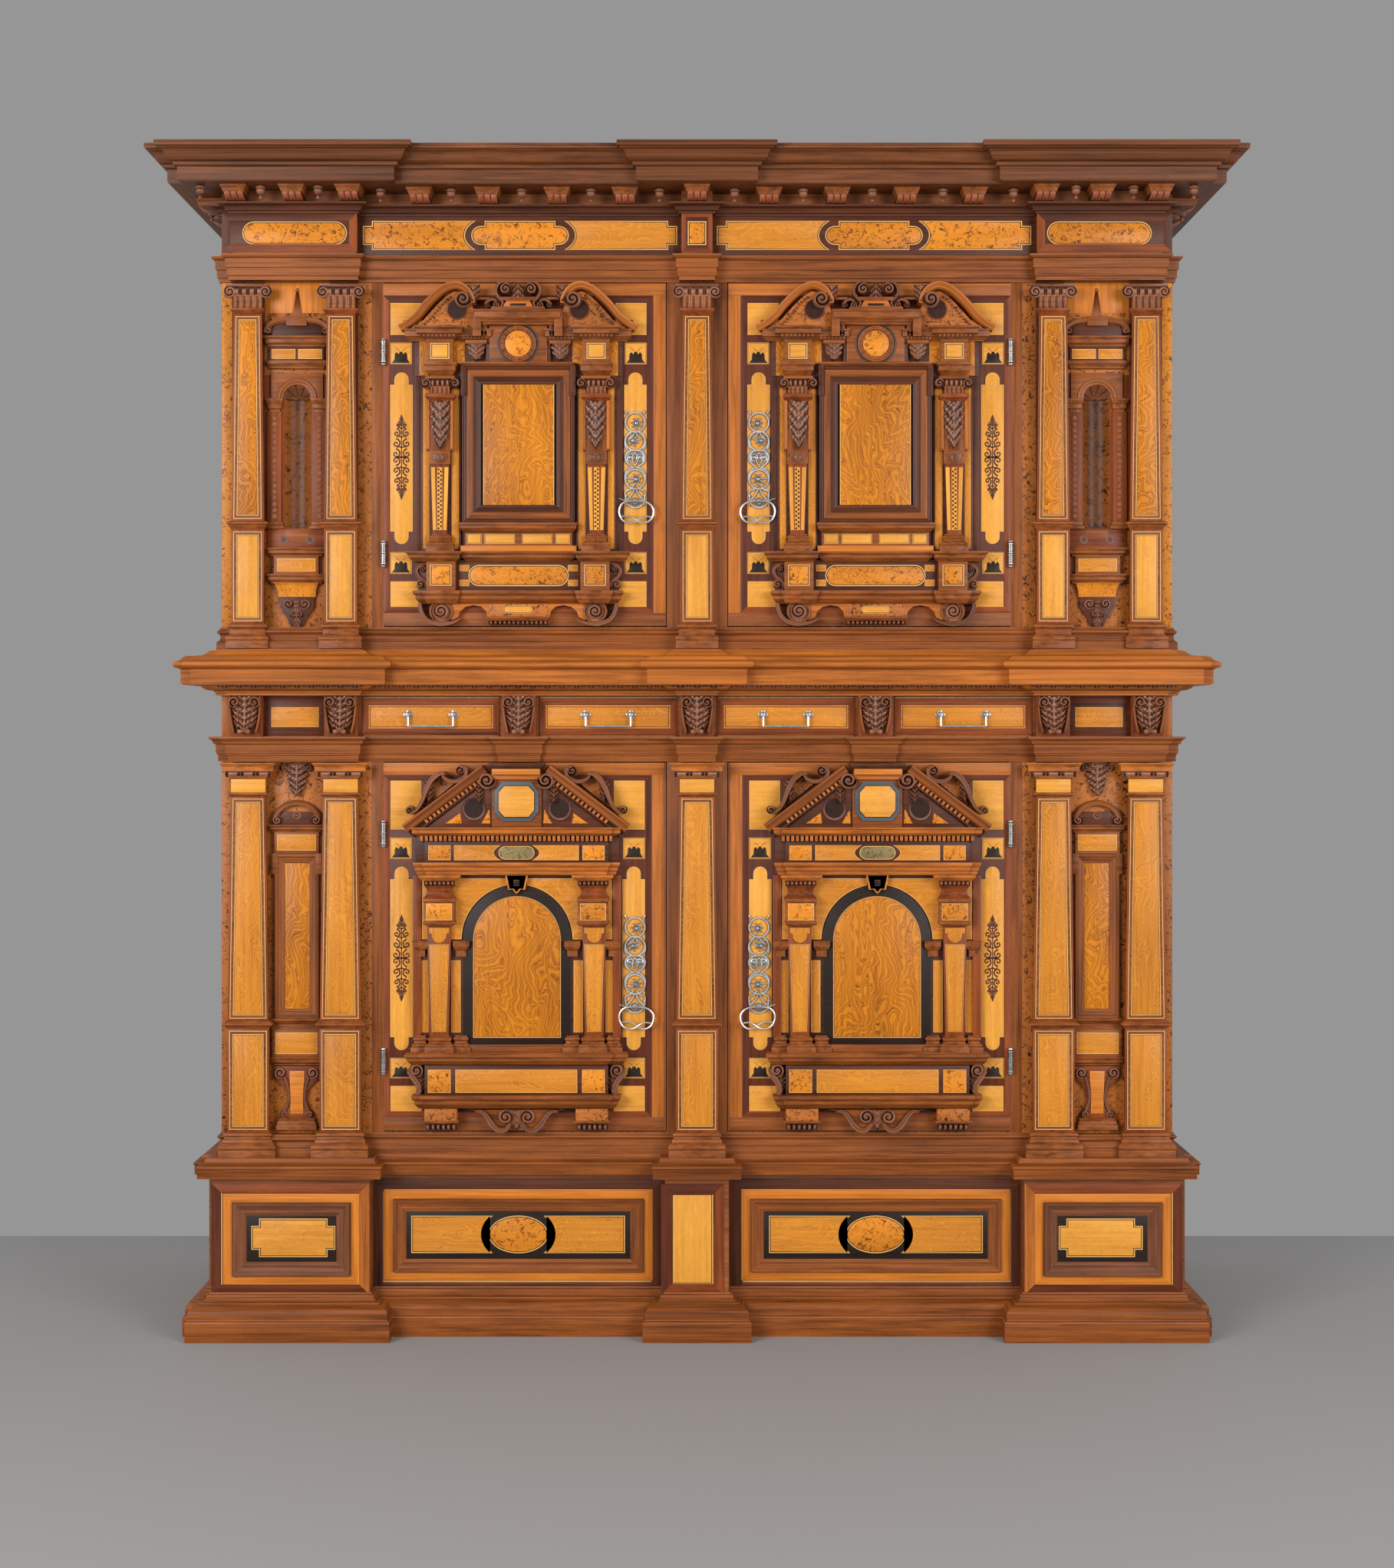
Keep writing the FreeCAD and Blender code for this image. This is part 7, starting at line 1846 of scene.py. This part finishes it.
for y in np.linspace(545, 673, 17):
    spot = traced([(357.4, y)], 7)[0]
    boss(niche, "walnut", spot, 5, [(5, -1), (5, 1.2), (3.4, 2.6), (0.6, 2.8)], 10)
moulding(niche, "walnut", 346, 369.4, 680.4, 689, 12, [(6, 0), (6, 0.4), (3, 0.6), (3, 1)])
hollow, u = 26.2 * MM, np.linspace(0, np.pi, 17)[None, :]
low_z, high_z = up(702, 0), up(519.4, 0)
carve(niche, "burl_dark", AXIS - hollow * np.cos(u), FACE + hollow * np.sin(u) - 0.2 * MM,
      np.array([[low_z], [high_z]]), FACE + 26.8 * MM)
fan = np.linspace(0, np.pi, 37)[None, :]
reach = np.linspace(0.08, 1, 12)[:, None]
rib = np.abs(np.sin(fan * 4.5)) ** 0.8
shell_x = AXIS - 26.6 * MM * reach * np.cos(fan)
shell_z = centre[1] + 26.6 * MM * reach * np.sin(fan)
shell_y = FACE + (21 - 19 * reach ** 2.2 - 4.2 * rib * reach) * MM
carve(niche, "carved", shell_x, shell_y, shell_z, FACE + 26.8 * MM)
slab(niche, "walnut", 372.4, None, 692, 700, 5.4, back=-24)
slab(niche, "walnut_red", 349, None, 689, 716, 5)
spot = traced([(370, 703.4)], 7)[0]
boss(niche, "walnut_dark", spot, 4.6, [(8.6, -1), (8.6, 0.9), (1, 0.7)], 20)
moulding(niche, "walnut", 347, None, 714, 725, 20, SILL)
slab(niche, "walnut", 357, None, 724.6, 748.6, 15, 0.8)
panelled(niche, 361, None, 728, 745, 15, "ash_fine", [(1.0, "string")])
moulding(niche, "walnut", 347, None, 748, 760.6, 20, SILL)
moulding(niche, "burl", 357, None, 760, 778.6, 15,
         [(0, 0), (0.6, 0.2), (2, 0.5), (5, 0.85), (8, 1)], 0.2)
tablet(niche, "walnut_dark", even([(364, 778), (365, 792), (374, 806), (378.8, 816)], 8),
       fore(-1), fore(8))
for x, y, radius, hand in ((375.4, 787, 6.6, -1), (382.4, 801, 5.4, 1)):
    scroll(niche, x, y, 16, radius / PER_MM, 0, 17, 2.0, hand, 90)
leaf(niche, *pixels(383.4, 392.2, 805, 819, 16), fore(6), 9, 2, -1)
beads(niche, "carved", traced([(387.8, 782), (387.8, 798)], 12), 3, 3.4, fore(7), 4)
whole(niche)
niche.twin()
niche.fit(replaces="upper_niches")

# %% Lower niches
niche = Piece("lower_niches_dressed")
slab(niche, "burl_dark", 345.4, None, 992, 1477, 0.4, 0.2, True)
leaf(niche, *pixels(372, None, 996.4, 1038, 10), fore(0), 16, 5, -1, 0.2, 0.6)
for x, hand in ((371.4, 1), (395.4, -1)):
    scroll(niche, x, 1001, 12, 7, 0, 14, 1.8, hand, 200)
sweep(niche, "walnut", arc((AXIS, up(1078, 12)), 43 * MM, 158, 22, 22),
      [(0, 0), (0, 13), (3, 14), (8, 12), (11, 9), (11, 0)])
slab(niche, "walnut_dark", 356, None, 1058, 1076, 7)
scroll(niche, 361, 1069, 14, 10, 0, 17, 1.9, 1, 200)
boss(niche, "carved", (AXIS, up(1063, 10)), 6,
     [(9, -1), (9, 2), (7, 4), (4, 3), (2.6, 6), (0.5, 7)], 16)
moulding(niche, "walnut", 348.6, None, 1075.4, 1085, 19, SILL)
slab(niche, "walnut", 357.4, None, 1084.6, 1112.6, 12, 0.8)
panelled(niche, 361, None, 1088, 1108.6, 12, "ash_fine", [(1.0, "string")])
x, z = pixels(357.4, None, 1112.4, 1328.6, 10)
picture_frame(niche, "walnut", x, z, in_metres([(0, -1), (0, 9), (2, 10), (7, 10), (9, 7),
                                                (14, 6), (16, 4.4), (20, 4), (20, -1)]), fore(0))
slab(niche, "walnut", 353.8, 362, 1112.4, 1139.4, 10.4)
x, z = pixels(370, None, 1120.6, 1321, 4)
inlay(niche, rectangle(x, z), fore(2.4), [(1.2, "string")], "ash", True)
moulding(niche, "walnut", 350, None, 1328, 1342.4, 16,
         [(4, 0), (5, 0.1), (2, 0.3), (2, 0.5), (7, 0.74), (9, 0.84), (9, 1)])
slab(niche, "walnut", 354.6, None, 1342, 1379.4, 14, 0.8)
panelled(niche, 359, None, 1346, 1374, 14, "ash_fine", [(1.0, "string")])
moulding(niche, "walnut", 350.6, None, 1378.4, 1390, 18, SILL)
tablet(niche, "walnut_red", even([(357, 1390), (356, 1404), (364, 1411), (372, 1420),
                                  (374.6, 1434), (372, 1447), (366, 1458)], 8),
       fore(-1), fore(8))
tablet(niche, "honey", even([(376.6, 1396), (378.4, 1452)], 10), fore(6), fore(10.5), 3 * MM)
for x, y, radius, hand in ((365, 1399, 8, -1), (369, 1453.4, 5, 1)):
    scroll(niche, x, y, 16, radius / PER_MM, 0, 17, 2.0, hand, 90)
carved_band(niche, [(371, 1404), (375, 1418), (376, 1434), (371, 1449)], 12, 5, 2, 13, steps=6)
moulding(niche, "walnut", 359.6, None, 1458, 1473, 16,
         [(6, 0), (6, 0.4), (4, 0.5), (4, 0.66), (1, 0.8), (3, 1)])
whole(niche)
niche.twin()
niche.fit(replaces="lower_niches")

# %% [markdown]
# ## Frieze with the drawers
# Seven leaf consoles carry the waist cornice and part the four drawers. Under the corona
# runs a carved leaf row, one height field per straight length so that it keeps to its
# breaks. Each drawer front has a mitred walnut border, a string, and a figured field.

# %% Leaf row and consoles
def leaf_row(piece, x, ground, unit):
    """Leaves side by side: a bell over each unit, ribs that fan from its foot, and a dart
    between two."""
    count = max(1, round((x[1] - x[0]) / (unit * MM)))
    u = np.linspace(0, count, count * 14 + 1)[None, :]
    t = np.linspace(0, 1, 10)[:, None]
    share = u % 1.0 - 0.5
    bell = np.clip(1 - (np.abs(share) / 0.46) ** 2.5, 0, 1)
    ribs = 0.5 + 0.5 * np.cos(share * (2.2 - t) * 2 * np.pi * 2.4)
    dart = 0.8 * np.clip(1 - (0.5 - np.abs(share)) / 0.08, 0, 1) * (1 - 0.4 * t)
    height = np.maximum(bell * (0.45 + 0.55 * ribs) * (0.6 + 0.4 * np.sin(t * np.pi)), dart)
    y = fore(ground + 19 + 21 * t ** 1.1 + 5 * height)
    carve(piece, "carved", x[0] + (x[1] - x[0]) * u / count, y, (1283.6 + 10.8 * t) * MM,
          fore(ground + 8), gain=0.8)


row = Piece("waist_leaf_row")
for x0, x1, ground in ((-BODY_HALF + 0.025 - 0.020, -BAY_EDGE + 0.018, 25),
                       (-BAY_EDGE + 0.020, -POST_HALF - 0.020, 0)):
    leaf_row(row, (x0, x1), ground, 29)
row.twin()
leaf_row(row, (-POST_HALF - 0.018, POST_HALF + 0.018), 25, 29)
row.fit()

consoles = Piece("frieze_consoles_dressed")
slab(consoles, "walnut_light", 289.4, 300.6, 908, 959, 0.6, 0.5, True)
slab(consoles, "plum", 341, 425.6, 908, 959, 1.6)
slab(consoles, "walnut_dark", 348.8, 420.4, 916.4, 952.8, 2.2, 0.2, back=0)
panelled(consoles, 353.6, 415.4, 922, 947.6, 2.4, "ash_fine", [(1.0, "string")])


def console(piece, centre):
    """A back plate with a scrolled side, and a leaf that hangs from two curls."""
    half = 33 * MM
    board(piece, "walnut_red", (centre - half, centre + half), (1.1922, 1.2738), fore(-1),
          fore(20), 1.2 * MM, True)
    for side in (-1, 1):
        line = [(centre + side * 29.5 * MM, 1.272), (centre + side * 30.5 * MM, 1.250),
                (centre + side * 27 * MM, 1.222), (centre + side * 22 * MM, 1.200)]
        sweep(piece, "walnut", drawn(line, 6), [(-2.2, 10), (2.2, 10), (2.2, 30), (0, 32),
                                                (-2.2, 30)])
        volute(piece, (centre + side * 19.5 * MM, 1.2610), 12 * MM, fore(14), 30 * MM, 1.9, side,
               90)
        leaf(piece, (centre + side * 14 * MM - 13 * MM, centre + side * 14 * MM + 13 * MM),
             (1.207, 1.262), fore(12), 22, 5, -1, curl_out=0.2)
    leaf(piece, (centre - 25 * MM, centre + 25 * MM), (1.198, 1.272), fore(18), 22, 6, -1,
         curl_out=0.5)
    turned(piece, "carved", (centre, fore(38), 1.2020), [(0.5, -12.5), (4, -12), (5.2, -8),
           (4.6, 0), (5.2, 8), (4, 12), (0.5, 12.5)], axis="x", sides=12)


for x in (-0.901, -0.711, -0.3555):
    console(consoles, x)
consoles.twin()
console(consoles, 0.0)
consoles.fit(replaces="frieze_consoles")

# %% Drawer fronts
for name, x0, x1 in (("outer_left", 471.2, 651.8), ("inner_left", 702.0, 883.0)):
    drawer = Piece(f"drawer_{name}_face")
    x, z = pixels(x0 + 0.4, x1 - 0.4, 910.4, 958.4, 0.6)
    flat_frame(drawer, "walnut_red", x, z, 12.6, fore(0), 1.0)
    x, z = shrink(x, 12.4 * MM), shrink(z, 12.4 * MM)
    board(drawer, "walnut_dark", x, z, fore(-1), fore(0.5), 0.1 * MM)
    inlay(drawer, rectangle(x, z), fore(0.5), [(1.0, "walnut_dark"), (3.0, "honey"),
                                               (1.1, "walnut_dark")], "ash_fine")
    drawer.fit_pair("drawer_" + name)

# %% [markdown]
# ## Irons
# Pulls, bails, ring handles, hinges and the pierced mounts on the lock side are all forged
# from rod and cut plate. A rod along a line in space is the plainest way to make them, and
# a flattened rod serves for the straps. The pierced pattern is four rings on a stem with
# bosses and buds, drawn for this model.

# %% Rods
def rod(piece, line, radius, sides=8, flat=1.0):
    """A rod along points in space. Across it lie the y axis made square to the tangent, and
    the cross product of the two; the radius may change along it."""
    line = np.asarray(line, float)
    way = np.gradient(line, axis=0)
    way /= np.linalg.norm(way, axis=1)[:, None]
    first = np.array([0, -1.0, 0]) + way * way[:, 1:2]
    first /= np.linalg.norm(first, axis=1)[:, None]
    second = np.cross(way, first)
    turn = np.linspace(0, 2 * np.pi, sides, endpoint=False)
    radius = np.broadcast_to(np.asarray(radius, float), len(line))[:, None, None] * MM
    points = (line[:, None] + radius * flat * np.sin(turn)[None, :, None] * first[:, None]
              + radius * np.cos(turn)[None, :, None] * second[:, None])
    # The relief is the sine round the rod: its front half, towards the lamps, is painted lighter
    # and its back half painted darker.
    relief = np.repeat((np.sin(turn) * 0.9)[None, :], len(line), axis=0)
    piece.add("iron", points, tube_faces(len(line), sides), None, relief)


def in_space(points, depth):
    """Points (x, z), smoothed, given a depth in millimetres proud of the case front, or one
    for each."""
    line = drawn(points, 5)
    deep = stretched(np.broadcast_to(depth, len(points)), len(line))
    return np.column_stack([line[:, 0], fore(deep), line[:, 1]])


def ball(piece, centre, radius):
    turned(piece, "iron", centre, [(radius * s, -radius * c) for s, c in
                                   ((0.1, 1), (0.6, 0.8), (0.95, 0.3), (0.95, -0.3), (0.6, -0.8),
                                    (0.1, -1))], sides=10)


# %% Pulls and bails
PULL_Z = 1.2356
for name, middle in (("outer_left", -0.53325), ("inner_left", -0.17775)):
    pulls, bail = Piece(f"pulls_{name}_dressed"), Piece(f"bail_{name}_dressed")
    for side in (-1, 1):
        x, z = middle + side * 45.5 * MM, PULL_Z
        for petal in range(4):
            angle = math.radians(90 * petal)
            spread = np.array([math.cos(angle), math.sin(angle)])
            cross = np.array([-spread[1], spread[0]])
            outline = [np.array([x, z]) + (spread * a + cross * b) * MM for a, b in
                       ((2, -3), (5.5, -5), (8, -3.6), (9.6, -1.6), (10.8, 0), (9.6, 1.6),
                        (8, 3.6), (5.5, 5), (2, 3))]
            tablet(pulls, "iron", outline, fore(0), fore(3.2), 1.2 * MM, wear_and_shading=1)
            spot = np.array([x, z]) + (spread + cross) * 4.6 * MM
            boss(pulls, "iron", spot, 1, [(2.6, -1), (2.6, 1), (1.6, 2.4), (0.4, 3)], 8)
        boss(pulls, "iron", (x, z), 0,
             [(6, 0), (6, 4), (4.6, 6), (3.4, 6.4), (3.4, 9), (4.2, 10), (3.6, 12.4), (1, 13)],
             14)
    left_x, right_x, low_z = middle - 45 * MM, middle + 45 * MM, 1.2130
    for x in (left_x, right_x):
        rod(bail, in_space([(x, 1.2372), (x, 1.230), (x, 1.222), (x, low_z)], 9.8), 2.0)
    bar = np.linspace(left_x, right_x, 33)
    swell = 1.9 + 1.0 * np.exp(-((bar - middle) / 0.014) ** 2)
    rod(bail, np.column_stack([bar, np.full(33, fore(9.8)), np.full(33, low_z)]),
        np.minimum(swell, 2.35))
    for x in (middle, middle - 5.2 * MM, middle + 5.2 * MM):
        turned(bail, "iron", (x, fore(9.8), low_z), [(1.5, -2), (2.4, -1.2), (2.4, 1.2),
                                                     (1.5, 2)], axis="x", sides=12)
    pulls.fit_pair("drawer_" + name, "pulls_" + name)
    bail.fit_pair("bail_" + name, "bail_" + name)


# %% Mounts, hinges and ring handles
HINGE_X, HINGE_Y = -0.628, -0.2315           # the axis of the left doors
MOUNT_X, EYE_Z = -0.124, {"upper": 1.6616, "lower": 0.6496}
JOINTS_Z = {"upper": (1.558, 1.9625), "lower": (0.542, 0.9975)}


def mount(piece, eye_z):
    """A stem of pierced rings from 22 mm under the eye of the handle to 178 mm over it."""
    def at(dx, dz):
        return (MOUNT_X + dx * MM, eye_z + dz * MM)

    def hoop(dz, radius, start=0, stop=360):
        ring = np.array(arc(at(0, dz), radius * MM, start, stop, 30))
        rod(piece, np.column_stack([ring[:, 0], np.full(31, fore(3.2)), ring[:, 1]]),
            2.3, 6, 0.9)

    for dz in (160, 123, 46):
        hoop(dz, 19.6)
    hoop(8, 19, -200, 20)
    for dx, dz, depth in ((3, 158, 8), (-4, 123, 8.5), (2, 46, 8), (-10, 90, 6), (10, 90, 6)):
        spot = at(dx, dz)
        boss(piece, "iron", spot, 1.5,
             [(7.4, 0), (7.8, 1.6), (6, depth - 4), (3.4, depth - 2.4), (3, depth - 1.6),
              (1, depth - 1.2)], 14)
        for turn in range(7):
            angle = 2 * math.pi * turn / 7 + dx
            far = (spot[0] + 10.4 * MM * math.cos(angle), spot[1] + 10.4 * MM * math.sin(angle))
            ball(piece, (far[0], fore(3), far[1]), 1.9)
    for side in (-1, 1):
        for points, thick in (
                ([(-4, 142), (9, 140), (19, 128), (19.6, 112), (12, 100)], 2.1),
                ([(2, 104), (12, 102), (19, 94), (18, 82), (10, 74), (2, 68)], 2.5),
                ([(0, 100), (5, 92), (5, 82), (0, 74)], 1.9),
                ([(4, 70), (13, 66), (20, 56), (20.4, 44)], 2.1),
                ([(16, 176), (19, 182), (20.4, 184)], 1.9),
                ([(3, 34), (10, 26), (19, 22), (20.4, 12)], 2.1),
                ([(2, 24), (8, 14), (16, 4), (19, -8)], 1.9),
                ([(0, 142), (6, 132), (14, 126)], 1.6)):
            line = in_space([at(side * a, b) for a, b in points], 3.6)
            rod(piece, line, np.interp(np.linspace(0, 1, len(line)), (0, 0.5, 1),
                                       (thick, thick * 1.15, thick * 0.6)), 6, 0.9)
    for a, b in (((-19, 48), (2, 48)), ((-17, 36), (2, 46)), ((-12, 118), (12, 128))):
        rod(piece, in_space([at(*a), at((a[0] + b[0]) / 2, (a[1] + b[1]) / 2), at(*b)], 4.6),
            1.5, 6)
    spot = at(0, 1)
    boss(piece, "iron", spot, 1, [(9, -1), (9, 2.4), (6.5, 5), (5.5, 7), (3, 7.4)], 16)
    for side in (-1, 1):
        spot = at(side * 5.2, 0)
        turned(piece, "iron", (spot[0], fore(13), spot[1]),
               [(2.8, -1.6), (2.8, 1.6)], axis="x", sides=12)
        rod(piece, in_space([at(side * 5.2, 2), at(side * 5.2, 1), at(side * 5.2, 0)],
                            (4, 8, 11)), 2.6, 8)


def knuckle(piece, foot, head, wing):
    """One barrel of a hinge about the door's axis, ringed, with a small acorn at its end.
    Its wing is a strip so many millimetres wide, to the right of the axis or the left."""
    length = abs(head - foot) / MM
    way = 1 if head > foot else -1
    profile = [(5.7, 0), (6.3, 0.6), (6.3, 2), (5.7, 2.6), (5.7, length - 9), (6.3, length - 8.4),
               (6.3, length - 7), (3.6, length - 6.2), (5.2, length - 4), (4.2, length - 1.2),
               (0.6, length)]
    turned(piece, "iron", (HINGE_X, HINGE_Y, foot), [(r, way * a) for r, a in profile],
           sides=14)
    board(piece, "iron", sorted((HINGE_X, HINGE_X + wing * MM)),
          sorted((foot + way * 3 * MM, head - way * 10 * MM)), fore(-0.5), fore(3.4), 0.8 * MM)


def handle(piece, eye_z):
    """Two rods that leave the eye, sweep down, cross twice and end in balls. The pixels are
    those of the upper left door; the handle below hangs under its own eye."""
    drop = eye_z - EYE_Z["upper"] - 1.4 * MM

    def at(x, y):
        place = traced([(x, y)], 13)[0]
        return place[0], place[1] + drop

    left = [(828, 652), (818, 652.4), (811, 655.6), (807.4, 662), (807.4, 669.6), (811.6, 677.2),
            (819, 680.6), (827.6, 679.4), (834, 675), (841, 672.2), (848, 673)]
    right = [(828, 652), (838, 652.4), (846, 655.4), (851.2, 661.6), (851.6, 669.6),
             (848, 676.8), (841, 680.6), (833, 679), (826.6, 674.4), (819.6, 671.4), (811, 672)]
    for points, depth in ((left, (13, 13, 12.4, 12, 11.4, 11.2, 11.4, 13, 14.8, 14.6, 13.6)),
                          (right, (13, 13, 13.4, 14, 14.4, 14.4, 14, 12.6, 11.2, 11, 11.6))):
        line = in_space([at(*point) for point in points], depth)
        rod(piece, line, np.interp(np.linspace(0, 1, len(line)), (0, 0.1, 0.5, 1),
                                   (1.6, 2.0, 2.0, 1.5)))
        ball(piece, line[-1], 2.3)
    horn = in_space([at(824, 652.4), at(815, 651.6), at(806.5, 648.6)], (13, 12.6, 12.6))
    rod(piece, horn, np.linspace(1.7, 0.8, len(horn)))


seats = Piece("hinge_seats_dressed")
for tier in ("upper", "lower"):
    irons, ring = Piece(f"door_{tier}_left_mount"), Piece(f"ring_{tier}_left_dressed")
    mount(irons, EYE_Z[tier])
    handle(ring, EYE_Z[tier])
    for joint_z in JOINTS_Z[tier]:
        knuckle(irons, joint_z + 0.0004, joint_z + 0.0275, 5)
        knuckle(seats, joint_z - 0.0004, joint_z - 0.0275, -5)
    irons.fit_pair(f"door_{tier}_left", f"door_{tier}_left_irons")
    ring.fit_pair(f"ring_{tier}_left", f"door_{tier}_left_ring")
seats.twin()
seats.fit(replaces="hinge_seats")

# %% Sizes and the end
low, high = cad_box
